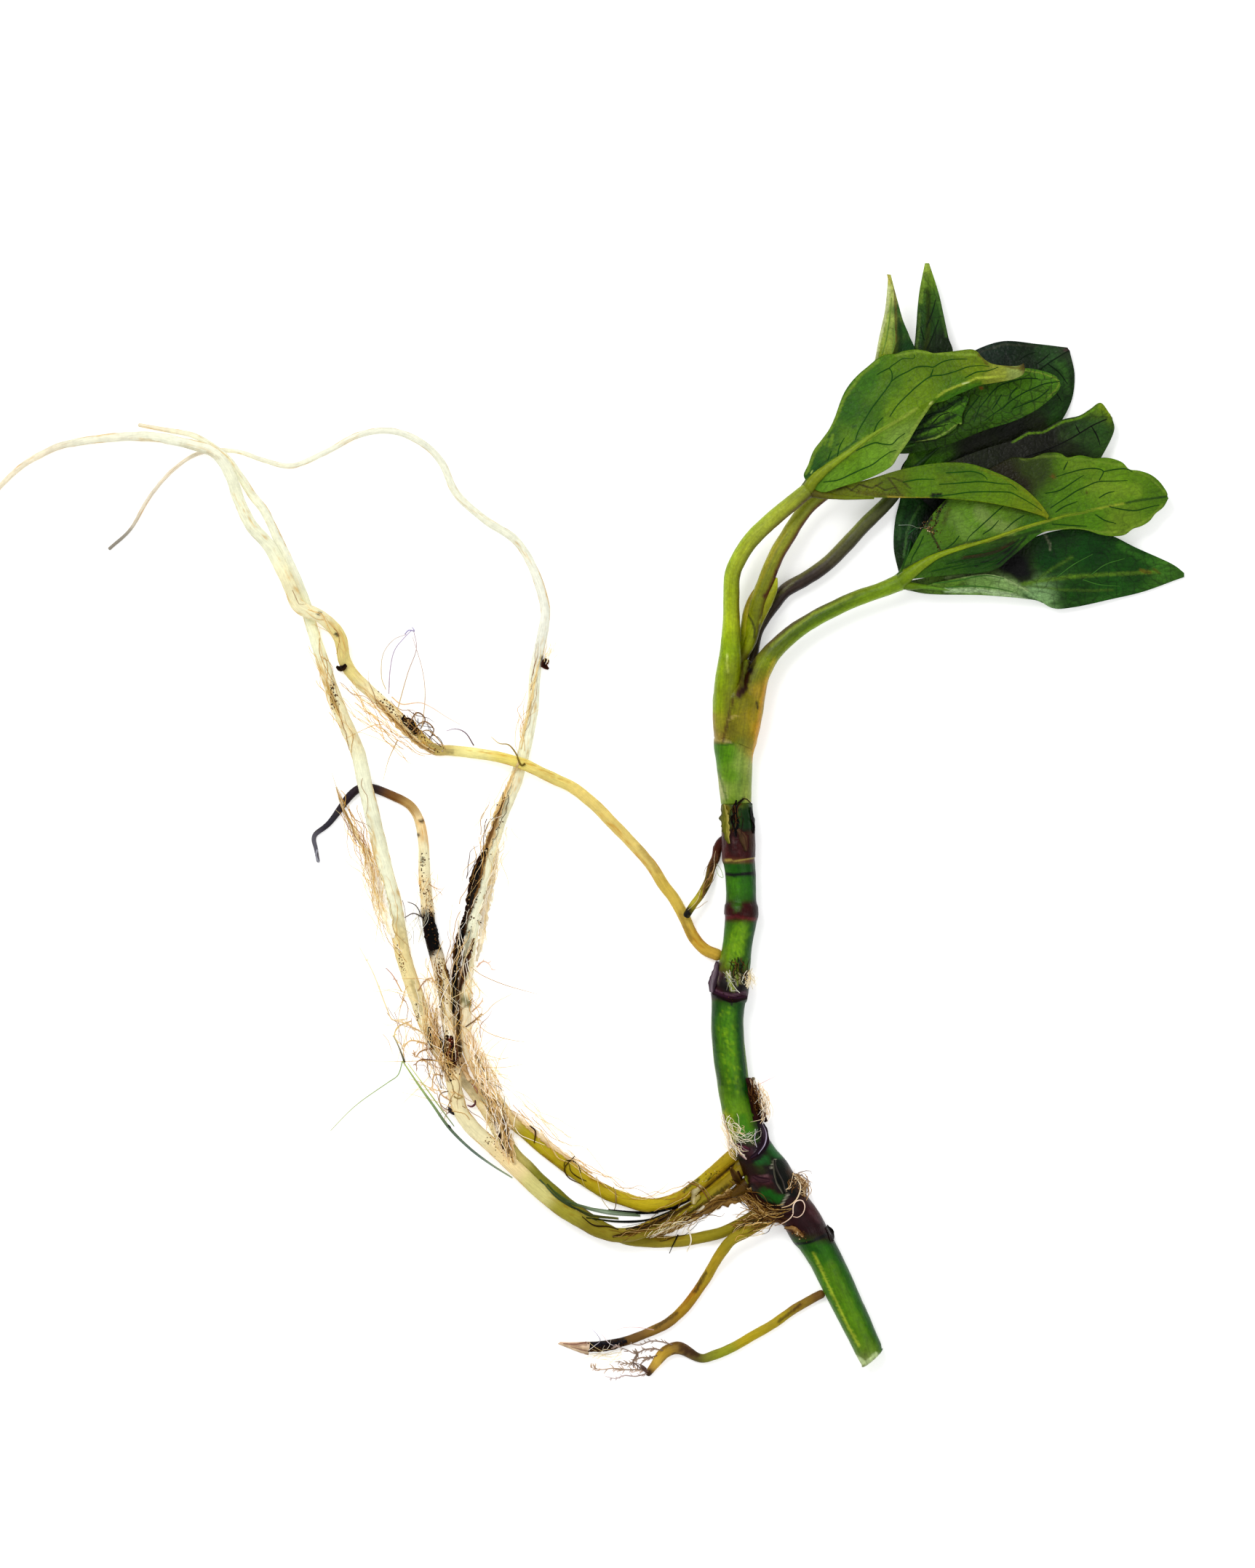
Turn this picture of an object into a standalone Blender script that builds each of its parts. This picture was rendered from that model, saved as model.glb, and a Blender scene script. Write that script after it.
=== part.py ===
"""Bogbean cutting, lying on a flat surface, seen from above along -Z.

A green jointed rhizome ends in a crown of four leaves, each a stalk with three leaflets, and seven roots
leave its left side. Metres, +Z up, +X to the right. The origin is the middle of the box's underside.
Routes are read by eye from the photo as (x, y) pixels, and PHOTO_SCALE turns them into metres.
"""

import math

import bmesh
import bpy
from mathutils import Vector

# Driving sizes
MM = 0.001
PHOTO_SCALE = 0.2 * MM  # real size of one photo pixel, from a rhizome 9 mm thick
ORIGIN_PIXEL = (789.6, 1125.9)  # the middle of the plant's bounding box
RHIZOME_SIDES = 12
STALK_SIDES = 8
ROOT_SIDES = 6
RHIZOME_FLATNESS = 0.96  # height over width of the rhizome
LEAF_THICKNESS = 0.6 * MM
LEAF_STEPS_ALONG = 10
LEAF_STEPS_ACROSS = 3  # on each side of the midrib
LEAF_END_WIDTH = 0.5 * MM  # half width of the blunt base and tip
STALK_STEP = 4.5 * MM
ROOT_STEP = 4.2 * MM
LOWEST_BLADE = 0.35 * MM  # middle of a blade that lies on the surface

# The rhizome from its slanted cut to the foot of the crown: x, y in pixels and width in mm
RHIZOME_STATIONS = [
    (1199, 1867, 7.4),
    (1186, 1839, 7.9),
    (1162, 1788, 8.5),
    (1138, 1738, 9.0),
    (1121, 1708, 9.5),
    (1111, 1693, 10.4),
    (1101, 1676, 10.3),
    (1091, 1658, 9.6),
    (1075, 1630, 9.4),
    (1061, 1606, 9.6),
    (1044, 1588, 9.8),
    (1029, 1566, 9.8),
    (1018, 1540, 9.2),
    (1011, 1510, 8.7),
    (1008, 1490, 8.7),
    (1003, 1455, 8.9),
    (1000, 1410, 8.9),
    (1001, 1380, 9.1),
    (1002, 1371, 9.9),
    (1004, 1354, 10.3),
    (1007, 1338, 9.6),
    (1010, 1325, 8.6),
    (1014, 1296, 8.3),
    (1018, 1266, 8.8),
    (1019, 1258, 9.5),
    (1019, 1246, 9.3),
    (1019, 1238, 8.5),
    (1018, 1205, 8.3),
    (1016, 1186, 8.7),
    (1015, 1178, 9.3),
    (1015, 1150, 9.1),
    (1014, 1130, 8.9),
    (1013, 1107, 8.6),
]
CUT_ACROSS = (26, -23)  # the cut slants along this line of the photo

# The folded sheath around the top of the rhizome: x, y, width and height in mm
SHEATH_STATIONS = [
    (1012, 1104, 8.4, 8.0),
    (1011, 1085, 8.9, 8.4),
    (1010, 1054, 9.8, 9.0),
    (1009, 1024, 11.3, 9.6),
    (1011, 1016, 11.9, 9.8),
    (1012, 990, 12.7, 10.2),
    (1014, 960, 13.7, 10.6),
]

# Leaf stalks from the crown to the leaflets: x, y, height of the middle in mm and width in mm
STALKS = {
    "petiole_a": [
        (999, 955, 7.2, 6.6),
        (1001, 930, 7.4, 6.6),
        (1003, 905, 7.6, 6.2),
        (1005, 860, 8.2, 4.8),
        (1005, 820, 8.8, 4.5),
        (1008, 785, 9.4, 4.4),
        (1027, 750, 10.4, 4.5),
        (1052, 723, 11.4, 4.5),
        (1079, 700, 12.6, 4.5),
        (1108, 676, 14.0, 4.2),
    ],
    "petiole_b": [
        (1011, 955, 1.9, 3.2),
        (1015, 930, 2.2, 3.4),
        (1019, 905, 3.7, 3.4),
        (1030, 880, 4.9, 4.2),
        (1037, 848, 6.2, 4.4),
        (1045, 819, 6.6, 4.5),
        (1065, 768, 6.8, 4.4),
        (1081, 740, 7.0, 4.3),
        (1098, 713, 7.2, 4.2),
        (1119, 689, 7.4, 4.0),
        (1165, 655, 8.2, 4.0),
        (1209, 624, 9.2, 4.0),
    ],
    "petiole_c": [
        (1034, 955, 1.8, 3.0),
        (1034, 930, 1.8, 2.9),
        (1036, 900, 1.7, 2.7),
        (1041, 872, 1.7, 2.7),
        (1050, 853, 1.8, 3.0),
        (1063, 832, 2.2, 3.7),
        (1079, 812, 2.6, 3.9),
        (1107, 796, 2.8, 4.0),
        (1137, 775, 3.0, 4.0),
        (1162, 750, 3.4, 4.0),
        (1190, 720, 3.9, 3.9),
        (1221, 689, 4.5, 3.8),
        (1236, 667, 5.0, 3.8),
    ],
    "petiole_d": [
        (1034, 955, 6.8, 6.3),
        (1041, 930, 6.8, 6.2),
        (1055, 905, 6.6, 5.6),
        (1070, 888, 6.6, 5.0),
        (1093, 868, 6.6, 4.7),
        (1121, 850, 6.7, 4.5),
        (1148, 836, 6.8, 4.4),
        (1180, 822, 7.0, 4.3),
        (1212, 811, 7.2, 4.2),
        (1236, 801, 7.4, 4.6),
    ],
}

# Leaflets: the midrib and the two margins from base to tip, as x, y in pixels and height in mm.
# A fold is the curve that a half bends around, where the half is turned over.
LEAFLETS = {
    "leaflet_a1": {
        "midrib": [
            (1116, 669, 14.4),
            (1175, 630, 15.2),
            (1230, 586, 15.8),
            (1281, 552, 15.6),
            (1340, 522, 14.6),
            (1407, 505, 13.4),
        ],
        "left": [
            (1114, 663, 14.2),
            (1125, 620, 13.4),
            (1150, 573, 12.8),
            (1178, 523, 12.2),
            (1206, 499, 12.0),
            (1232, 491, 12.0),
            (1268, 488, 12.2),
            (1306, 491, 12.6),
            (1342, 490, 12.8),
            (1361, 505, 13.0),
            (1407, 505, 13.4),
        ],
        "right": [
            (1119, 671, 14.2),
            (1145, 672, 13.8),
            (1187, 658, 13.6),
            (1221, 637, 13.8),
            (1247, 606, 14.2),
            (1270, 565, 14.6),
            (1306, 545, 14.4),
            (1341, 533, 13.8),
            (1376, 524, 13.2),
            (1407, 505, 13.4),
        ],
    },
    "leaflet_a2": {
        "midrib": [
            (1122, 680, 12.8),
            (1180, 684, 12.8),
            (1230, 685, 13.4),
            (1297, 686, 13.4),
            (1357, 692, 13.4),
            (1402, 701, 13.0),
            (1440, 712, 12.2),
        ],
        "left": [
            (1124, 677, 12.7),
            (1187, 664, 12.4),
            (1238, 649, 12.7),
            (1290, 640, 12.6),
            (1331, 641, 12.6),
            (1370, 654, 12.6),
            (1399, 669, 12.5),
            (1424, 691, 12.3),
            (1440, 712, 12.2),
        ],
        "right": [
            (1124, 683, 12.2),
            (1187, 676, 11.0),
            (1238, 666, 11.0),
            (1290, 660, 11.0),
            (1331, 661, 11.0),
            (1370, 671, 11.0),
            (1399, 684, 11.2),
            (1424, 700, 11.6),
            (1440, 712, 12.0),
        ],
    },
    "leaflet_a3": {
        "midrib": [
            (1112, 659, 12.4),
            (1140, 600, 11.4),
            (1170, 545, 10.4),
            (1199, 497, 9.8),
            (1208, 465, 9.4),
            (1216, 425, 9.0),
            (1221, 378, 8.4),
        ],
        "left": [
            (1116, 655, 12.4),
            (1150, 610, 11.5),
            (1186, 555, 10.8),
            (1215, 515, 10.5),
            (1227, 490, 10.6),
            (1233, 466, 10.5),
            (1231, 434, 10.0),
            (1230, 400, 9.2),
            (1221, 378, 8.4),
        ],
        "right": [
            (1117, 657, 11.6),
            (1160, 612, 10.4),
            (1195, 560, 9.2),
            (1232, 515, 8.2),
            (1252, 488, 7.6),
            (1245, 462, 7.2),
            (1237, 437, 7.2),
            (1228, 408, 7.4),
            (1221, 378, 8.0),
        ],
    },
    "leaflet_b1": {
        "midrib": [
            (1216, 614, 8.2),
            (1238, 565, 7.6),
            (1258, 510, 7.0),
            (1268, 455, 6.4),
            (1272, 400, 6.0),
            (1272, 360, 5.6),
        ],
        "left": [
            (1215, 610, 8.2),
            (1230, 560, 7.4),
            (1250, 510, 6.4),
            (1259, 478, 5.8),
            (1263, 440, 5.2),
            (1267, 398, 5.0),
            (1272, 360, 5.4),
        ],
        "right": [
            (1219, 612, 8.0),
            (1262, 575, 7.0),
            (1293, 525, 6.0),
            (1303, 480, 5.2),
            (1294, 444, 4.6),
            (1286, 403, 4.4),
            (1272, 360, 5.2),
        ],
    },
    "leaflet_b2": {
        "midrib": [
            (1218, 619, 9.2),
            (1260, 611, 9.4),
            (1305, 600, 9.4),
            (1350, 580, 9.2),
            (1392, 552, 8.8),
            (1425, 534, 8.4),
            (1456, 527, 8.0),
        ],
        "left": [
            (1220, 616, 9.2),
            (1245, 585, 9.0),
            (1285, 553, 8.8),
            (1325, 530, 8.6),
            (1370, 513, 8.2),
            (1409, 509, 8.0),
            (1440, 516, 7.8),
            (1456, 527, 8.0),
        ],
        "right": [
            (1220, 622, 9.0),
            (1260, 620, 8.6),
            (1310, 606, 8.2),
            (1350, 588, 8.0),
            (1392, 576, 7.8),
            (1422, 561, 7.6),
            (1448, 539, 7.6),
            (1456, 527, 7.8),
        ],
    },
    "leaflet_b3": {
        "midrib": [
            (1218, 625, 10.2),
            (1250, 604, 10.6),
            (1282, 583, 10.8),
            (1308, 566, 10.8),
            (1329, 547, 10.6),
        ],
        "left": [
            (1219, 621, 10.4),
            (1238, 592, 10.7),
            (1266, 566, 10.8),
            (1298, 549, 10.8),
            (1329, 547, 10.6),
        ],
        "right": [
            (1221, 627, 10.2),
            (1250, 608, 10.2),
            (1285, 602, 10.2),
            (1308, 588, 10.2),
            (1320, 577, 10.2),
            (1322, 562, 10.4),
            (1329, 547, 10.6),
        ],
    },
    "leaflet_c1": {
        "midrib": [
            (1240, 656, 5.5),
            (1300, 606, 5.0),
            (1365, 553, 4.2),
            (1420, 512, 3.4),
            (1469, 480, 2.4),
        ],
        "left": [
            (1240, 651, 5.5),
            (1258, 610, 4.8),
            (1285, 552, 3.4),
            (1310, 508, 2.2),
            (1337, 486, 1.4),
            (1380, 471, 1.0),
            (1428, 475, 1.0),
            (1469, 480, 2.2),
        ],
        "right": [
            (1243, 656, 5.3),
            (1290, 648, 4.4),
            (1345, 634, 3.2),
            (1400, 616, 2.2),
            (1445, 591, 1.4),
            (1470, 553, 0.8),
            (1476, 514, 0.8),
            (1469, 480, 2.2),
        ],
    },
    "leaflet_c2": {
        "midrib": [
            (1242, 661, 6.6),
            (1300, 652, 6.8),
            (1370, 642, 6.8),
            (1440, 618, 6.2),
            (1490, 592, 5.2),
            (1527, 572, 4.0),
        ],
        "left": [
            (1243, 658, 6.4),
            (1275, 646, 6.3),
            (1308, 637, 6.2),
            (1350, 621, 6.0),
            (1389, 610, 5.8),
            (1418, 595, 5.6),
            (1450, 588, 5.4),
            (1485, 574, 5.0),
            (1515, 556, 4.4),
            (1527, 572, 4.0),
        ],
        "right": [
            (1244, 664, 6.2),
            (1290, 676, 5.8),
            (1340, 694, 5.4),
            (1400, 698, 5.0),
            (1450, 682, 4.6),
            (1492, 656, 4.2),
            (1515, 622, 3.8),
            (1530, 590, 3.6),
            (1527, 572, 3.8),
        ],
    },
    "leaflet_c3": {
        "midrib": [
            (1249, 667, 4.6),
            (1295, 683, 3.8),
            (1350, 700, 3.2),
            (1430, 716, 2.0),
        ],
        "left": [
            (1250, 664, 4.6),
            (1295, 670, 3.6),
            (1350, 674, 2.8),
            (1405, 692, 1.8),
            (1430, 716, 1.8),
        ],
        "right": [
            (1251, 670, 4.4),
            (1287, 700, 3.6),
            (1335, 728, 2.8),
            (1395, 732, 1.8),
            (1430, 716, 1.8),
        ],
    },
    "leaflet_d1": {
        "midrib": [
            (1243, 793, 8.8),
            (1273, 772, 9.8),
            (1300, 763, 10.3),
            (1354, 745, 10.6),
            (1418, 721, 10.5),
            (1466, 711, 10.0),
            (1541, 697, 8.4),
            (1604, 681, 6.2),
        ],
        "left": [
            (1241, 789, 8.8),
            (1250, 765, 9.2),
            (1276, 718, 9.5),
            (1302, 688, 9.5),
            (1334, 659, 9.4),
            (1365, 645, 9.2),
            (1405, 634, 9.1),
            (1450, 628, 9.0),
            (1501, 636, 8.6),
            (1536, 639, 8.0),
            (1568, 649, 7.2),
            (1594, 663, 6.4),
            (1604, 681, 6.2),
        ],
        "right": [
            (1246, 795, 8.8),
            (1282, 791, 9.0),
            (1343, 786, 9.2),
            (1381, 774, 9.2),
            (1413, 737, 9.4),
            (1456, 724, 9.3),
            (1504, 730, 8.8),
            (1541, 734, 8.0),
            (1579, 718, 7.0),
            (1600, 692, 6.3),
            (1604, 681, 6.1),
        ],
    },
    "leaflet_d2": {
        "midrib": [
            (1244, 805, 7.0),
            (1280, 803, 6.0),
            (1330, 801, 5.2),
            (1407, 803, 4.6),
            (1488, 796, 3.6),
            (1560, 790, 2.2),
            (1628, 790, 1.0),
        ],
        "left": [
            (1247, 802, 7.0),
            (1282, 794, 5.8),
            (1325, 778, 5.2),
            (1380, 762, 5.0),
            (1425, 740, 5.0),
            (1470, 730, 4.8),
            (1520, 736, 4.2),
            (1563, 756, 3.0),
            (1610, 777, 1.6),
            (1628, 790, 1.0),
        ],
        "right": [
            (1246, 807, 7.2),
            (1270, 803, 7.4),
            (1300, 796, 7.6),
            (1354, 787, 7.7),
            (1391, 797, 7.2),
            (1418, 814, 5.6),
            (1445, 833, 3.4),
            (1477, 832, 2.4),
            (1528, 821, 1.6),
            (1574, 810, 1.0),
            (1628, 790, 0.8),
        ],
        "right_fold": [
            (1246, 812, 6.6),
            (1275, 828, 5.0),
            (1325, 836, 4.6),
            (1370, 838, 4.6),
            (1405, 836, 4.6),
            (1440, 828, 4.0),
            (1485, 816, 3.2),
            (1560, 802, 1.9),
            (1628, 791, 1.0),
        ],
    },
    "leaflet_d3": {
        "midrib": [
            (1240, 791, 6.0),
            (1250, 755, 3.4),
            (1256, 715, 2.0),
            (1256, 670, 1.5),
            (1254, 625, 1.0),
        ],
        "left": [
            (1238, 790, 5.8),
            (1231, 755, 2.8),
            (1233, 716, 1.2),
            (1241, 680, 0.8),
            (1241, 645, 0.6),
            (1254, 625, 0.8),
        ],
        "right": [
            (1243, 790, 5.8),
            (1278, 758, 3.0),
            (1292, 716, 1.4),
            (1288, 675, 0.9),
            (1274, 640, 0.6),
            (1254, 625, 0.8),
        ],
    },
}

# The papery scale beside the fork
SCALE_BLADE = {
    "fork_sheath": {
        "midrib": [(1052, 1543, 5.2), (1049, 1523, 5.8), (1042, 1502, 6.2), (1034, 1481, 6.4)],
        "left": [(1051, 1541, 4.4), (1045, 1523, 4.6), (1038, 1504, 5.2), (1033, 1483, 6.0)],
        "right": [(1052, 1542, 6.4), (1045, 1523, 7.6), (1039, 1503, 7.8), (1034, 1482, 7.0)],
    },
}

# Roots: route in pixels, width in mm at evenly spaced places along it, and lifts where it passes over
# another piece. A lift is x, y, height in mm, and the flat and sloping lengths around it in pixels.
ROOTS = {
    "root_upper": {
        "route": [
            (986, 1313),
            (968, 1305),
            (952, 1286),
            (941, 1262),
            (926, 1235),
            (912, 1217),
            (893, 1186),
            (868, 1148),
            (840, 1114),
            (812, 1092),
            (780, 1078),
            (756, 1067),
            (715, 1049),
            (670, 1038),
            (621, 1032),
            (594, 1029),
            (565, 1002),
            (527, 967),
            (490, 933),
            (474, 910),
            (467, 876),
            (444, 850),
            (411, 834),
            (401, 812),
            (391, 789),
            (370, 751),
            (345, 722),
            (329, 689),
            (319, 660),
            (307, 636),
            (290, 620),
            (252, 609),
            (205, 600),
            (147, 602),
            (88, 611),
            (59, 623),
            (30, 640),
            (0, 668),
            (-22, 697),
            (-48, 716),
        ],
        "widths": [3.2, 3.1, 3.2, 3.0, 3.0, 3.6, 3.8, 3.0, 2.6, 1.8, 0.9],
        "lifts": [(716, 1049, 4.4, 12, 70), (360, 740, 4.5, 150, 75), (300, 622, 5.2, 40, 70)],
    },
    "root_loop": {
        "route": [
            (1010, 1585),
            (996, 1598),
            (979, 1613),
            (957, 1632),
            (933, 1648),
            (909, 1656),
            (885, 1657),
            (861, 1650),
            (838, 1642),
            (813, 1628),
            (777, 1602),
            (745, 1578),
            (723, 1558),
            (702, 1540),
            (683, 1514),
            (667, 1490),
            (654, 1467),
            (645, 1446),
            (640, 1424),
            (640, 1400),
            (640, 1357),
            (643, 1326),
            (651, 1262),
            (665, 1205),
            (686, 1131),
            (712, 1064),
            (731, 981),
            (736, 919),
            (748, 858),
            (748, 829),
            (733, 782),
            (708, 742),
            (666, 714),
            (627, 678),
            (607, 636),
            (579, 608),
            (537, 592),
            (492, 598),
            (450, 620),
            (402, 640),
            (364, 633),
            (323, 620),
            (276, 622),
            (238, 645),
            (205, 683),
            (179, 727),
            (150, 754),
        ],
        "widths": [3.2, 3.3, 3.2, 3.2, 3.6, 3.6, 2.9, 2.3, 1.9, 1.5, 1.1, 0.9],
        "lifts": [(1006, 1589, 1.2, 10, 60), (668, 1492, 2.8, 35, 60)],
    },
    "root_dark": {
        "route": [
            (1023, 1604),
            (1008, 1618),
            (990, 1634),
            (966, 1652),
            (937, 1670),
            (905, 1684),
            (874, 1695),
            (850, 1698),
            (823, 1692),
            (796, 1677),
            (772, 1662),
            (748, 1643),
            (722, 1619),
            (697, 1595),
            (674, 1573),
            (652, 1553),
            (635, 1531),
            (627, 1508),
            (623, 1483),
            (619, 1422),
            (612, 1368),
            (601, 1318),
            (591, 1280),
            (584, 1211),
            (580, 1146),
            (567, 1111),
            (539, 1094),
            (506, 1083),
            (484, 1091),
            (453, 1131),
            (432, 1149),
            (434, 1168),
            (437, 1184),
        ],
        "widths": [3.6, 3.8, 4.0, 4.1, 4.2, 4.2, 4.0, 3.4, 2.6, 2.2, 0.9],
        "lifts": [
            (1012, 1612, 0.6, 40, 60),
            (820, 1690, 4.4, 75, 80),
            (740, 1630, 4.4, 110, 60),
            (650, 1550, 4.6, 85, 90),
        ],
    },
    "root_long": {
        "route": [
            (1057, 1658),
            (1042, 1667),
            (1026, 1678),
            (1008, 1688),
            (989, 1696),
            (968, 1701),
            (941, 1706),
            (914, 1708),
            (887, 1707),
            (862, 1704),
            (835, 1692),
            (806, 1674),
            (780, 1656),
            (760, 1638),
            (741, 1621),
            (724, 1604),
            (708, 1588),
            (695, 1571),
            (681, 1547),
            (667, 1523),
            (650, 1499),
            (632, 1478),
            (614, 1459),
            (600, 1438),
            (590, 1419),
            (576, 1380),
            (555, 1318),
            (543, 1250),
            (526, 1182),
            (514, 1131),
            (502, 1080),
            (490, 1030),
            (468, 980),
            (448, 925),
            (431, 871),
            (413, 812),
            (386, 750),
            (364, 704),
            (346, 680),
            (328, 652),
            (308, 626),
            (270, 600),
            (230, 591),
            (191, 584),
        ],
        "widths": [3.0, 3.2, 3.4, 3.6, 4.0, 4.2, 4.2, 4.0, 3.4, 2.8, 2.0, 1.0],
        "lifts": [(502, 1083, 3.0, 25, 90), (300, 620, 1.8, 30, 60)],
    },
    "root_broken": {
        "route": [
            (1067, 1670),
            (1055, 1677),
            (1042, 1684),
            (1026, 1694),
            (1005, 1705),
            (989, 1726),
            (971, 1757),
            (954, 1782),
            (939, 1801),
            (920, 1818),
            (897, 1830),
            (865, 1843),
            (833, 1850),
            (807, 1852),
            (786, 1850),
            (770, 1847),
        ],
        "widths": [3.0, 3.1, 2.9, 2.8, 2.6, 2.5, 0.8],
        "lifts": [(1040, 1686, 4.0, 32, 75)],
    },
    "root_lowest": {
        "route": [
            (1129, 1780),
            (1117, 1786),
            (1091, 1801),
            (1063, 1821),
            (1035, 1837),
            (1007, 1853),
            (981, 1864),
            (962, 1868),
            (934, 1854),
            (914, 1860),
            (900, 1877),
            (891, 1889),
        ],
        "widths": [2.4, 2.5, 2.6, 2.6, 2.8, 2.0],
        "lifts": [],
    },
    "root_stub": {
        "route": [(986, 1166), (984, 1179), (978, 1193), (973, 1212), (962, 1232), (953, 1244), (944, 1258)],
        "widths": [2.4, 2.3, 2.2, 2.0],
        "lifts": [(944, 1256, 3.7, 12, 60)],
    },
}


def to_metres(x, y, height=0.0):
    """The place of a photo pixel, height millimetres above the surface."""
    return Vector(
        ((x - ORIGIN_PIXEL[0]) * PHOTO_SCALE, (ORIGIN_PIXEL[1] - y) * PHOTO_SCALE, height * MM)
    )


def curve_point(points, place):
    """The point of a Catmull-Rom curve through the points, at place in steps from the first one."""
    index = min(int(place), len(points) - 2)
    t = place - index
    b, c = points[index], points[index + 1]
    a = points[index - 1] if index > 0 else 2 * b - c
    d = points[index + 2] if index + 2 < len(points) else 2 * c - b
    return 0.5 * (
        2 * b + (c - a) * t + (2 * a - 5 * b + 4 * c - d) * t * t + (3 * b - a - 3 * c + d) * t**3
    )


def even_points(points, count, finer=8):
    """Count + 1 points at even distances along the smooth curve through the points."""
    steps = (len(points) - 1) * finer
    dense = [curve_point(points, i / finer) for i in range(steps + 1)]
    lengths = [0.0]
    for before, after in zip(dense, dense[1:]):
        lengths.append(lengths[-1] + (after - before).length)
    found = []
    index = 0
    for i in range(count + 1):
        wanted = lengths[-1] * i / count
        while index < steps - 1 and lengths[index + 1] < wanted:
            index += 1
        share = (wanted - lengths[index]) / max(lengths[index + 1] - lengths[index], 1e-9)
        found.append(dense[index].lerp(dense[index + 1], min(share, 1.0)))
    return found


def route_length(points):
    return sum((b - a).length for a, b in zip(points, points[1:]))


def value_along(values, share):
    """The value at a share from 0 to 1 of a list of evenly spaced values."""
    place = share * (len(values) - 1)
    index = min(int(place), len(values) - 2)
    return values[index] + (values[index + 1] - values[index]) * (place - index)


def material(name, colour, roughness):
    made = bpy.data.materials.new(name)
    made.use_nodes = True
    shader = made.node_tree.nodes["Principled BSDF"]
    shader.inputs["Base Color"].default_value = (*colour, 1.0)
    shader.inputs["Roughness"].default_value = roughness
    shader.inputs["Metallic"].default_value = 0.0
    return made


def add_object(name, mesh_data, colour, roughness):
    mesh = bpy.data.meshes.new(name)
    mesh_data.normal_update()
    mesh_data.to_mesh(mesh)
    mesh_data.free()
    mesh.shade_smooth()
    mesh.set_sharp_from_angle(angle=math.radians(50))
    mesh.materials.append(material(name, colour, roughness))
    made = bpy.data.objects.new(name, mesh)
    bpy.context.scene.collection.objects.link(made)
    return made


def tube(name, centres, sizes, sides, colour, roughness, start_across=None):
    """A closed tube of upright rings with a flat underside. sizes are (width, height) of each ring."""
    shape = bmesh.new()
    rings = []
    for i, centre in enumerate(centres):
        ahead = centres[min(i + 1, len(centres) - 1)] - centres[max(i - 1, 0)]
        across = Vector((ahead.y, -ahead.x, 0.0)).normalized()
        if i == 0 and start_across is not None:
            across = start_across * (1.0 / max(start_across.dot(across), 0.5))
        width, height = sizes[i]
        ring = []
        for k in range(sides):
            angle = -math.pi / 2 + math.pi / sides + 2 * math.pi * k / sides
            side = across * (math.cos(angle) * width / 2)
            up = Vector((0.0, 0.0, math.sin(angle) * height / 2))
            ring.append(shape.verts.new(centre + side + up))
        rings.append(ring)
    for lower, upper in zip(rings, rings[1:]):
        for k in range(sides):
            after = (k + 1) % sides
            shape.faces.new((lower[k], upper[k], upper[after], lower[after]))
    shape.faces.new(rings[0])
    shape.faces.new(rings[-1][::-1])
    return add_object(name, shape, colour, roughness)


def flat_radius(height, sides):
    """How far the flat underside of a ring lies below its centre."""
    return height / 2 * math.cos(math.pi / sides)


def make_rhizome():
    centres = []
    sizes = []
    for x, y, width in RHIZOME_STATIONS:
        height = width * RHIZOME_FLATNESS
        centres.append(to_metres(x, y) + Vector((0, 0, flat_radius(height * MM, RHIZOME_SIDES))))
        sizes.append((width * MM, height * MM))
    cut = Vector((CUT_ACROSS[0], -CUT_ACROSS[1], 0.0)).normalized()
    return tube("rhizome", centres, sizes, RHIZOME_SIDES, (0.05, 0.26, 0.02), 0.4, start_across=cut)


def make_sheath():
    centres = []
    sizes = []
    for x, y, width, height in SHEATH_STATIONS:
        centres.append(to_metres(x, y) + Vector((0, 0, flat_radius(height * MM, RHIZOME_SIDES))))
        sizes.append((width * MM, height * MM))
    return tube("crown_sheath", centres, sizes, RHIZOME_SIDES, (0.32, 0.45, 0.03), 0.4)


def make_stalk(name, stations, colour):
    # The width is a fourth measure of each point, so that it follows the same smooth curve
    points = [Vector((*to_metres(x, y, height), width * MM)) for x, y, height, width in stations]
    places = even_points(points, round(route_length(points) / STALK_STEP))
    centres = [place.xyz for place in places]
    sizes = [(place.w, place.w) for place in places]
    return tube(name, centres, sizes, STALK_SIDES, colour, 0.4)


def lift_at(place, lifts):
    """How high the underside is raised over a crossing, in metres."""
    highest = 0.0
    for x, y, height, flat, slope in lifts:
        away = (place - to_metres(x, y)).length / PHOTO_SCALE - flat
        share = min(max(away / slope, 0.0), 1.0)
        highest = max(highest, height * MM * (0.5 + 0.5 * math.cos(math.pi * share)))
    return highest


def make_root(name, root, colour):
    points = [to_metres(x, y) for x, y in root["route"]]
    count = round(route_length(points) / ROOT_STEP)
    centres = []
    sizes = []
    for i, place in enumerate(even_points(points, count)):
        width = value_along(root["widths"], i / count) * MM
        raised = flat_radius(width, ROOT_SIDES) + lift_at(place, root["lifts"])
        centres.append(place + Vector((0, 0, raised)))
        sizes.append((width, width))
    return tube(name, centres, sizes, ROOT_SIDES, colour, 0.6)


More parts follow.
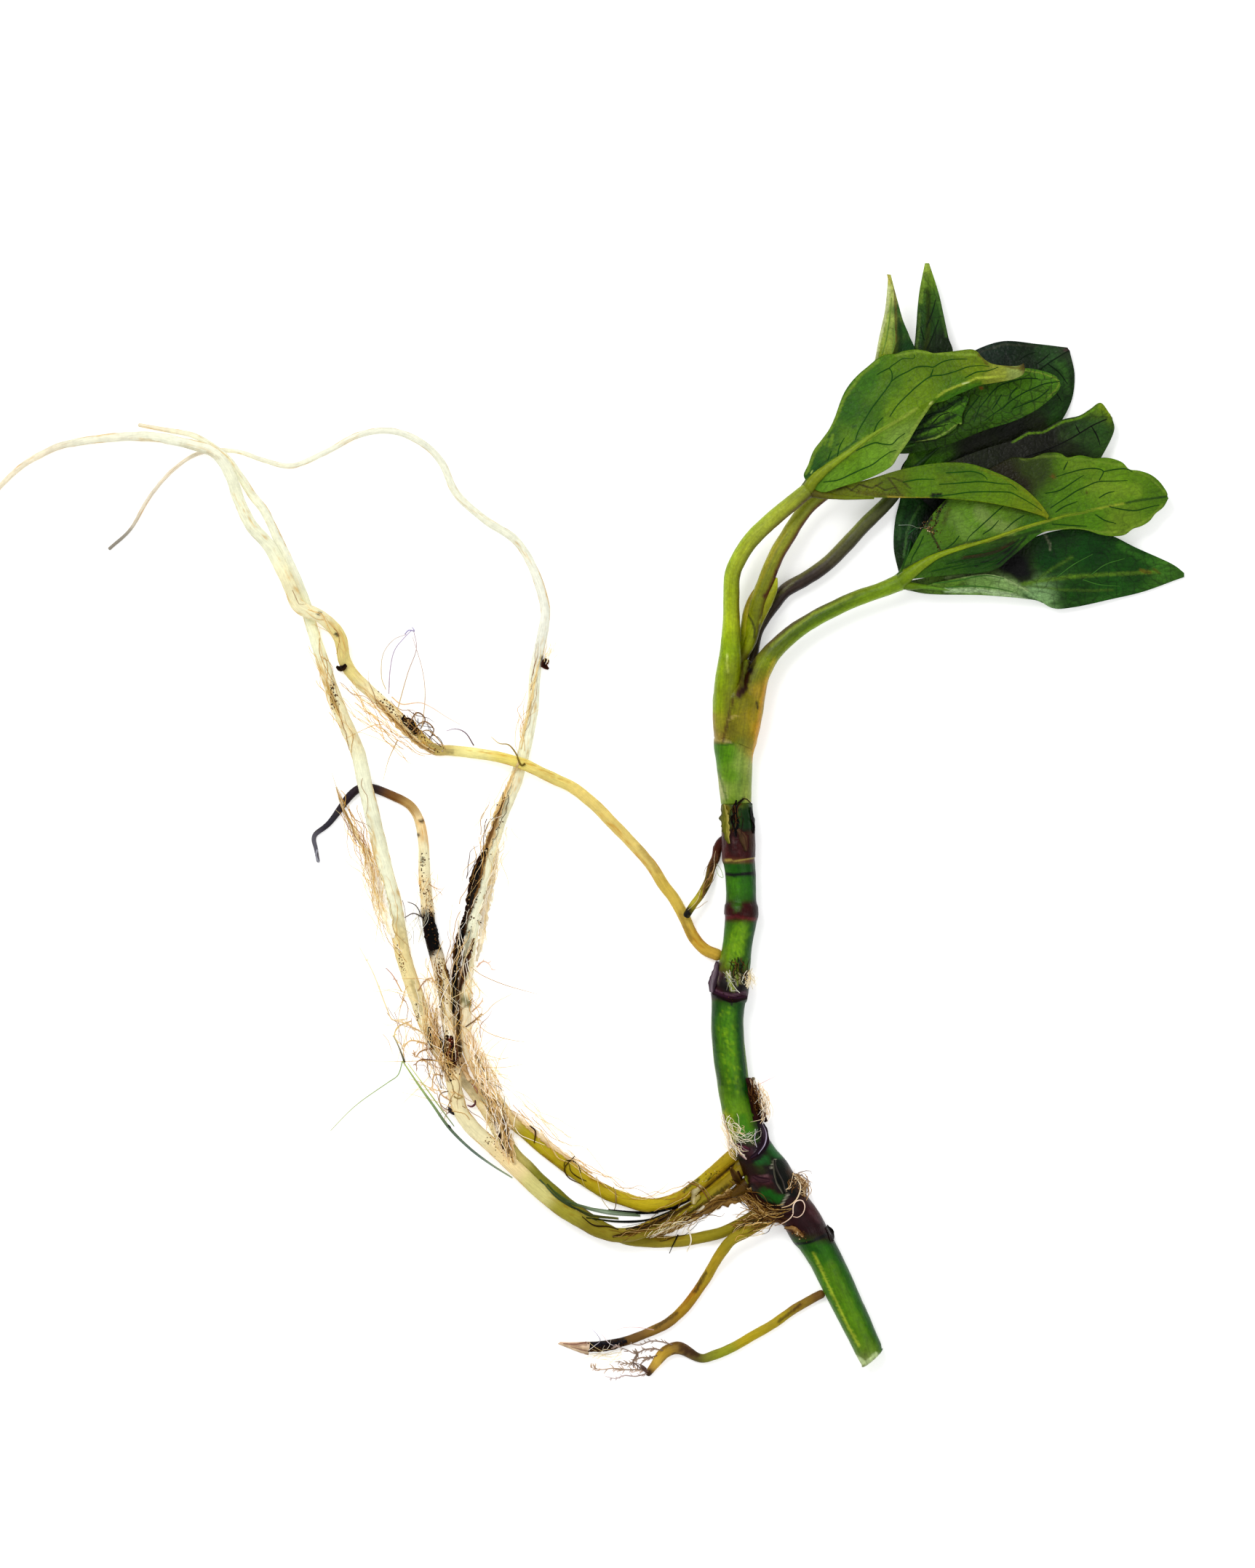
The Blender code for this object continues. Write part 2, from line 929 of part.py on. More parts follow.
def blade_rows(blade):
    """Rows of points across the blade, from base to tip, on its middle surface."""
    steps = LEAF_STEPS_ALONG
    midrib = even_points([to_metres(*point) for point in blade["midrib"]], steps)
    sides = {}
    for side in ("left", "right"):
        margin = even_points([to_metres(*point) for point in blade[side]], steps)
        if side + "_fold" in blade:
            fold = even_points([to_metres(*point) for point in blade[side + "_fold"]], steps)
        else:
            fold = [a.lerp(b, 0.5) for a, b in zip(midrib, margin)]
        sides[side] = (fold, margin)
    rows = []
    for i, rib in enumerate(midrib):
        ahead = midrib[min(i + 1, steps)] - midrib[max(i - 1, 0)]
        leftward = Vector((-ahead.y, ahead.x, 0.0)).normalized() * LEAF_END_WIDTH
        row = []
        for j in range(-LEAF_STEPS_ACROSS, LEAF_STEPS_ACROSS + 1):
            t = abs(j) / LEAF_STEPS_ACROSS
            fold, margin = sides["left" if j < 0 else "right"]
            spread = leftward * (-j / LEAF_STEPS_ACROSS)
            place = rib * (1 - t) ** 2 + fold[i] * (2 * t * (1 - t)) + margin[i] * t**2 + spread
            place.z = max(place.z, LOWEST_BLADE)
            row.append(place)
        rows.append(row)
    return rows


def make_blade(name, blade, colour, roughness=0.35):
    """A leaflet as a closed sheet of even thickness."""
    rows = blade_rows(blade)
    last_row = len(rows) - 1
    last_column = len(rows[0]) - 1
    shape = bmesh.new()
    top, bottom = [], []
    for i, row in enumerate(rows):
        top.append([])
        bottom.append([])
        for j, place in enumerate(row):
            along = rows[min(i + 1, last_row)][j] - rows[max(i - 1, 0)][j]
            across = row[min(j + 1, last_column)] - row[max(j - 1, 0)]
            half = across.cross(along).normalized() * (LEAF_THICKNESS / 2)
            top[i].append(shape.verts.new(place + half))
            bottom[i].append(shape.verts.new(place - half))
    for i in range(last_row):
        for j in range(last_column):
            corners = ((i, j), (i, j + 1), (i + 1, j + 1), (i + 1, j))
            shape.faces.new([top[a][b] for a, b in corners])
            shape.faces.new([bottom[a][b] for a, b in reversed(corners)])
    # The rim runs once around the blade, and every face of it joins the top to the bottom
    rim = [(i, 0) for i in range(last_row)]
    rim += [(last_row, j) for j in range(last_column)]
    rim += [(i, last_column) for i in range(last_row, 0, -1)]
    rim += [(0, j) for j in range(last_column, 0, -1)]
    for (a, b), (c, d) in zip(rim, rim[1:] + rim[:1]):
        shape.faces.new((top[a][b], top[c][d], bottom[c][d], bottom[a][b]))
    return add_object(name, shape, colour, roughness)


STALK_COLOURS = {
    "petiole_a": (0.38, 0.58, 0.03),
    "petiole_b": (0.26, 0.28, 0.05),
    "petiole_c": (0.08, 0.08, 0.03),
    "petiole_d": (0.20, 0.34, 0.02),
}
LEAF_COLOURS = {
    "leaflet_a": (0.12, 0.30, 0.015),
    "leaflet_b": (0.03, 0.14, 0.02),
    "leaflet_c": (0.012, 0.045, 0.02),
    "leaflet_d": (0.05, 0.20, 0.015),
}
ROOT_COLOURS = {
    "root_upper": (0.62, 0.50, 0.18),
    "root_loop": (0.72, 0.66, 0.42),
    "root_dark": (0.70, 0.62, 0.38),
    "root_long": (0.74, 0.68, 0.45),
    "root_broken": (0.35, 0.26, 0.06),
    "root_lowest": (0.38, 0.28, 0.07),
    "root_stub": (0.16, 0.08, 0.03),
}


def main():
    for old in list(bpy.data.objects):
        bpy.data.objects.remove(old)
    make_rhizome()
    make_sheath()
    for name, stations in STALKS.items():
        make_stalk(name, stations, STALK_COLOURS[name])
    for name, blade in LEAFLETS.items():
        make_blade(name, blade, LEAF_COLOURS[name[:-1]])
    for name, blade in SCALE_BLADE.items():
        make_blade(name, blade, (0.22, 0.13, 0.08), roughness=0.8)
    for name, root in ROOTS.items():
        make_root(name, root, ROOT_COLOURS[name])


main()
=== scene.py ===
# %% [markdown]
# # A bogbean cutting on a light table
# The plant was pulled out of a pond and laid flat: a jointed green rhizome, a crown of four leaves with three
# leaflets each, and long pale roots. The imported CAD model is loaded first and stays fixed. Every piece below
# is drawn over one of its nodes, in the same metres, so nothing has to be fitted afterwards.

# %% Load the fixed frame
import math

import bpy
import numpy as np
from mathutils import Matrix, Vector, noise
from mathutils.bvhtree import BVHTree


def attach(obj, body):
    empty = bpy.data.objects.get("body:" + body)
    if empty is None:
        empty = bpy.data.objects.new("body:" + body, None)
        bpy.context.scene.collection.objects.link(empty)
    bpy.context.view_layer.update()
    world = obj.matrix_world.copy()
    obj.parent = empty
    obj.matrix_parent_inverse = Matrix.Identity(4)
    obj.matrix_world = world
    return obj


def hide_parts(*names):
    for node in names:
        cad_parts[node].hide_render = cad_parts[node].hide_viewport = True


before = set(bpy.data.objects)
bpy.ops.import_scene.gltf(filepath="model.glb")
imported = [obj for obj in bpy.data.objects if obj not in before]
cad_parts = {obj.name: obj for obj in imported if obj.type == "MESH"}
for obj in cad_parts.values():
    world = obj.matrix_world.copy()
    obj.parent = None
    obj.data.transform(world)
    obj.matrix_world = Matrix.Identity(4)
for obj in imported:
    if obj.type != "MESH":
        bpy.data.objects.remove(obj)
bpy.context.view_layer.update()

# %% [markdown]
# ## Places
# All outlines and routes are read from the photo, so they are written as photo pixels. One function turns a
# pixel and a height in millimetres into metres, with the same scale and origin as the CAD model.
# The curves between the points are Catmull-Rom curves, because they pass through every point.

# %% Turn pixels into metres, and points into smooth curves
PIXEL = 0.0002  # metres to a photo pixel
ORIGIN_PIXEL = (789.6, 1125.9)
MM = 0.001
TO_MM = 1000
CURVE_STEPS = 8  # fine steps between two given points of a curve


def place(x, y, height=0.0):
    """The place of a photo pixel, height millimetres above the table."""
    return np.array([(x - ORIGIN_PIXEL[0]) * PIXEL, (ORIGIN_PIXEL[1] - y) * PIXEL, height * MM])


def pixels(places):
    """The photo pixels of places in metres."""
    return np.stack([places[:, 0] / PIXEL + ORIGIN_PIXEL[0], ORIGIN_PIXEL[1] - places[:, 1] / PIXEL], 1)


def length_of(points):
    """The length of the straight steps from point to point."""
    return np.linalg.norm(np.diff(np.asarray(points, float), axis=0), axis=1).sum()


def run_along(points):
    """How far each point lies along its line."""
    return np.concatenate([[0.0], np.cumsum(np.linalg.norm(np.diff(points, axis=0), axis=1))])


def stretched(values, count):
    """Count numbers, read at even steps along a row of values."""
    return np.interp(np.linspace(0, 1, count), np.linspace(0, 1, len(values)), values)


def smooth(points, count, by=3):
    """Count + 1 points at even distances along the smooth curve through the points.

    by says how many of a point's numbers make up the distance.
    """
    points = np.asarray(points, float)
    ends = np.vstack([2 * points[0] - points[1], points, 2 * points[-1] - points[-2]])
    steps = np.arange((len(points) - 1) * CURVE_STEPS + 1) / CURVE_STEPS
    index = np.minimum(steps.astype(int), len(points) - 2)
    t = (steps - index)[:, None]
    a, b, c, d = (ends[index + k] for k in range(4))
    dense = 0.5 * (2 * b + (c - a) * t + (2 * a - 5 * b + 4 * c - d) * t**2 + (3 * b - a - 3 * c + d) * t**3)
    run = run_along(dense[:, :by])
    wanted = np.linspace(0, run[-1], count + 1)
    return np.stack([np.interp(wanted, run, dense[:, k]) for k in range(dense.shape[1])], 1)


def rise(outline, heights):
    """Give the pixels of an outline heights in millimetres that are evenly spaced along it."""
    outline = np.asarray(outline, float)
    run = run_along(outline)
    share = run / run[-1] * (len(heights) - 1)
    return np.column_stack([outline, np.interp(share, np.arange(len(heights)), heights)])


print("left edge of the photo at", place(0, 1078), "right edge at", place(1725, 1078))

# %% [markdown]
# ## Camera, table and light
# The photo looks straight down on a light table. A long lens far away keeps the leaves, which stand up to
# 16 mm high, from spreading. The table is a very large pale plane with a faint cloudiness, and it glows a
# little, as a light table does, so the plant throws hardly any shadow on it.

# %% Camera
PHOTO_SIZE = (1725, 2156)
LENS = 250
SENSOR = 24
FARTHEST_SEEN = 30  # metres
TRUE_HEIGHT = 4  # mm over the table, where a photo pixel measures exactly PIXEL


def put_in_scene(name, data):
    """A new object of a mesh, a camera or a lamp, in the scene."""
    made = bpy.data.objects.new(name, data)
    bpy.context.scene.collection.objects.link(made)
    return made


camera_data = bpy.data.cameras.new("camera")
camera_data.sensor_fit = "VERTICAL"
camera_data.sensor_height = SENSOR
camera_data.lens = LENS
camera_data.clip_end = FARTHEST_SEEN
camera = put_in_scene("camera", camera_data)
camera_height = PHOTO_SIZE[1] * PIXEL * LENS / SENSOR + TRUE_HEIGHT * MM
camera.location = place(PHOTO_SIZE[0] / 2, PHOTO_SIZE[1] / 2) + np.array([0, 0, camera_height])
bpy.context.scene.camera = camera
bpy.context.scene.view_settings.view_transform = "Standard"
print("camera at", tuple(camera.location))


# %% Helpers for nodes
def node_adder(tree):
    """A function that adds a node to the tree, with its settings, and a value or a link for each input."""
    def add(kind, inputs=None, **settings):
        node = tree.nodes.new(kind)
        for key, value in settings.items():
            setattr(node, key, value)
        for key, value in (inputs or {}).items():
            if isinstance(value, bpy.types.NodeSocket):
                tree.links.new(value, node.inputs[key])
            else:
                node.inputs[key].default_value = value
        return node

    return add


def new_material(name):
    """A material with its shader, a function that adds nodes, and its links."""
    made = bpy.data.materials.new(name)
    made.use_nodes = True
    tree = made.node_tree
    return made, tree.nodes["Principled BSDF"], node_adder(tree), tree.links


def linear(hexed):
    """A colour written as six hex digits, in the linear values that shaders use."""
    parts = np.array([int(hexed[i:i + 2], 16) / 255 for i in (0, 2, 4)])
    return np.where(parts <= 0.04045, parts / 12.92, ((parts + 0.055) / 1.055) ** 2.4)


# %% The light table
TABLE_GLOW = 0.42
TABLE_REACH = 9.0  # metres from the middle to each side

table_paint, table_shader, add, links = new_material("light_table")
spot = add("ShaderNodeTexCoord")
cloud = add("ShaderNodeTexNoise", {"Vector": spot.outputs["Object"], "Scale": 1.3, "Detail": 3.0})
pale = add("ShaderNodeMapRange", {"Value": cloud.outputs["Fac"], "To Min": 0.90, "To Max": 0.94})
links.new(pale.outputs["Result"], table_shader.inputs["Base Color"])
links.new(pale.outputs["Result"], table_shader.inputs["Emission Color"])
table_shader.inputs["Emission Strength"].default_value = TABLE_GLOW
table_shader.inputs["Roughness"].default_value = 0.85
table_shader.inputs["Specular IOR Level"].default_value = 0.1

table_mesh = bpy.data.meshes.new("light_table")
corners = [(x * TABLE_REACH, y * TABLE_REACH, 0) for x, y in ((-1, -1), (1, -1), (1, 1), (-1, 1))]
table_mesh.from_pydata(corners, [], [(0, 1, 2, 3)])
table_mesh.materials.append(table_paint)
table = put_in_scene("light_table", table_mesh)
print("light table:", 2 * TABLE_REACH, "m wide")

# %% Soft lights
SKY_LEVEL = 0.55
world = bpy.data.worlds.new("studio")
world.use_nodes = True
sky = world.node_tree.nodes["Background"]
sky.inputs["Color"].default_value = (1.0, 1.0, 1.0, 1.0)
sky.inputs["Strength"].default_value = SKY_LEVEL
bpy.context.scene.world = world

SOFT_BOXES = {  # name: where it hangs in metres, its side, and the brightness that it gives white paper
    "key_box": ((-0.75, 0.95, 1.7), 0.9, 0.42),
    "fill_box": ((1.1, -0.5, 1.9), 1.4, 0.16),
}
for name, (spot_at, side, brightness) in SOFT_BOXES.items():
    box_data = bpy.data.lights.new(name, "AREA")
    box_data.size = side
    away = Vector(spot_at)
    # A small area lamp of P watts gives white paper below it P * cos / (pi * distance) ** 2
    box_data.energy = brightness * (math.pi * away.length) ** 2 / (away.z / away.length)
    box = put_in_scene(name, box_data)
    box.location = spot_at
    box.rotation_euler = away.to_track_quat("Z", "Y").to_euler()

LIGHT_LEVEL = SKY_LEVEL + sum(row[2] for row in SOFT_BOXES.values())
print("brightness of white paper:", LIGHT_LEVEL)

# %% [markdown]
# ## Painting by places and strokes
# Some strokes and swatches paint light and shade, not the plant's own colour: rims of light and glints along
# edges, sheen, and shade where parts lie under others.
# The plant's colours change all over it: bruises, rims, stains, translucent parts. No single texture could
# hold that, and no picture may be used. So each piece is painted as a painter would do it: a ground colour
# blended between a few named places, and then strokes over it, each one a line with a width and a strength.
# The result is kept on the mesh's points as a colour attribute named tint, which the materials read and
# break up further with fine procedural noise. A painted colour is the colour seen, so it is divided by the
# brightness of the light.


# %% Ground colours and strokes
def away_from(spots, line):
    """Distance in pixels from each spot to a drawn line, or to a single point."""
    line = np.asarray(line, float)
    if len(line) == 1:
        return np.hypot(*(spots - line[0]).T)
    nearest = np.full(len(spots), 1e9)
    for start, end in zip(line, line[1:]):
        reach = end - start
        share = np.clip(((spots - start) @ reach) / max(reach @ reach, 1e-9), 0, 1)
        nearest = np.minimum(nearest, np.hypot(*(spots - start - share[:, None] * reach).T))
    return nearest


def ground(spots, swatches, soft=7.0):
    """Colours blended between swatches, each a hex colour and its pixel, over about soft pixels."""
    total = np.zeros((len(spots), 3))
    weights = np.zeros(len(spots))
    for hexed, x, y in swatches:
        apart = (spots[:, 0] - x) ** 2 + (spots[:, 1] - y) ** 2
        weight = 1.0 / (apart + soft**2) ** 2
        total += weight[:, None] * linear(hexed)
        weights += weight
    return total / weights[:, None]


def stroke_over(colours, spots, strokes, wobble=0.0):
    """Lay strokes (hex colour, strength, half width in pixels, line) over the colours."""
    for hexed, strength, half_width, line in strokes:
        distance = away_from(spots, line)
        if wobble:
            # The edge of the stroke wavers, in waves about as long as the stroke is wide
            for k in np.nonzero(distance < half_width * 3)[0]:
                x, y = spots[k]
                distance[k] += wobble * half_width * noise.noise(Vector((x, y, 0.0)) * (0.9 / half_width))
        cover = np.clip(1.5 - distance / half_width, 0, 1)[:, None] * strength
        colours = colours * (1 - cover) + linear(hexed) * cover
    return colours


# %% Make a mesh object that carries its tint
HAZE = 0.008  # what the gloss adds to a colour
DARKEST_PAINT = 0.001


def lay_paint(mesh, colours):
    """Give the mesh the tint that looks like these colours in the light of the scene."""
    painted = np.ones((len(colours), 4))
    painted[:, :3] = np.clip((colours - HAZE) / LIGHT_LEVEL, DARKEST_PAINT, 1)
    mesh.attributes.new("tint", "FLOAT_COLOR", "POINT").data.foreach_set("color", painted.ravel())


def add_piece(name, points, faces, tint, finish, uv=None):
    """A smooth mesh object with a tint for each point, at the origin. uv gives a place for each point."""
    mesh = bpy.data.meshes.new(name)
    mesh.from_pydata([tuple(p) for p in points], [], faces)
    mesh.validate()
    mesh.shade_smooth()
    lay_paint(mesh, tint)
    if uv is not None:
        corners_of = np.empty(len(mesh.loops), int)
        mesh.loops.foreach_get("vertex_index", corners_of)
        layer = mesh.uv_layers.new(name="skin")
        layer.data.foreach_set("uv", np.asarray(uv, float)[corners_of].ravel())
    mesh.materials.append(finish)
    return put_in_scene(name, mesh)


def hand_over(piece, slot, *nodes):
    """Attach the finished piece to the root body, and hide the CAD parts that it replaces."""
    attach(piece, "root")
    if nodes:
        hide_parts(*nodes)
    print(piece.name, "points:", len(piece.data.vertices), "replaces:", nodes or "nothing")


def tree_of(*pieces):
    """One search tree of all faces of the pieces, for laying threads on them."""
    points, faces = [], []
    for piece in pieces:
        first = len(points)
        points += [vertex.co.copy() for vertex in piece.data.vertices]
        faces += [[first + k for k in face.vertices] for face in piece.data.polygons]
    return BVHTree.FromPolygons(points, faces)


# %% [markdown]
# ## Skins
# A bogbean leaf is thin, waxy and a little see-through. Seen from above on a light table it shows a fine net
# of veins, cloudy patches of yellower and bluer green, and a satin shine. The skin takes the painted tint,
# multiplies it with two sizes of cloudiness, darkens a net of small cells whose walls are the finest veins,
# and raises the cells a little so that the light catches them. Faint streaks run along leaves, stems,
# stalks and roots, so they follow the piece's own UV map. Old bark and fibres are so thin that the table
# shines through them, and a faint glow stands for that.


# %% Skins that read the tint
NET_WANDER = 0.9  # how far the walls of a net wander, in cells
CELL_DOME = 0.35  # how high the cells of a net are domed
SHEEN_PATCHES = 160.0  # duller and glossier patches to a metre
SHEEN_SWING = 0.1  # how much duller and glossier


def skin(name, roughness, shine, clouds, nets=(), grain=None, streaks=None, relief=0.0002, strength=0.5,
         glow=0.0):
    """A material for painted pieces.

    clouds: (cells to a metre, darkest, lightest) of each noise that multiplies the tint.
    nets: (cells to a metre, wall width, darkest) of each net of cells.
    grain: (cells to a metre) of the relief.
    streaks: (across, along, darkest, lightest) in the piece's UV map.
    """
    made, shader, add, links = new_material(name)
    spot = add("ShaderNodeTexCoord").outputs["Object"]
    colour = add("ShaderNodeAttribute", attribute_name="tint").outputs["Color"]

    def times(colour, level):
        """The colour, darkened or lightened by a level."""
        mixed = add("ShaderNodeMix", data_type="RGBA", blend_type="MULTIPLY")
        mixed.inputs["Factor"].default_value = 1.0
        links.new(colour, mixed.inputs[6])
        links.new(level, mixed.inputs[7])
        return mixed.outputs[2]

    def stacked(height, more):
        """The relief so far with one more on top."""
        if height is None:
            return more
        return add("ShaderNodeMath", {0: height, 1: more}, operation="ADD").outputs[0]

    for cells, darkest, lightest in clouds:
        cloudy = add("ShaderNodeTexNoise", {"Vector": spot, "Scale": cells, "Detail": 4.0, "Roughness": 0.6})
        level = add("ShaderNodeMapRange", {"Value": cloudy.outputs["Fac"], "From Min": 0.3, "From Max": 0.7,
                                           "To Min": darkest, "To Max": lightest})
        colour = times(colour, level.outputs["Result"])
    height = None
    if grain:
        rough_noise = add("ShaderNodeTexNoise", {"Vector": spot, "Scale": grain, "Detail": 3.0})
        height = rough_noise.outputs["Fac"]
    for cells, wall, darkest in nets:
        bend = add("ShaderNodeTexNoise", {"Vector": spot, "Scale": cells * 0.6, "Detail": 2.0})
        shift = add("ShaderNodeVectorMath", {0: bend.outputs["Color"], "Scale": NET_WANDER / cells},
                    operation="SCALE")
        moved = add("ShaderNodeVectorMath", {0: spot, 1: shift.outputs["Vector"]}, operation="ADD")
        walls = add("ShaderNodeTexVoronoi", {"Vector": moved.outputs["Vector"], "Scale": cells},
                    feature="DISTANCE_TO_EDGE")
        level = add("ShaderNodeMapRange", {"Value": walls.outputs["Distance"], "From Max": wall,
                                           "To Min": darkest, "To Max": 1.0}, interpolation_type="SMOOTHSTEP")
        colour = times(colour, level.outputs["Result"])
        raised = add("ShaderNodeMath", {0: walls.outputs["Distance"], 1: CELL_DOME}, operation="MINIMUM")
        height = stacked(height, raised.outputs["Value"])
    if streaks:
        across, along, darkest, lightest = streaks
        flow = add("ShaderNodeUVMap", uv_map="skin").outputs["UV"]
        drawn = add("ShaderNodeMapping", {"Vector": flow, "Scale": (across, along, 1.0)})
        lines = add("ShaderNodeTexNoise", {"Vector": drawn.outputs["Vector"], "Scale": 1.0, "Detail": 4.0,
                                           "Roughness": 0.65, "Distortion": 0.4})
        level = add("ShaderNodeMapRange", {"Value": lines.outputs["Fac"], "From Min": 0.32, "From Max": 0.68,
                                           "To Min": darkest, "To Max": lightest})
        colour = times(colour, level.outputs["Result"])
        height = stacked(height, lines.outputs["Fac"])
    links.new(colour, shader.inputs["Base Color"])
    if height:
        bumps = add("ShaderNodeBump", {"Height": height, "Strength": strength, "Distance": relief})
        links.new(bumps.outputs["Normal"], shader.inputs["Normal"])
    sheen_noise = add("ShaderNodeTexNoise", {"Vector": spot, "Scale": SHEEN_PATCHES, "Detail": 2.0})
    satin = add("ShaderNodeMapRange", {"Value": sheen_noise.outputs["Fac"], "From Min": 0.3, "From Max": 0.7,
                                       "To Min": roughness - SHEEN_SWING, "To Max": roughness + SHEEN_SWING})
    links.new(satin.outputs["Result"], shader.inputs["Roughness"])
    shader.inputs["Specular IOR Level"].default_value = shine
    if glow:
        links.new(colour, shader.inputs["Emission Color"])
        shader.inputs["Emission Strength"].default_value = glow
    return made


# %% The ten skins
leaf_skin = skin("leaf_skin", 0.40, 0.12, [(110, 0.88, 1.12), (900, 0.86, 1.14)],
                 nets=[(760, 0.09, 0.84), (230, 0.045, 0.82)], streaks=(1.7, 0.5, 0.8, 1.2), relief=0.0003,
                 strength=0.7)
dark_leaf_skin = skin("dark_leaf_skin", 0.36, 0.10, [(110, 0.72, 1.28), (900, 0.84, 1.16)],
                      nets=[(700, 0.10, 0.78), (250, 0.06, 0.66)], streaks=(1.4, 0.4, 0.7, 1.3),
                      relief=0.0003, strength=0.7)
netted_leaf_skin = skin("netted_leaf_skin", 0.36, 0.12, [(110, 0.86, 1.16), (900, 0.86, 1.14)],
                        nets=[(330, 0.10, 0.45), (800, 0.10, 0.8)], streaks=(1.7, 0.5, 0.8, 1.2),
                        relief=0.0004, strength=0.9)
vein_skin = skin("vein_skin", 0.45, 0.10, [(500, 0.8, 1.2)], grain=1500, relief=0.0001, strength=0.3)
stem_skin = skin("stem_skin", 0.36, 0.14, [(160, 0.82, 1.18), (1100, 0.86, 1.14)],
                 streaks=(1.3, 0.30, 0.78, 1.2), grain=700, relief=0.00025, strength=0.5)
stalk_skin = skin("stalk_skin", 0.34, 0.16, [(150, 0.82, 1.18), (1300, 0.8, 1.18)],
                  streaks=(2.2, 0.16, 0.8, 1.18), grain=900, relief=0.0002, strength=0.5)
root_skin = skin("root_skin", 0.55, 0.12, [(90, 0.94, 1.1), (700, 0.92, 1.08)],
                 streaks=(3.2, 0.25, 0.86, 1.12), grain=1100, relief=0.0002, strength=0.5)
scale_skin = skin("scale_skin", 0.75, 0.08, [(200, 0.75, 1.2), (900, 0.8, 1.15)], grain=800,
                  relief=0.0003, strength=0.7)
bark_skin = skin("bark_skin", 0.75, 0.06, [(200, 0.82, 1.18), (900, 0.8, 1.15)], grain=800, relief=0.0003,
                 strength=0.7, glow=0.18)
fibre_skin = skin("fibre_skin", 0.6, 0.05, [(500, 0.85, 1.15)], grain=1500, relief=0.0001, strength=0.3,
                  glow=0.3)
print("skins:", len([m for m in bpy.data.materials if m.name.endswith("_skin")]))

# %% [markdown]
# ## The shape of a leaflet
# Each leaflet is a thin limp sheet that curves from its midrib to its two margins, and some halves are folded
# over. A sheet is described by three curves, the midrib and both margins, each with its height over the
# table, and the rows between them are quadratic curves, so a half can also bend around a fold. A mesh grid
# gives full control of such a sheet, and a gentle noise makes the surface pucker as a real leaf does. The
# grid is doubled into a top and an underside with a rim between them, which closes it.

# %% Rows across a leaflet
LEAF_THICKNESS = 0.4 * MM
LEAF_END_WIDTH = 0.5 * MM
LOWEST_BLADE = 0.35 * MM


def to_places(points):
    """The places of points (x, y, height), in pixels and millimetres."""
    points = np.asarray(points, float)
    return np.stack([place(*point) for point in points])


def blade_grid(blade, along, across):
    """Points on the blade's middle surface: rows from base to tip, each from left to right margin."""
    midrib = smooth(to_places(blade["midrib"]), along)
    ahead = np.gradient(midrib, axis=0)
    leftward = np.stack([-ahead[:, 1], ahead[:, 0], np.zeros(len(ahead))], 1)
    leftward *= LEAF_END_WIDTH / np.linalg.norm(leftward, axis=1)[:, None]
    rows = np.zeros((along + 1, 2 * across + 1, 3))
    for side, sign in (("left", -1), ("right", 1)):
        margin = smooth(to_places(blade[side]), along)
        if side + "_fold" in blade:
            fold = smooth(to_places(blade[side + "_fold"]), along)
        else:
            fold = (midrib + margin) / 2
        for j in range(across + 1):
            t = j / across
            row = midrib * (1 - t) ** 2 + fold * (2 * t * (1 - t)) + margin * t**2 - leftward * (sign * t)
            rows[:, across + sign * j] = row
    return rows


def rough(where, share, finer):
    """Noise at a place, with a share of a finer noise on top."""
    return noise.noise(where) + share * noise.noise(where * finer)


def pucker(rows, height, cells, seed):
    """Push the sheet up and down with two sizes of gentle noise, less near the base and the tip."""
    flat = rows.reshape(-1, 3)
    shares = np.repeat(np.sin(np.linspace(0.12, 0.96, rows.shape[0]) * math.pi), rows.shape[1])
    for k, point in enumerate(flat):
        where = Vector(point) * cells + Vector((seed, seed * 0.7, 0))
        flat[k, 2] += rough(where, 0.45, 2.7) * height * shares[k]
    flat[:, 2] = np.maximum(flat[:, 2], LOWEST_BLADE)
    return flat.reshape(rows.shape)


# %% A closed leaflet
def sheet_faces(number, mirrored=False):
    """Faces of a grid of point numbers, of the underside that follows them, and of the rim between."""
    a, b, c, d = number[:-1, :-1], number[:-1, 1:], number[1:, 1:], number[1:, :-1]
    quads = np.stack((a, d, c, b) if mirrored else (a, b, c, d), -1).reshape(-1, 4)
    faces = quads.tolist() + (quads[:, ::-1] + number.size).tolist()
    rim = np.concatenate([number[:-1, 0], number[-1, :-1], number[:0:-1, -1], number[0, :0:-1]]).tolist()
    for start, end in zip(rim, rim[1:] + rim[:1]):
        if mirrored:
            start, end = end, start
        faces.append([start, end, end + number.size, start + number.size])
    return faces


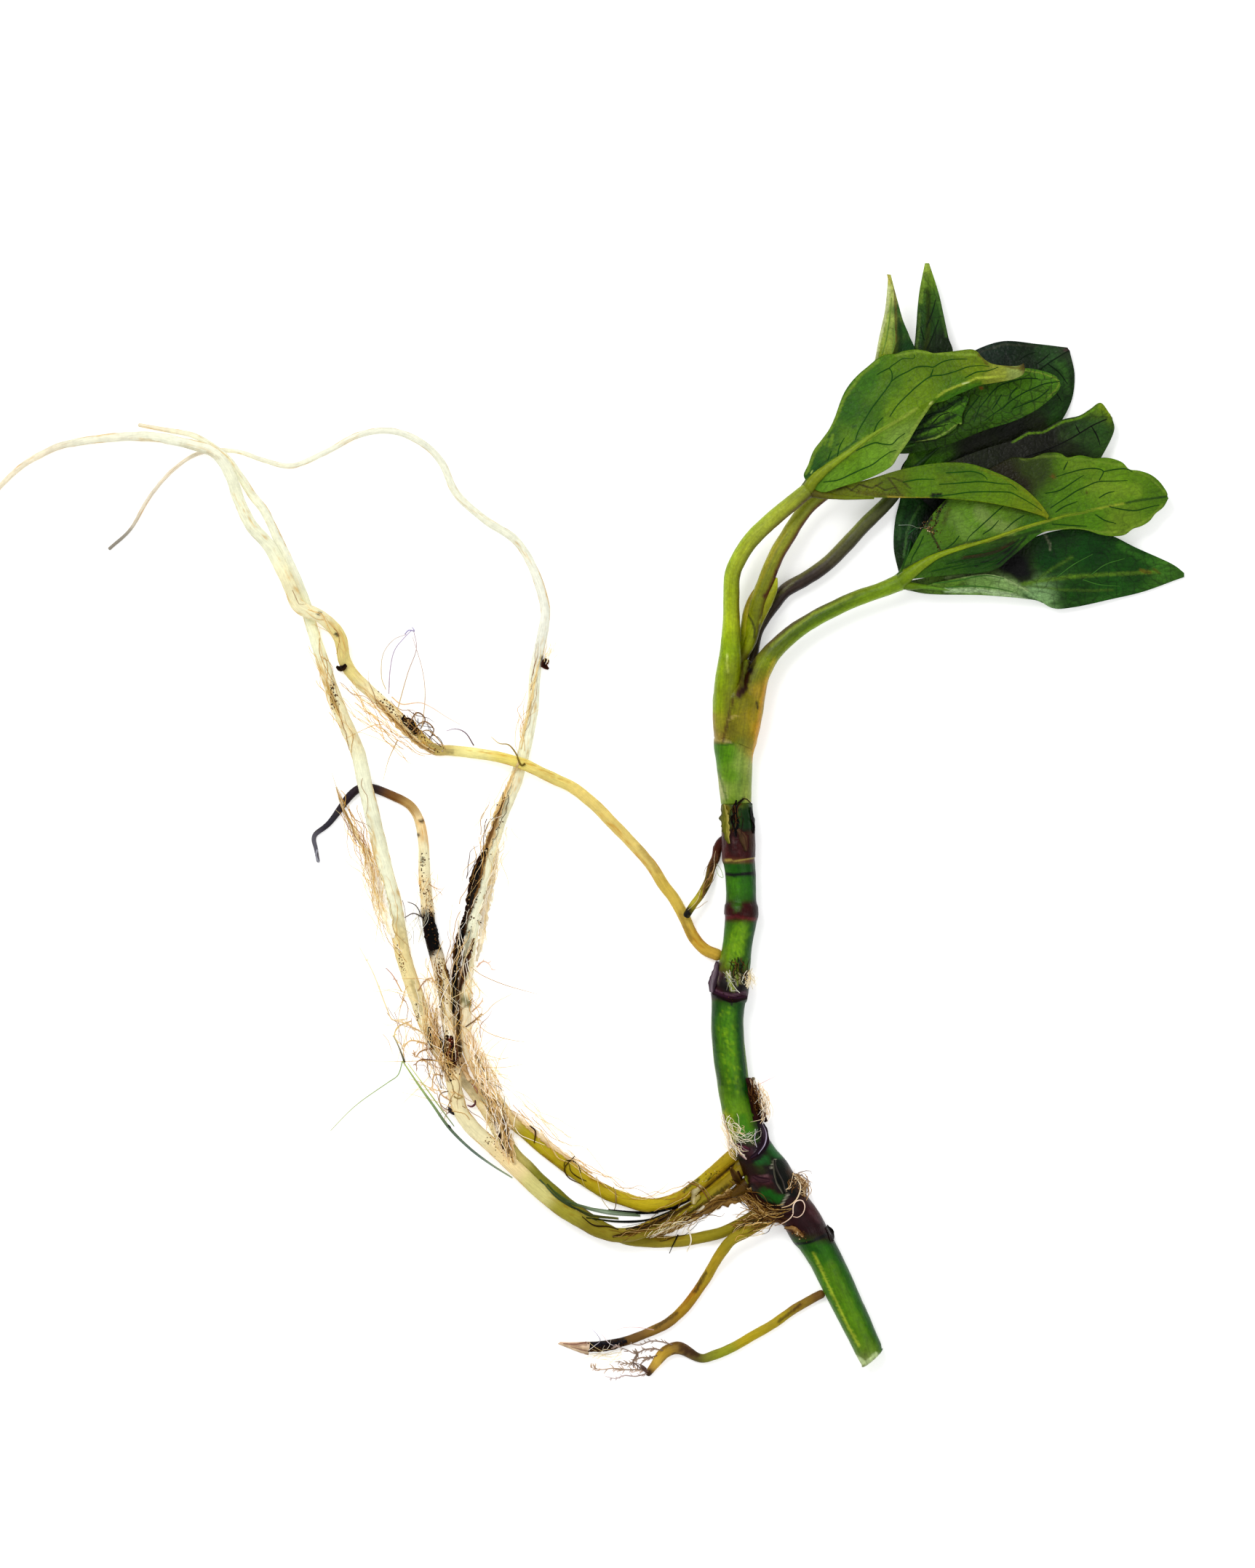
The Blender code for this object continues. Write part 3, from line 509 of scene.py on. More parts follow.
def leaflet(name, blade, finish, seed, along=150, across=36, bend=0.22, cells=95):
    """The leaflet as a closed painted sheet.

    along and across: the rows from base to tip, and the points from midrib to margin.
    bend and cells: the height of its puckers in millimetres, and how many there are to a metre.
    """
    rows = pucker(blade_grid(blade, along, across), bend * MM, cells, seed)
    normal = np.cross(np.gradient(rows, axis=1), np.gradient(rows, axis=0))
    normal /= np.maximum(np.linalg.norm(normal, axis=2), 1e-12)[:, :, None]
    half = normal * LEAF_THICKNESS / 2
    points = np.concatenate([(rows + half).reshape(-1, 3), (rows - half).reshape(-1, 3)])
    high, wide = rows.shape[:2]
    spots = pixels(points)
    tint = ground(spots, blade["ground"])
    tint = stroke_over(tint, spots, blade["strokes"], wobble=0.6)
    for hexed, strength, width, side in blade.get("rims", []):
        # A rim follows the margin itself, so it is painted by the share of the way to the margin
        share = np.tile((np.arange(wide) - across) / across, 2 * high)
        share = -share if side == "left" else share
        cover = (np.clip((share - 1 + width) / width, 0, 1) * strength)[:, None]
        tint = tint * (1 - cover) + linear(hexed) * cover
    # The skin place of a point is its millimetres across the blade and along it
    far = np.repeat(run_along(rows[:, across]), wide)
    gaps = np.linalg.norm(np.diff(rows, axis=1), axis=2)
    out = np.concatenate([np.zeros((high, 1)), gaps.cumsum(axis=1)], 1)
    uv = np.tile(np.stack([(out - out[:, across:across + 1]).ravel(), far], 1) * TO_MM, (2, 1))
    faces = sheet_faces(np.arange(high * wide).reshape(high, wide))
    made = add_piece(name, points, faces, tint, finish, uv=uv)
    print(name, "is", round(length_of(rows[:, across]) * TO_MM, 1), "mm long")
    return made


# %% [markdown]
# ## The uppermost leaf
# The leaf on the left stalk points up to the right. Its first leaflet is a broad bright green blade with one
# lower margin rolled under near the tip. The second lies folded along its midrib, so its lower edge is a
# straight fold. The third stands on edge: a pale half in front of a dark one, and it ends in a tan tip.

# %% Leaflets of the uppermost leaf
LEAFLET_A1 = {
    "midrib": rise([(1112, 667), (1131, 648), (1161, 627), (1192, 603), (1222, 585), (1259, 562), (1285, 549),
                    (1324, 527), (1363, 521), (1407, 505)],
                   [14.4, 14.9, 15.3, 15.6, 15.8, 15.7, 15.4, 14.8, 14.1, 13.4]),
    "left": rise([(1108, 662), (1106, 655), (1112, 642), (1119, 623), (1131, 607), (1141, 593), (1149, 576),
                  (1159, 548), (1169, 531), (1182, 517), (1194, 507), (1206, 497), (1218, 491), (1231, 490),
                  (1243, 486), (1259, 484), (1274, 486), (1284, 489), (1308, 487), (1333, 484), (1343, 488),
                  (1348, 494), (1357, 501), (1367, 505), (1386, 507), (1398, 507), (1407, 503)],
                 [14.2, 13.4, 12.8, 12.2, 12.0, 12.0, 12.2, 12.6, 12.8, 13.0, 13.4]),
    "right": rise([(1119, 673), (1131, 676), (1155, 668), (1182, 660), (1198, 654), (1214, 646), (1225, 638),
                   (1233, 625), (1247, 605), (1255, 591), (1263, 578), (1271, 566), (1280, 554), (1296, 550),
                   (1312, 542), (1329, 535), (1345, 528), (1363, 525), (1382, 522), (1394, 519), (1404, 514),
                   (1407, 507)],
                  [14.2, 13.8, 13.6, 13.8, 14.2, 14.6, 14.4, 13.8, 13.2, 13.4]),
    "ground": [
        ("2f5c0c", 1116, 646), ("4a7020", 1136, 610), ("335f0c", 1166, 562), ("3c6c10", 1190, 520),
        ("587c14", 1226, 530), ("4a700e", 1200, 574), ("5c8012", 1158, 618), ("648418", 1230, 572),
        ("567414", 1290, 505), ("62800e", 1262, 540), ("68801a", 1340, 505), ("4a7010", 1320, 537),
        ("669024", 1150, 664), ("6c9628", 1200, 640), ("7a9a3c", 1240, 600), ("8a9432", 1372, 512),
        ("93a452", 1396, 512), ("4a3a18", 1405, 506), ("5f8a1c", 1184, 655),
    ],
    "strokes": [
        ("244f0c", 0.5, 12, [(1120, 650), (1128, 628), (1144, 602)]),
        # Painted light: a bright rim of light along the left and upper margins
        ("7f9c2c", 0.6, 2.2, [(1108, 652), (1119, 623), (1131, 606), (1149, 575), (1160, 548), (1182, 517),
                              (1206, 497)]),
        ("8ba83a", 0.6, 1.8, [(1231, 490), (1259, 485), (1308, 488), (1343, 489), (1357, 501)]),
        ("305c10", 0.4, 9, [(1180, 604), (1204, 560), (1230, 522)]),
        ("26520c", 0.5, 4, [(1184, 572), (1192, 562)]),
        # Painted highlight along the edge where the lower margin rolls under
        ("a8b83c", 0.8, 1.6, [(1279, 556), (1296, 540), (1310, 534), (1324, 529), (1341, 521), (1380, 519)]),
        ("3a6c12", 0.8, 4, [(1284, 553), (1303, 546), (1320, 540), (1345, 530)]),
        ("5a5018", 0.8, 2.0, [(1344, 489), (1349, 493), (1356, 502)]),
        ("93aa46", 0.6, 2.0, [(1225, 638), (1233, 624), (1247, 604), (1263, 578), (1280, 555)]),
        # Painted glints on that edge
        ("c8d878", 0.9, 1.2, [(1277, 557), (1280, 554)]), ("c8d890", 0.9, 1.0, [(1322, 529), (1330, 527)]),
        ("8a9a34", 0.8, 3.4, [(1108, 664), (1131, 649), (1161, 627), (1192, 604)]),
        ("8fa43c", 0.7, 2.0, [(1192, 604), (1222, 586), (1243, 574), (1259, 563)]),
        # Painted shade: a thin dark line along the upper side of the midrib
        ("1f480c", 0.8, 1.5, [(1106, 657), (1124, 643), (1146, 628), (1167, 614), (1178, 606)]),
        ("5e5418", 0.7, 1.8, [(1376, 502), (1390, 507), (1404, 508)]),
        # The pale a8c060 dabs in the next two lines are painted glints near the base
        ("a8c060", 0.8, 1.0, [(1110, 640), (1112, 632)]), ("7a9c20", 0.6, 2.4, [(1140, 614), (1144, 600)]),
        ("a8c060", 0.8, 0.9, [(1114, 652), (1116, 648)]), ("7a9c20", 0.5, 1.6, [(1133, 612), (1136, 604)]),
        ("1c400c", 0.8, 1.4, [(1150, 613), (1152, 611)]), ("1c400c", 0.7, 1.4, [(1172, 588), (1175, 587)]),
        ("1c400c", 0.6, 1.2, [(1196, 586), (1199, 584)]), ("1c400c", 0.6, 1.2, [(1248, 525), (1251, 523)]),
    ],
    "veins": {
        "hex": "1f4a10",
        "lines": [
            [(1175, 606), (1179, 594), (1188, 578), (1198, 562), (1210, 546), (1224, 526), (1225, 513),
             (1222, 507), (1231, 500), (1241, 494), (1255, 494), (1256, 486)],
            [(1224, 526), (1233, 519), (1247, 512), (1259, 506), (1274, 505), (1282, 506), (1292, 500),
             (1304, 496), (1318, 495), (1329, 495)],
            [(1222, 507), (1210, 513), (1204, 517)],
            [(1222, 574), (1233, 558), (1247, 544), (1261, 531), (1278, 519), (1294, 517), (1312, 512),
             (1329, 506), (1345, 504), (1359, 505)],
            [(1278, 519), (1282, 508)],
            [(1325, 521), (1341, 513), (1357, 511), (1371, 506)],
            [(1131, 664), (1151, 661), (1167, 654), (1182, 647), (1198, 640), (1210, 631), (1222, 623),
             (1231, 620)],
            [(1176, 621), (1188, 615), (1202, 610), (1214, 612), (1225, 612), (1233, 604), (1243, 597)],
            [(1137, 634), (1142, 621)],
            [(1150, 630), (1153, 616), (1160, 603)],
            [(1200, 596), (1205, 584), (1213, 575)],
        ],
    },
}

LEAFLET_A2 = {
    "midrib": [(1122, 680, 12.8), (1180, 684, 12.8), (1230, 685, 13.4), (1297, 686, 13.4), (1357, 692, 13.4),
               (1402, 701, 13.0), (1440, 712, 12.2)],
    "left": [(1124, 677, 12.7), (1187, 664, 12.4), (1238, 649, 12.7), (1290, 640, 12.6), (1331, 641, 12.6),
             (1370, 654, 12.6), (1399, 669, 12.5), (1424, 691, 12.3), (1440, 712, 12.2)],
    "right": [(1124, 683, 12.2), (1187, 676, 11.0), (1238, 666, 11.0), (1290, 660, 11.0), (1331, 661, 11.0),
              (1370, 671, 11.0), (1399, 684, 11.2), (1424, 700, 11.6), (1440, 712, 12.0)],
    "ground": [
        ("5c6414", 1140, 678), ("64701c", 1190, 674), ("586a0c", 1226, 668), ("567a07", 1270, 664),
        ("577406", 1300, 655), ("567a07", 1330, 670), ("5d7f02", 1370, 680), ("657f00", 1410, 698),
        ("748010", 1434, 708),
    ],
    "strokes": [
        ("372709", 0.7, 1.3, [(1220, 658), (1228, 668), (1236, 680)]),
        ("2b1f07", 0.7, 1.2, [(1150, 674), (1162, 670), (1172, 676)]),
        ("2b1f07", 0.7, 1.0, [(1168, 676), (1180, 667), (1192, 671)]),
        ("2b1f07", 0.7, 1.2, [(1186, 668), (1198, 672), (1212, 664)]),
        ("2b1f07", 0.7, 1.0, [(1203, 668), (1216, 675), (1230, 671)]),
        ("2b1f07", 0.6, 1.0, [(1226, 658), (1240, 663), (1250, 672)]),
        ("4a3c14", 0.5, 3, [(1180, 678), (1210, 681), (1240, 683)]),
        ("b09c3b", 0.7, 1.4, [(1220, 684), (1250, 686), (1276, 686)]),
        ("8c8c30", 0.45, 1.4, [(1304, 688), (1345, 692), (1381, 698), (1420, 707)]),
        ("130d04", 0.95, 3, [(1281, 682), (1292, 682)]),
        ("7a7c24", 0.4, 1.2, [(1344, 645), (1377, 657), (1408, 676), (1431, 697)]),
        ("3c6205", 0.5, 6, [(1290, 646), (1320, 648), (1346, 655)]),
    ],
    "veins": {
        "hex": "234f10",
        "lines": [
            [(1299, 651), (1318, 650), (1332, 649), (1344, 651), (1353, 656), (1356, 661)],
            [(1290, 667), (1317, 665), (1329, 664), (1346, 663), (1360, 664), (1374, 666), (1388, 667),
             (1397, 674)],
            [(1282, 683), (1307, 681), (1327, 678), (1346, 677), (1367, 677), (1387, 678), (1402, 685),
             (1416, 693), (1431, 703)],
            [(1240, 664), (1262, 660), (1284, 660)],
        ],
    },
}

LEAFLET_A3 = {
    "midrib": [(1112, 659, 12.4), (1140, 600, 11.4), (1170, 545, 10.4), (1199, 502, 9.8), (1203, 493, 9.7),
               (1207, 472, 9.5), (1212, 449, 9.3), (1217, 426, 9.0), (1220, 397, 8.6), (1221, 378, 8.4)],
    "left": [(1116, 655, 12.4), (1150, 610, 11.5), (1186, 555, 10.8), (1215, 515, 10.5), (1229, 488, 10.6),
             (1234, 466, 10.5), (1232, 450, 10.3), (1231, 426, 9.9), (1230, 400, 9.2), (1221, 378, 8.4)],
    "right": [(1117, 657, 11.6), (1160, 612, 10.4), (1195, 560, 9.2), (1232, 515, 8.2), (1254, 486, 7.6),
              (1247, 462, 7.2), (1238, 440, 7.2), (1230, 412, 7.4), (1221, 378, 8.0)],
    "ground": [
        ("7a8f1c", 1208, 494), ("8fa23d", 1216, 470), ("9fb251", 1222, 440), ("a9b65f", 1224, 412),
        ("b4bc5c", 1223, 386), ("1f441e", 1246, 478), ("2a5321", 1240, 452), ("3a622a", 1235, 426),
        ("2a5316", 1150, 590),
    ],
    "strokes": [
        ("c5cc91", 0.8, 2.5, [(1203, 493), (1208, 470), (1213, 448), (1218, 424), (1221, 396)]),
        ("8a7134", 0.5, 1.5, [(1231, 470), (1231, 450), (1231, 426), (1229, 400)]),
        ("1a3518", 0.7, 2.5, [(1236, 486), (1238, 464), (1235, 440)]),
        ("c8bc58", 0.7, 2, [(1222, 388), (1221, 380)]),
    ],
    "veins": {
        "hex": "6f8f3a",
        "lines": [
            [(1212, 488), (1218, 466), (1222, 440), (1225, 410)],
            [(1226, 486), (1229, 466), (1228, 444)],
        ],
    },
}

# %% [markdown]
# ## The second leaf
# One leaflet stands nearly upright behind the first leaf. It is dark green, and painted shade makes it seem
# black at its foot. The next is a smooth middle green with strong branching veins. The third is a small
# crumpled lobe on top.

# %% Leaflets of the second leaf
LEAFLET_B1 = {
    "midrib": [(1216, 614, 8.2), (1238, 565, 7.6), (1258, 510, 7.0), (1268, 455, 6.4), (1273, 400, 6.0),
               (1274, 362, 5.6)],
    "left": [(1215, 610, 8.2), (1230, 560, 7.4), (1250, 510, 6.4), (1259, 478, 5.8), (1262, 450, 5.4),
             (1264, 424, 5.1), (1267, 398, 5.0), (1274, 362, 5.4)],
    "right": [(1219, 612, 8.0), (1262, 575, 7.0), (1296, 525, 6.0), (1307, 486, 5.3), (1301, 464, 5.0),
              (1294, 432, 4.6), (1287, 402, 4.4), (1274, 362, 5.2)],
    "ground": [
        ("9cb646", 1274, 366), ("668728", 1276, 386), ("426722", 1278, 408), ("2d4d20", 1280, 430),
        # The near-black swatches towards the foot are painted shade under the first leaf
        ("29481e", 1272, 455), ("232f1e", 1290, 470), ("212b1c", 1270, 500), ("212b18", 1250, 560),
    ],
    "strokes": [
        ("303813", 0.7, 3.5, [(1275, 400), (1276, 430), (1275, 460), (1272, 486)]),
        ("5a7731", 0.6, 2, [(1264, 432), (1262, 460), (1259, 484)]),
        ("547737", 0.5, 2, [(1287, 402), (1294, 432), (1301, 462)]),
        ("7d9c37", 0.6, 2.5, [(1270, 376), (1267, 398), (1265, 416)]),
    ],
    "veins": {
        "hex": "16240f",
        "lines": [
            [(1272, 484), (1282, 462), (1290, 440)],
            [(1273, 450), (1281, 430), (1286, 412)],
            [(1270, 468), (1265, 450)],
        ],
    },
}

LEAFLET_B2 = {
    "midrib": [(1218, 619, 9.2), (1260, 611, 9.4), (1305, 600, 9.4), (1350, 580, 9.2), (1392, 552, 8.8),
               (1425, 534, 8.4), (1456, 527, 8.0)],
    "left": [(1220, 616, 9.2), (1245, 585, 9.0), (1285, 553, 8.8), (1325, 530, 8.6), (1370, 513, 8.2),
             (1408, 509, 8.0), (1429, 512, 7.9), (1449, 519, 7.8), (1457, 527, 8.0)],
    "right": [(1220, 622, 9.0), (1260, 620, 8.6), (1310, 606, 8.2), (1350, 590, 8.0), (1392, 577, 7.8),
              (1422, 562, 7.6), (1443, 546, 7.6), (1453, 536, 7.7), (1457, 527, 7.8)],
    "ground": [
        ("487418", 1400, 530), ("4c781e", 1440, 530), ("406814", 1370, 545), ("365814", 1340, 560),
        ("304e16", 1320, 588), ("386012", 1390, 565), ("446c1a", 1425, 548), ("2c4814", 1270, 600),
    ],
    "strokes": [
        ("8a9c38", 0.5, 1.0, [(1409, 510), (1429, 513), (1449, 520), (1456, 527), (1452, 535), (1441, 546)]),
        ("4c6c1c", 0.4, 1.2, [(1441, 546), (1420, 561), (1392, 575), (1360, 586)]),
        ("7d481a", 0.9, 2.5, [(1348, 534)]),
    ],
    "veins": {
        "hex": "15380c",
        "lines": [
            [(1456, 525), (1436, 528), (1423, 533), (1406, 541), (1390, 551), (1378, 561), (1366, 569),
             (1353, 579)],
            [(1426, 521), (1408, 521), (1390, 525), (1375, 530), (1363, 540), (1355, 550), (1346, 561),
             (1342, 571), (1338, 581)],
            [(1398, 533), (1390, 541), (1385, 551)],
            [(1376, 543), (1370, 553), (1363, 564)],
            [(1346, 545), (1337, 556), (1328, 568), (1325, 576)],
            [(1441, 536), (1426, 548), (1408, 556), (1390, 563)],
        ],
    },
}

LEAFLET_B3 = {
    "midrib": [(1218, 625, 10.2), (1250, 604, 10.6), (1282, 583, 10.8), (1308, 566, 10.8), (1329, 547, 10.6)],
    "left": [(1219, 621, 10.4), (1238, 592, 10.7), (1266, 566, 10.8), (1298, 549, 10.8), (1329, 547, 10.6)],
    "right": [(1221, 627, 10.2), (1250, 608, 10.2), (1285, 602, 10.2), (1308, 590, 10.2), (1315, 581, 10.2),
              (1320, 582, 10.2), (1320, 570, 10.3), (1324, 560, 10.4), (1329, 547, 10.6)],
    "ground": [
        ("385a12", 1290, 566), ("2c4c10", 1262, 580), ("446a18", 1300, 590), ("26420e", 1240, 600),
        ("3c6a16", 1318, 556), ("223c0e", 1226, 616),
    ],
    "strokes": [
        ("16280e", 0.85, 2.6, [(1262, 586), (1278, 572), (1300, 560), (1322, 548)]),
        ("16280e", 0.85, 2.2, [(1250, 600), (1270, 592), (1292, 582), (1312, 572)]),
        ("16280e", 0.8, 1.8, [(1246, 606), (1270, 604), (1290, 598)]),
        ("5a8a24", 0.8, 1.8, [(1270, 586), (1290, 574), (1310, 564), (1324, 556)]),
        ("5a8a24", 0.7, 1.6, [(1262, 600), (1284, 592), (1304, 582)]),
        ("527a20", 0.8, 2.2, [(1286, 603), (1300, 595), (1312, 588)]),
        ("8aa048", 0.8, 1.0, [(1258, 609), (1285, 603), (1302, 594), (1312, 586), (1320, 583)]),
        ("446a1c", 0.7, 1.6, [(1244, 592), (1262, 572), (1284, 560)]),
    ],
    "veins": {"hex": "14260c", "lines": [[(1240, 606), (1262, 592), (1286, 588), (1302, 584)],
                                         [(1256, 586), (1274, 572), (1296, 566), (1312, 556)],
                                         [(1280, 584), (1292, 572), (1304, 568)]]},
}

# %% [markdown]
# ## The third leaf
# Its leaflets lie lowest and look the darkest: dark blue-green, painted near-black with shade where the others
# lie over them. The broad one shows a bright mottled band along its right side, and the second has a light
# green rim, painted light from the table along its edge, and a hooked tip.

# %% Leaflets of the third leaf
LEAFLET_C1 = {
    "midrib": [(1240, 656, 5.5), (1300, 606, 5.0), (1365, 553, 4.2), (1420, 512, 3.4), (1469, 480, 2.4)],
    "left": [(1240, 651, 5.5), (1258, 610, 4.8), (1285, 552, 3.4), (1310, 508, 2.2), (1337, 486, 1.4),
             (1380, 471, 1.0), (1428, 475, 1.0), (1469, 480, 2.2)],
    "right": [(1243, 656, 5.3), (1290, 648, 4.4), (1345, 634, 3.2), (1400, 616, 2.2), (1445, 591, 1.4),
              (1470, 553, 0.8), (1476, 514, 0.8), (1469, 480, 2.2)],
    "ground": [
        ("26342a", 1350, 482), ("202c22", 1380, 484), ("202c1e", 1410, 494), ("2a4424", 1440, 490),
        ("223a1a", 1462, 520), ("243f1c", 1458, 560), ("242a19", 1430, 594), ("1e2018", 1400, 606),
        ("1e2016", 1340, 622), ("3a6517", 1262, 630), ("345617", 1280, 612), ("2c3a26", 1469, 482),
        ("24281d", 1330, 560),
    ],
    "strokes": [
        ("2f5420", 0.6, 5, [(1462, 500), (1462, 530), (1456, 560), (1444, 580)]),
        ("3c6228", 0.5, 3, [(1452, 498), (1466, 512), (1468, 540)]),
        ("869944", 0.8, 2.2, [(1240, 624), (1241, 648)]),
        ("5a8321", 0.6, 4, [(1250, 618), (1256, 636), (1262, 646)]),
        # Painted shade where the leaflets above lie over this one
        ("16180f", 0.7, 5, [(1300, 636), (1350, 624), (1400, 610)]),
        ("5a3a44", 0.5, 2, [(1464, 481), (1469, 481)]),
        ("4a4c3c", 0.4, 1.4, [(1338, 487), (1380, 473), (1426, 476)]),
    ],
    "veins": {
        "hex": "12240f",
        "lines": [
            [(1469, 482), (1440, 500), (1412, 522), (1390, 540)],
            [(1424, 501), (1434, 494), (1443, 486)],
            [(1401, 495), (1411, 488), (1423, 484)],
            [(1440, 500), (1456, 512), (1468, 528)],
            [(1424, 516), (1446, 532), (1460, 552)],
        ],
    },
}

LEAFLET_C2 = {
    "midrib": [(1242, 661, 6.6), (1300, 652, 6.8), (1370, 642, 6.8), (1440, 618, 6.2), (1490, 592, 5.2),
               (1527, 572, 4.0)],
    "left": [(1243, 658, 6.4), (1275, 646, 6.3), (1308, 637, 6.2), (1350, 621, 6.0), (1389, 609, 5.8),
             (1403, 602, 5.7), (1413, 595, 5.6), (1433, 594, 5.5), (1459, 580, 5.3), (1484, 574, 5.0),
             (1499, 565, 4.7), (1514, 556, 4.4), (1527, 572, 4.0)],
    "right": [(1244, 664, 6.2), (1290, 676, 5.8), (1340, 694, 5.4), (1400, 698, 5.0), (1450, 682, 4.6),
              (1492, 656, 4.2), (1515, 622, 3.8), (1530, 590, 3.6), (1527, 572, 3.8)],
    "ground": [
        # The near-black swatches are dark green with painted shade under the leaflets above
        ("23241e", 1400, 620), ("24281d", 1350, 636), ("1f201a", 1440, 612), ("27401d", 1490, 600),
        ("2e4f20", 1512, 590), ("232a1a", 1470, 620), ("2b301d", 1300, 650), ("516a1c", 1520, 570),
        ("26301c", 1480, 640),
    ],
    "strokes": [
        # Painted light: a light green rim along the left margin
        ("628a1c", 0.8, 1.5, [(1392, 608), (1413, 596), (1433, 595), (1459, 581), (1484, 575),
                             (1499, 566), (1513, 557)]),
        ("738a1c", 0.9, 3.5, [(1513, 558), (1522, 564), (1526, 571)]),
        ("385528", 0.6, 6, [(1480, 590), (1500, 586), (1514, 578)]),
        ("344a24", 0.5, 5, [(1460, 600), (1484, 606), (1506, 604)]),
    ],
    "veins": {
        "hex": "10140d",
        "lines": [
            [(1526, 574), (1500, 586), (1470, 604), (1440, 618), (1404, 630)],
            [(1484, 596), (1478, 584)],
            [(1500, 586), (1508, 600), (1512, 612)],
        ],
    },
}

LEAFLET_C3 = {
    "midrib": [(1249, 667, 4.6), (1295, 683, 3.8), (1350, 700, 3.2), (1430, 716, 2.0)],
    "left": [(1250, 664, 4.6), (1295, 670, 3.6), (1350, 674, 2.8), (1405, 692, 1.8), (1430, 716, 1.8)],
    "right": [(1251, 670, 4.4), (1287, 700, 3.6), (1335, 728, 2.8), (1395, 732, 1.8), (1430, 716, 1.8)],
    # Its near-black is dark green with painted shade under the leaflets above
    "ground": [("1c201c", 1300, 690), ("1a2018", 1380, 710), ("222a1c", 1420, 712)],
    "strokes": [("33401f", 0.5, 2.5, [(1300, 684), (1350, 700), (1420, 714)])],
    "veins": {"hex": "10140d", "lines": []},
}
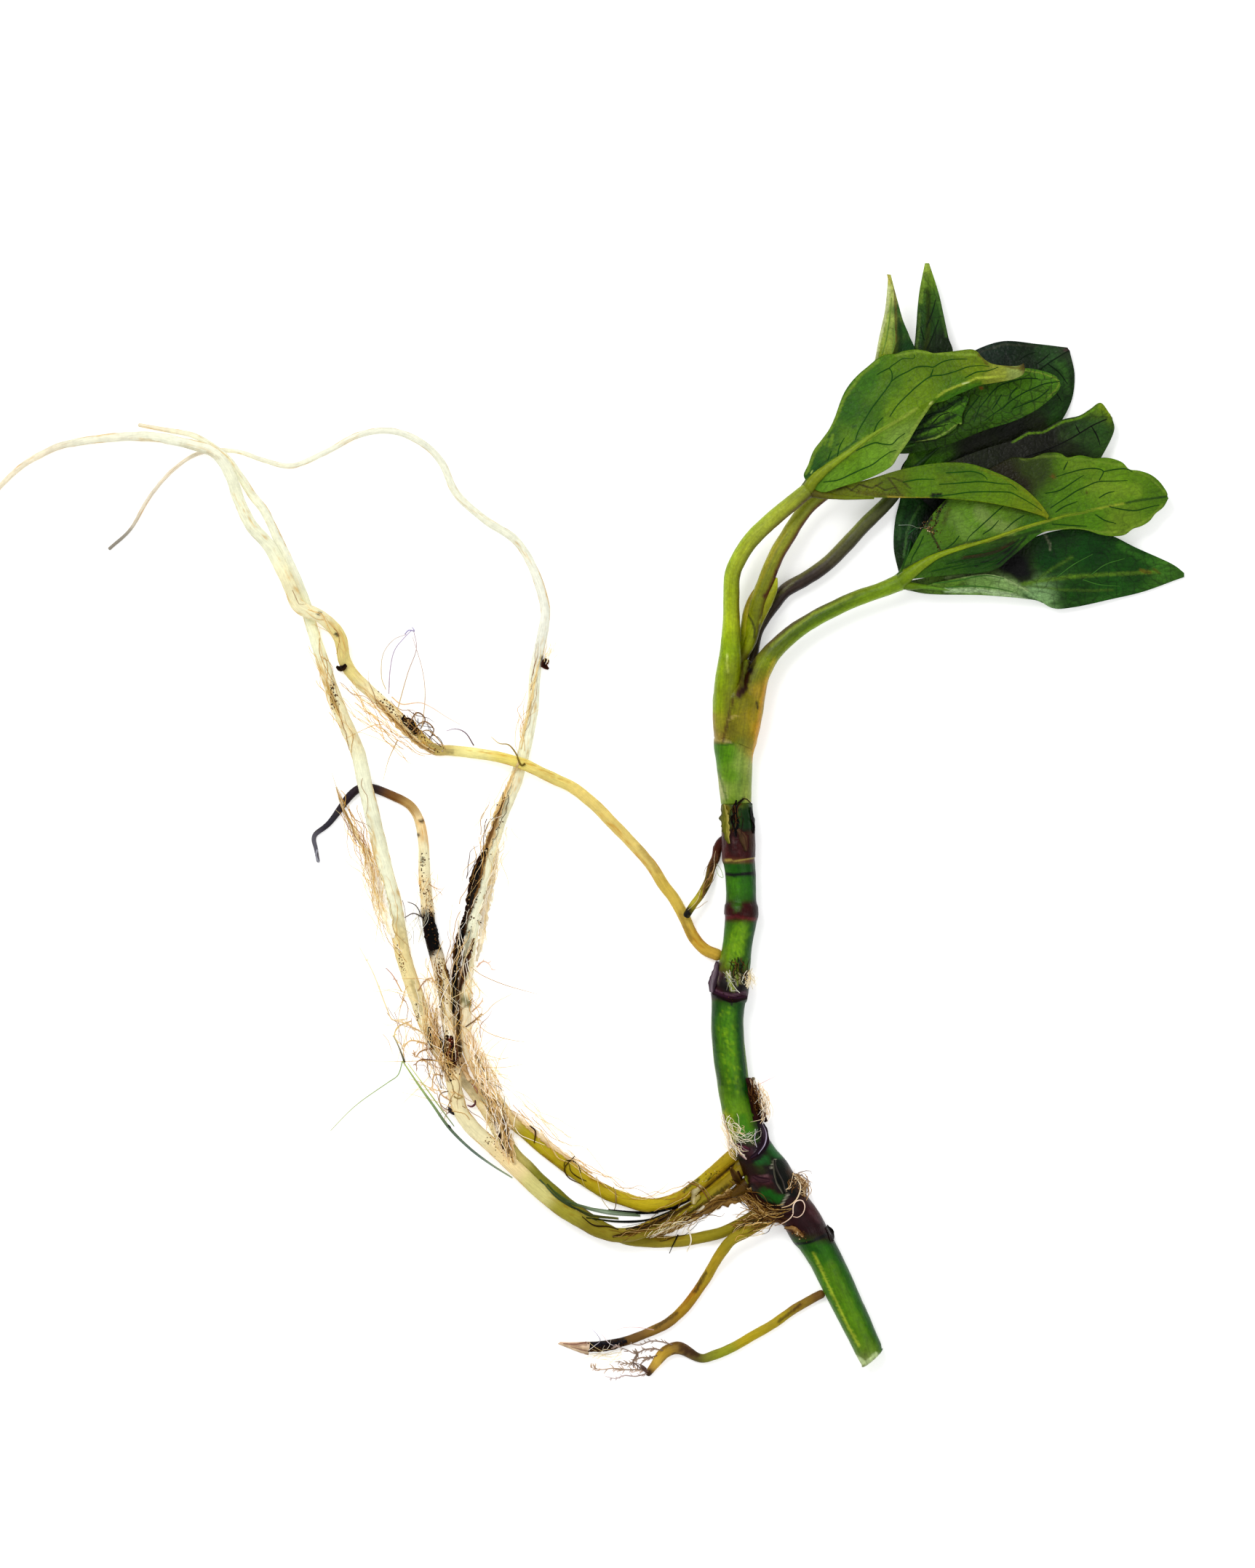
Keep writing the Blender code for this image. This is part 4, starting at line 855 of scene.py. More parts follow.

# %% [markdown]
# ## The fourth leaf
# Its first leaflet is the largest of all, bright green with a painted sheen on the left, a painted shadow at
# its upper left, painted rims of light along its margins, and dark brown wrinkles below the midrib. The second
# lies on the table, nearly black, in part from a painted shadow beside the first leaflet's edge, with one half
# folded back over it and showing its pale underside. The third is narrow and dark, half hidden under the
# others.

# %% Leaflets of the fourth leaf
LEAFLET_D1 = {
    "midrib": [(1243, 793, 8.8), (1273, 772, 9.8), (1300, 761, 10.3), (1354, 745, 10.6), (1388, 732, 10.6),
               (1439, 717, 10.3), (1489, 705, 9.5), (1543, 695, 8.4), (1604, 682, 6.2)],
    "left": rise([(1241, 789), (1250, 765), (1276, 718), (1302, 688), (1334, 659), (1361, 647), (1388, 633),
                  (1401, 632), (1417, 633), (1432, 627), (1447, 625), (1459, 627), (1467, 632), (1485, 629),
                  (1503, 633), (1518, 632), (1531, 634), (1543, 639), (1552, 648), (1566, 650), (1581, 655),
                  (1593, 664), (1602, 676), (1605, 682)],
                 [8.8, 9.2, 9.5, 9.5, 9.4, 9.2, 9.1, 9.0, 8.6, 8.0, 7.2, 6.4, 6.2]),
    "right": rise([(1246, 795), (1282, 791), (1318, 787), (1343, 786), (1369, 780), (1386, 766), (1397, 757),
                   (1415, 741), (1432, 730), (1447, 727), (1474, 725), (1493, 727), (1512, 733), (1531, 735),
                   (1545, 733), (1556, 725), (1568, 721), (1579, 714), (1587, 704), (1598, 695), (1605, 683)],
                  [8.8, 9.0, 9.2, 9.2, 9.4, 9.3, 8.8, 8.0, 7.0, 6.3, 6.1]),
    "ground": [
        ("557b17", 1480, 650), ("64891e", 1520, 680), ("5d841a", 1560, 670), ("4f7617", 1590, 680),
        ("517917", 1460, 690), ("497114", 1440, 700), ("608924", 1330, 720), ("4f741a", 1300, 730),
        # The three near-black swatches at the upper left are painted shadow
        ("446d17", 1270, 750), ("262316", 1380, 655), ("2d2d1a", 1400, 670), ("33411a", 1420, 650),
        ("284c10", 1340, 770), ("33580f", 1300, 775), ("223c10", 1380, 762), ("386412", 1420, 735),
        ("698821", 1540, 720), ("4f7b17", 1500, 715), ("5b801f", 1380, 715),
    ],
    "strokes": [
        # Painted shadow at the upper left
        ("262316", 0.7, 13, [(1366, 652), (1388, 660), (1404, 672)]),
        ("2d3319", 0.6, 10, [(1350, 668), (1372, 684), (1400, 690)]),
        # Painted sheen on the left
        ("879c53", 0.5, 9, [(1345, 704), (1362, 720), (1388, 728)]),
        ("718f40", 0.4, 10, [(1312, 712), (1330, 734)]),
        ("819c2c", 0.4, 9, [(1500, 668), (1530, 672), (1560, 676)]),
        ("769227", 0.4, 8, [(1470, 640), (1500, 644)]),
        ("20140a", 0.9, 1.5, [(1300, 690), (1291, 702), (1287, 714)]),
        ("3a2810", 0.9, 1.2, [(1290, 716), (1282, 726)]),
        ("1c120a", 0.95, 2.0, [(1280, 712), (1273, 722), (1277, 730)]),
        ("2a1b0c", 0.9, 1.3, [(1279, 734), (1286, 744), (1291, 757)]),
        ("1c120a", 0.9, 1.2, [(1266, 727), (1275, 725), (1285, 731)]),
        ("3a2c14", 0.5, 3, [(1304, 700), (1296, 720)]),
        ("2a2410", 0.8, 3, [(1392, 746), (1376, 756), (1350, 764), (1322, 770)]),
        ("14140c", 0.8, 1.6, [(1400, 742), (1384, 758), (1366, 768), (1340, 778)]),
        ("3a2c14", 0.8, 1.4, [(1384, 752), (1360, 758), (1339, 764), (1324, 766)]),
        ("14140c", 0.8, 1.4, [(1410, 738), (1398, 752), (1386, 764), (1370, 776)]),
        ("22410a", 0.6, 3, [(1300, 772), (1340, 772), (1376, 764)]), ("604114", 0.9, 3, [(1447, 656)]),
        ("3e240d", 0.8, 2, [(1493, 678)]),
        ("1f330a", 0.7, 2.2, [(1241, 782), (1262, 773), (1283, 764), (1299, 757), (1318, 750), (1339, 744),
                              (1355, 743), (1395, 739), (1428, 730)]),
        ("98a024", 0.9, 1.8, [(1242, 786), (1255, 778), (1276, 767), (1299, 761), (1321, 752), (1341, 748)]),
        ("94a030", 0.8, 1.4, [(1341, 748), (1360, 744), (1388, 733), (1416, 724), (1439, 717), (1462, 710),
                               (1489, 705), (1512, 699), (1543, 693)]),
        ("1f3c0a", 0.8, 1.6, [(1547, 692), (1566, 688), (1589, 685), (1603, 683)]),
        # Painted light: rims of light along both margins
        ("7f9a34", 0.4, 1.4, [(1401, 633), (1432, 628), (1459, 628), (1503, 634), (1543, 641), (1581, 657),
                            (1603, 680)]),
        ("8aa03a", 0.4, 1.4, [(1598, 694), (1579, 713), (1545, 732), (1512, 732), (1474, 726), (1432, 731)]),
    ],
    "veins": {
        "hex": "1f4410",
        "lines": [
            [(1443, 699), (1455, 691), (1466, 684), (1478, 676), (1493, 669), (1508, 663), (1531, 662),
             (1556, 661), (1579, 664), (1596, 670)],
            [(1510, 661), (1516, 649), (1508, 645), (1493, 645), (1474, 649), (1451, 656)],
            [(1516, 649), (1531, 646), (1547, 645), (1556, 649)],
            [(1436, 679), (1455, 675), (1470, 666), (1482, 658), (1489, 654)],
            [(1461, 647), (1467, 635)],
            [(1524, 697), (1543, 701), (1562, 702), (1581, 697), (1598, 694)],
            [(1510, 685), (1520, 679), (1531, 676)],
            [(1505, 708), (1518, 716), (1533, 720)],
            [(1445, 721), (1474, 723), (1493, 724)],
            [(1379, 696), (1367, 706), (1355, 717), (1344, 727), (1332, 738), (1328, 745)],
            [(1407, 709), (1394, 717), (1384, 726), (1379, 730)],
            [(1269, 737), (1262, 752), (1254, 766), (1251, 775)],
            [(1318, 737), (1310, 747), (1299, 755)],
            [(1300, 776), (1330, 770), (1360, 766), (1388, 752), (1410, 738)],
            [(1310, 783), (1340, 777), (1372, 770), (1396, 752)], [(1326, 764), (1352, 760), (1376, 754)],
            [(1280, 786), (1306, 780), (1326, 776)], [(1350, 782), (1370, 774), (1384, 762)],
            [(1450, 705), (1462, 697), (1480, 690)], [(1350, 735), (1362, 727), (1372, 716)],
        ],
    },
}

LEAFLET_D2 = {
    "midrib": [(1244, 805, 7.0), (1280, 803, 6.0), (1330, 801, 5.2), (1407, 803, 4.6), (1488, 796, 3.6),
               (1560, 790, 2.2), (1628, 790, 1.0)],
    "left": [(1247, 802, 7.0), (1282, 794, 5.8), (1325, 778, 5.2), (1380, 762, 5.0), (1425, 740, 5.0),
             (1470, 730, 4.8), (1520, 736, 4.2), (1563, 756, 3.0), (1610, 777, 1.6), (1628, 790, 1.0)],
    "right": [(1246, 807, 7.2), (1270, 803, 7.4), (1300, 796, 7.6), (1354, 787, 7.7), (1391, 797, 7.2),
              (1418, 814, 5.6), (1445, 833, 3.4), (1477, 832, 2.4), (1528, 821, 1.6), (1574, 810, 1.0),
              (1628, 790, 0.8)],
    "right_fold": [(1246, 812, 6.6), (1275, 828, 5.0), (1325, 836, 4.6), (1370, 838, 4.6), (1405, 836, 4.6),
                   (1440, 828, 4.0), (1485, 816, 3.2), (1560, 802, 1.9), (1628, 791, 1.0)],
    "ground": [
        ("5a7c2c", 1280, 804), ("56792a", 1310, 802), ("749a4c", 1345, 803), ("86aa62", 1385, 811),
        ("7ea468", 1420, 822), ("183b14", 1440, 770), ("1a4014", 1500, 760), ("1f4618", 1560, 776),
        # The two near-black swatches by the first leaflet's edge are painted shadow
        ("3c6822", 1604, 787), ("214716", 1480, 815), ("24511a", 1530, 808), ("14160e", 1400, 780),
        ("16150c", 1385, 765), ("1b3916", 1450, 745), ("475f24", 1262, 806),
    ],
    "strokes": [
        # Painted shadow beside the first leaflet's edge
        ("110f09", 0.85, 12, [(1376, 772), (1396, 784), (1408, 792)]),
        ("a8c080", 0.6, 2, [(1300, 795), (1346, 789), (1380, 795), (1412, 812)]),
        ("b0cc96", 0.8, 3, [(1300, 812), (1345, 812), (1388, 818), (1420, 830)]),
        ("5a7d22", 0.8, 2.6, [(1405, 804), (1433, 798), (1473, 793), (1515, 790), (1557, 788), (1590, 786)]),
        ("4d6e22", 0.6, 1.8, [(1416, 805), (1459, 811), (1501, 812), (1529, 811)]),
        ("4d6e22", 0.6, 1.8, [(1422, 799), (1445, 783), (1473, 766)]),
        ("6a5c1c", 0.7, 2.4, [(1568, 784), (1580, 787)]), ("4a4818", 0.7, 1.6, [(1586, 782), (1594, 788)]),
        ("3a6e22", 0.5, 5, [(1540, 750), (1570, 768), (1600, 780)]),
        ("345f22", 0.5, 3, [(1446, 830), (1480, 828), (1530, 819), (1574, 808)]),
        ("8a8c70", 0.5, 1.4, [(1436, 735), (1443, 748), (1443, 756)]),
        ("27481a", 0.6, 2.5, [(1406, 818), (1430, 830)]),
    ],
    "veins": {
        "hex": "3f6f2a",
        "lines": [
            [(1276, 803), (1318, 798), (1341, 793), (1360, 792), (1380, 796)],
            [(1300, 808), (1330, 806), (1362, 808), (1392, 814)],
            [(1500, 790), (1520, 776), (1546, 768)],
            [(1452, 794), (1476, 776), (1502, 762)],
            [(1488, 797), (1512, 804), (1540, 806)],
        ],
    },
}

LEAFLET_D3 = {
    "midrib": [(1240, 791, 6.0), (1250, 755, 3.4), (1256, 715, 2.0), (1256, 670, 1.5), (1254, 625, 1.0)],
    "left": [(1238, 790, 5.8), (1231, 755, 2.8), (1233, 716, 1.2), (1241, 680, 0.8), (1241, 645, 0.6),
             (1254, 625, 0.8)],
    "right": [(1243, 790, 5.8), (1278, 758, 3.0), (1292, 716, 1.4), (1288, 675, 0.9), (1274, 640, 0.6),
              (1254, 625, 0.8)],
    "ground": [
        ("1d441c", 1246, 720), ("244c20", 1242, 700), ("1a3518", 1256, 745), ("16160c", 1280, 720),
        ("18210c", 1270, 750), ("24441c", 1250, 660), ("213516", 1240, 775),
    ],
    "strokes": [
        ("477134", 0.8, 1.8, [(1264, 696), (1258, 707), (1251, 719), (1247, 731), (1244, 752), (1242, 766)]),
        ("3a622e", 0.6, 3, [(1236, 740), (1236, 716), (1243, 690)]),
    ],
    "veins": {"hex": "2f6a34", "lines": [[(1248, 735), (1256, 728), (1264, 724)]]},
}

# %% All twelve leaflets
LEAFLETS = {  # shape and colours, skin, seed of the puckers
    "leaflet_a1": (LEAFLET_A1, leaf_skin, 1.0),
    "leaflet_a2": (LEAFLET_A2, leaf_skin, 2.0),
    "leaflet_a3": (LEAFLET_A3, leaf_skin, 3.0),
    "leaflet_b1": (LEAFLET_B1, dark_leaf_skin, 4.0),
    "leaflet_b2": (LEAFLET_B2, netted_leaf_skin, 5.0),
    "leaflet_b3": (LEAFLET_B3, netted_leaf_skin, 6.0),
    "leaflet_c1": (LEAFLET_C1, dark_leaf_skin, 7.0),
    "leaflet_c2": (LEAFLET_C2, dark_leaf_skin, 8.0),
    "leaflet_c3": (LEAFLET_C3, dark_leaf_skin, 9.0),
    "leaflet_d1": (LEAFLET_D1, leaf_skin, 10.0),
    "leaflet_d2": (LEAFLET_D2, dark_leaf_skin, 11.0),
    "leaflet_d3": (LEAFLET_D3, dark_leaf_skin, 12.0),
}

leaf_pieces = {}
for name, (blade, finish, seed) in LEAFLETS.items():
    piece = leaflet(name + "_blade", blade, finish, seed)
    hand_over(piece, "leaf", name)
    leaf_pieces[name] = piece

# %% [markdown]
# ## Stems, stalks and roots
# All of these are fleshy round rods that swell and shrink along their way. A bevelled curve would give an
# even rod, so each one is a mesh of rings instead, with its own width and height at each ring and a slightly
# lumpy surface. The underside is flattened where it rests on the table. The ends are closed by a few
# shrinking rings. Each point knows how far along and how far to the left or right it lies, for painting.


# %% A lumpy closed rod
END_RINGS = ((0.93, 0.4), (0.7, 0.8), (0.3, 1.0))  # size and reach of the shrinking rings that close an end
SLANTED_RINGS = 6


class Rod:
    """A rod's points and faces, and each point's pixel, share along, side from -1 to 1, and skin place."""

    def __init__(self, centres, widths, heights, sides, lump, cells, seed, blunt, start=None):
        """Rings around the centres, in metres.

        lump and cells: how far the surface swells, as a share of the radius, and how many lumps to a metre.
        blunt: how far the closed ends reach, in widths. start: the direction of a slanted cut at the start.
        """
        ahead = np.gradient(centres, axis=0)
        across = np.stack([ahead[:, 1], -ahead[:, 0], np.zeros(len(ahead))], 1)
        across /= np.linalg.norm(across, axis=1)[:, None]
        if start is not None:
            # The first rings lean towards the slant of a cut
            for i in range(SLANTED_RINGS):
                lean = start / max(start @ across[0], 0.5)
                across[i] = lean + (across[i] - lean) * (i / SLANTED_RINGS)
        turns = -math.pi / 2 + 2 * math.pi * (np.arange(sides) + 0.5) / sides
        run = run_along(centres)
        shares = run / run[-1]
        rings, along, side, skin_uv = [], [], [], []
        forward = ahead / np.linalg.norm(ahead, axis=1)[:, None]

        def ring(i, size, push):
            """One ring around centre i, with a share of its size, pushed forward in metres."""
            middle = centres[i] + forward[i] * push
            out = across[i] * (np.cos(turns) * widths[i] / 2 * size)[:, None]
            up = np.array([0, 0, 1.0]) * (np.sin(turns) * heights[i] / 2 * size)[:, None]
            rings.append(middle + out + up)
            along.append(np.full(sides, shares[i]))
            side.append(np.cos(turns))
            skin_uv.append(np.stack([turns / (2 * math.pi) * math.pi * widths[i] * TO_MM,
                                     np.full(sides, (run[i] + push) * TO_MM)], 1))

        for size, reach in reversed(END_RINGS):
            ring(0, size, -reach * widths[0] * blunt)
        for i in range(len(centres)):
            ring(i, 1.0, 0.0)
        for size, reach in END_RINGS:
            ring(len(centres) - 1, size, reach * widths[-1] * blunt)
        self.points = np.concatenate(rings)
        self.along = np.concatenate(along)
        self.side = np.concatenate(side)
        self.uv = np.concatenate(skin_uv)
        middles = np.repeat(np.stack([r.mean(0) for r in rings]), sides, 0)
        for k, point in enumerate(self.points):
            where = Vector(point) * cells + Vector((seed, seed, seed))
            self.points[k] = middles[k] + (point - middles[k]) * (1 + lump * rough(where, 0.4, 3.1))
        self.points[:, 2] = np.maximum(self.points[:, 2], 0.0)
        self.faces = []
        for i in range(len(rings) - 1):
            for k in range(sides):
                after = (k + 1) % sides
                low, high = i * sides, (i + 1) * sides
                self.faces.append((low + k, high + k, high + after, low + after))
        self.faces.append(tuple(range(sides)))
        self.faces.append(tuple(range(len(self.points) - 1, len(self.points) - 1 - sides, -1)))
        self.spots = pixels(self.points)


# %% Bands of colour along and across a rod
MIDDLE_REACH = 0.25  # the share of a rod's half width that shows the middle colour only
EDGE_BLEND = 0.65


def bands(rod, rows, along):
    """Colours between rows (place, left colour, middle colour, right colour) and across the rod."""
    rows = sorted(rows)
    stops = np.array([row[0] for row in rows], float)
    colours = np.array([[linear(hexed) for hexed in row[1:]] for row in rows])
    mixed = np.stack([[np.interp(along, stops, colours[:, c, k]) for k in range(3)] for c in range(3)])
    left, middle, right = (mixed[c].T for c in range(3))
    # The left and right colours hold the rod's own colours and also painted shade down its round sides
    share = rod.side[:, None]
    edge = np.where(share < 0, left, right)
    weight = np.clip((np.abs(share) - MIDDLE_REACH) / EDGE_BLEND, 0, 1) ** 1.3
    return middle * (1 - weight) + edge * weight


# %% [markdown]
# ## The rhizome
# The rhizome is the plant's creeping stem, 9 mm thick. Dark maroon rings mark the nodes where old leaves
# stood. Between them the skin is smooth and green, with a lime wrinkled streak where the light table shines
# through. Its lower end is a slanted cut, and its top carries the folded sheath of the crown.

# %% The rhizome's path and colours
STEM_STATIONS = [
    (1199, 1867, 7.4), (1186, 1839, 7.9), (1162, 1788, 8.5), (1138, 1738, 9.0), (1121, 1708, 9.5),
    (1111, 1693, 10.4), (1101, 1676, 10.3), (1089, 1660, 10.4), (1068, 1633, 12.4), (1053, 1611, 12.4),
    (1041, 1590, 10.8), (1029, 1566, 9.8), (1018, 1540, 9.2), (1011, 1510, 8.7), (1008, 1490, 8.7),
    (1003, 1455, 8.9), (1000, 1410, 8.9), (1001, 1380, 9.1), (1002, 1371, 9.9), (1004, 1354, 10.3),
    (1007, 1338, 9.6), (1010, 1325, 8.6), (1014, 1296, 8.3), (1018, 1266, 8.8), (1019, 1258, 9.5),
    (1019, 1246, 9.3), (1019, 1238, 8.5), (1018, 1205, 8.3), (1016, 1186, 8.7), (1015, 1178, 9.3),
    (1015, 1150, 9.1), (1014, 1130, 8.9), (1013, 1107, 8.6),
]
CUT_ACROSS = np.array([26, 23, 0.0]) / math.hypot(26, 23)  # the direction of the slanted cut
STEM_FLATNESS = 0.96
HIGHEST_STEM = 10.4  # mm; where the stem is wider than this, it is no higher
STEM_SIDES = 48
STEM_STEP = 0.4  # mm between two rings
CAD_STEM_SIDES = 12  # the CAD model's rods have fewer sides, and rest on one of them

# The darker sides in these bands, mostly the right one, are partly painted shade on the round stem
STEM_BANDS = [  # place along the photo's height, then the left side, the middle and the right side
    (1104, "3a490f", "4b5411", "203d0f"), (1118, "6f6019", "2d490f", "17320f"),
    (1136, "615419", "243d0f", "17320f"),
    (1144, "3a1b12", "3a0f12", "2d0b12"), (1178, "471518", "3a0f12", "310c13"),
    (1184, "613d2f", "6f492f", "471b19"),
    (1189, "235411", "235411", "173d11"), (1199, "2d6013", "245411", "174111"),
    (1202, "14260a", "0f1f07", "0e1907"),
    (1206, "3a6c13", "2d6111", "174611"), (1225, "3a6c19", "31670e", "174911"),
    (1236, "3e6019", "2d590c", "14320f"),
    (1243, "310f15", "3a1b12", "250b12"), (1258, "471b20", "3a0f16", "280b15"),
    (1264, "3a1b15", "47320f", "2d1612"),
    (1270, "316011", "477011", "143d11"), (1296, "47700f", "638a11", "174611"),
    (1318, "637e0f", "6a8d0f", "205413"),
    (1330, "545411", "54600f", "316015"), (1340, "3a1b15", "2d160c", "473219"),
    (1352, "3a1319", "200b0c", "280d12"),
    (1364, "471920", "270c12", "200b12"), (1371, "3a1b15", "28130e", "1b0c0e"),
    (1378, "2d540e", "2d540c", "173d0c"),
    (1400, "24590c", "3e6c0e", "17490e"), (1420, "37640f", "4b7a0e", "144412"),
    (1455, "31600f", "4e7a0c", "0a3d11"),
    (1490, "4f730f", "44700c", "0f3c0f"), (1510, "547313", "54810f", "143d0f"),
    (1532, "477311", "638a11", "133d11"),
    (1556, "31600f", "3a6c0e", "14320f"), (1572, "20260c", "24360c", "141b0c"),
    (1590, "220f0e", "20160c", "1b0f0f"),
    (1610, "1b0f0c", "20100c", "473224"), (1632, "20120c", "2d1b0e", "3a2618"),
    (1655, "280f11", "281011", "3a1b16"),
    (1672, "2e0f15", "311016", "3a1518"), (1690, "3a1319", "2e0f15", "280c12"),
    (1702, "2d3d0f", "2d320f", "201b0f"),
    (1712, "31600f", "2d600e", "173d0f"), (1740, "477613", "3a6d0f", "134011"),
    (1790, "447312", "47790f", "0f3c11"),
    (1830, "4b7415", "4f7e11", "144311"), (1856, "547924", "618124", "2d5419"),
    (1875, "7c8a46", "859051", "61773a"),
]

STEM_STROKES = [
    # Painted shade down the right side
    ("0f3c0c", 0.8, 6, [(1019, 1386), (1018, 1420), (1021, 1456), (1028, 1500)]),
    ("144010", 0.7, 5, [(1031, 1276), (1027, 1300), (1022, 1322)]),
    ("56900f", 0.5, 6, [(1000, 1392), (1002, 1420), (1004, 1450), (1006, 1484)]),
    ("6fa010", 0.6, 8, [(1020, 1276), (1014, 1300), (1008, 1326)]),
    ("3f7a0c", 0.5, 7, [(994, 1276), (992, 1300)]), ("8a9a1c", 0.6, 3, [(985, 1290), (989, 1314)]),
    ("4b8711", 0.45, 6, [(1010, 1212), (1012, 1230)]),
    ("638a11", 0.5, 8, [(1140, 1742), (1160, 1785), (1182, 1830)]),
    # Painted shade down the left side, and painted rims of light along both edges
    ("0a320f", 0.45, 4, [(981, 1385), (980, 1410), (983, 1450), (990, 1490)]),
    ("7fa02a", 0.7, 1.6, [(976, 1380), (976, 1420), (980, 1460), (986, 1500), (992, 1535)]),
    ("7c9a3a", 0.5, 1.6, [(1023, 1400), (1024, 1440), (1029, 1490)]),
    ("b4c43a", 0.7, 1.8, [(1118, 1722), (1138, 1766), (1162, 1816), (1180, 1850)]),
    ("2f6412", 0.5, 7, [(1161, 1740), (1184, 1790), (1206, 1838)]),
    # The torn collar of the upper node
    ("35222a", 0.9, 6, [(984, 1326), (982, 1340), (979, 1354)]),
    ("6a5660", 0.8, 3.4, [(987, 1338), (984, 1352)]),
    ("c8b8a0", 0.8, 1.1, [(986, 1338), (986, 1354)]),
    ("1c0e12", 0.95, 8, [(992, 1352), (1006, 1358), (1020, 1356)]),
    ("1c2a10", 0.9, 3.2, [(1016, 1320), (1018, 1334), (1020, 1350)]),
    ("6a8a14", 0.9, 2, [(1012, 1334), (1013, 1346)]),
    ("263a10", 0.8, 2, [(1008, 1328), (1007, 1344)]),
    ("8c9a30", 0.9, 3, [(1000, 1338), (1003, 1352), (1007, 1360)]),
    ("c4c48c", 0.9, 1.1, [(1001, 1340), (1004, 1354), (1007, 1361)]),
    ("c4c48c", 0.8, 1.0, [(1010, 1342), (1012, 1354)]), ("b0a478", 0.8, 1.2, [(1016, 1338), (1017, 1352)]),
    ("3a1c2a", 0.95, 4.4, [(978, 1364), (992, 1369), (1006, 1373), (1027, 1369)]),
    # Painted sheen: a thin lilac line along the dark collar
    ("6a4a5c", 0.6, 1.2, [(980, 1360), (993, 1365), (1006, 1368), (1024, 1364)]),
    ("140a0e", 0.95, 1.4, [(978, 1369), (992, 1373), (1006, 1377), (1027, 1373)]),
    ("140a0e", 0.95, 2.2, [(1006, 1376), (1006, 1381)]), ("1f4a10", 0.7, 4, [(985, 1379), (987, 1392)]),
    # The node below the crown and the one under it
    ("7a6a1c", 0.8, 6, [(995, 1112), (994, 1140)]), ("16300e", 0.8, 6, [(1024, 1116), (1026, 1138)]),
    ("0c0a08", 0.95, 1.8, [(1012, 1106), (1010, 1122), (1014, 1138), (1010, 1150)]),
    ("0c0a08", 0.9, 1.2, [(1018, 1112), (1008, 1118), (1004, 1132)]),
    ("1c2210", 0.9, 1.4, [(1022, 1142), (1030, 1140), (1036, 1141)]),
    ("3c2a1c", 0.8, 7, [(1030, 1152), (1029, 1166)]), ("6a5a44", 0.6, 1.2, [(1024, 1148), (1025, 1160)]),
    ("2a0e12", 0.8, 7, [(1002, 1150), (1006, 1166)]), ("5a3434", 0.6, 1.2, [(1008, 1152), (1009, 1170)]),
    ("5a3434", 0.5, 1.2, [(1018, 1154), (1017, 1174)]), ("5a3434", 0.5, 1.2, [(998, 1154), (999, 1172)]),
    ("b09a4a", 0.9, 1.0, [(992, 1182), (1012, 1184), (1037, 1180)]),
    ("6f262f", 0.6, 2, [(998, 1262), (1012, 1260), (1038, 1264)]),
    ("31640f", 0.8, 6, [(1014, 1238), (1013, 1247)]),
    ("0b1306", 0.9, 1.8, [(990, 1196), (1000, 1202), (1009, 1204), (1021, 1202), (1037, 1199)]),
    # The fork
    ("96a024", 0.9, 7, [(996, 1534), (1002, 1552), (1007, 1566)]),
    ("3f7a1a", 0.8, 7, [(1020, 1536), (1022, 1552)]), ("3a2028", 0.95, 9, [(1018, 1578), (1030, 1582)]),
    ("8a6a70", 0.7, 1.4, [(1018, 1584), (1024, 1592)]),
    ("241a20", 0.95, 8, [(1046, 1544), (1050, 1562), (1044, 1578)]),
    # Painted sheen: lilac lines on the dark scale at the fork
    ("9a929c", 0.8, 1.2, [(1045, 1544), (1050, 1562), (1046, 1577), (1038, 1584)]),
    ("5a5060", 0.7, 2.0, [(1052, 1546), (1056, 1560), (1053, 1572)]),
    ("1f5a24", 0.95, 8, [(1064, 1578), (1072, 1594)]), ("1f5424", 0.9, 6, [(1052, 1594), (1040, 1602)]),
    ("0c0a0a", 0.95, 1.8, [(1013, 1590), (1022, 1595), (1032, 1598), (1045, 1590), (1054, 1576),
                           (1058, 1562)]),
    ("2c3414", 0.9, 6, [(1026, 1606), (1046, 1608)]), ("2a1a18", 0.9, 6, [(1022, 1616), (1030, 1620)]),
    ("171a16", 0.95, 10, [(1072, 1602), (1082, 1622), (1088, 1640)]),
    ("2a1814", 0.9, 12, [(1022, 1606), (1030, 1624), (1042, 1630)]),
    ("4a2830", 0.8, 5, [(1036, 1621), (1056, 1622)]),
    # Painted sheen along the maroon block
    ("7a565a", 0.6, 1.6, [(1038, 1619), (1054, 1616)]),
    ("281410", 0.9, 9, [(1030, 1640), (1046, 1658), (1068, 1668)]),
    ("17160f", 0.95, 6, [(1064, 1612), (1072, 1630)]),
    ("a09c88", 0.9, 1.0, [(1064, 1594), (1060, 1606), (1070, 1622), (1083, 1641), (1074, 1656)]),
    ("1c5416", 0.95, 7, [(1050, 1640), (1060, 1645), (1069, 1647)]),
    ("a8b030", 0.95, 3.2, [(1022, 1621), (1024, 1626)]),
    ("140e0c", 0.9, 4, [(1028, 1632), (1040, 1650), (1070, 1660)]),
    ("2c1a1c", 0.95, 12, [(1090, 1664), (1110, 1684), (1126, 1688)]),
    ("6a4428", 0.7, 2.2, [(1080, 1690), (1096, 1692), (1104, 1698)]),
    ("4a3034", 0.6, 2.4, [(1112, 1664), (1126, 1680)]),
    ("0c0808", 0.9, 2, [(1092, 1710), (1112, 1708), (1142, 1694)]),
    ("241a1c", 0.9, 4, [(1138, 1690), (1143, 1704)]), ("1b420a", 0.6, 4, [(1104, 1714), (1124, 1720)]),
    ("c8dc9a", 0.8, 3, [(1176, 1866), (1190, 1874), (1204, 1862)]),
]


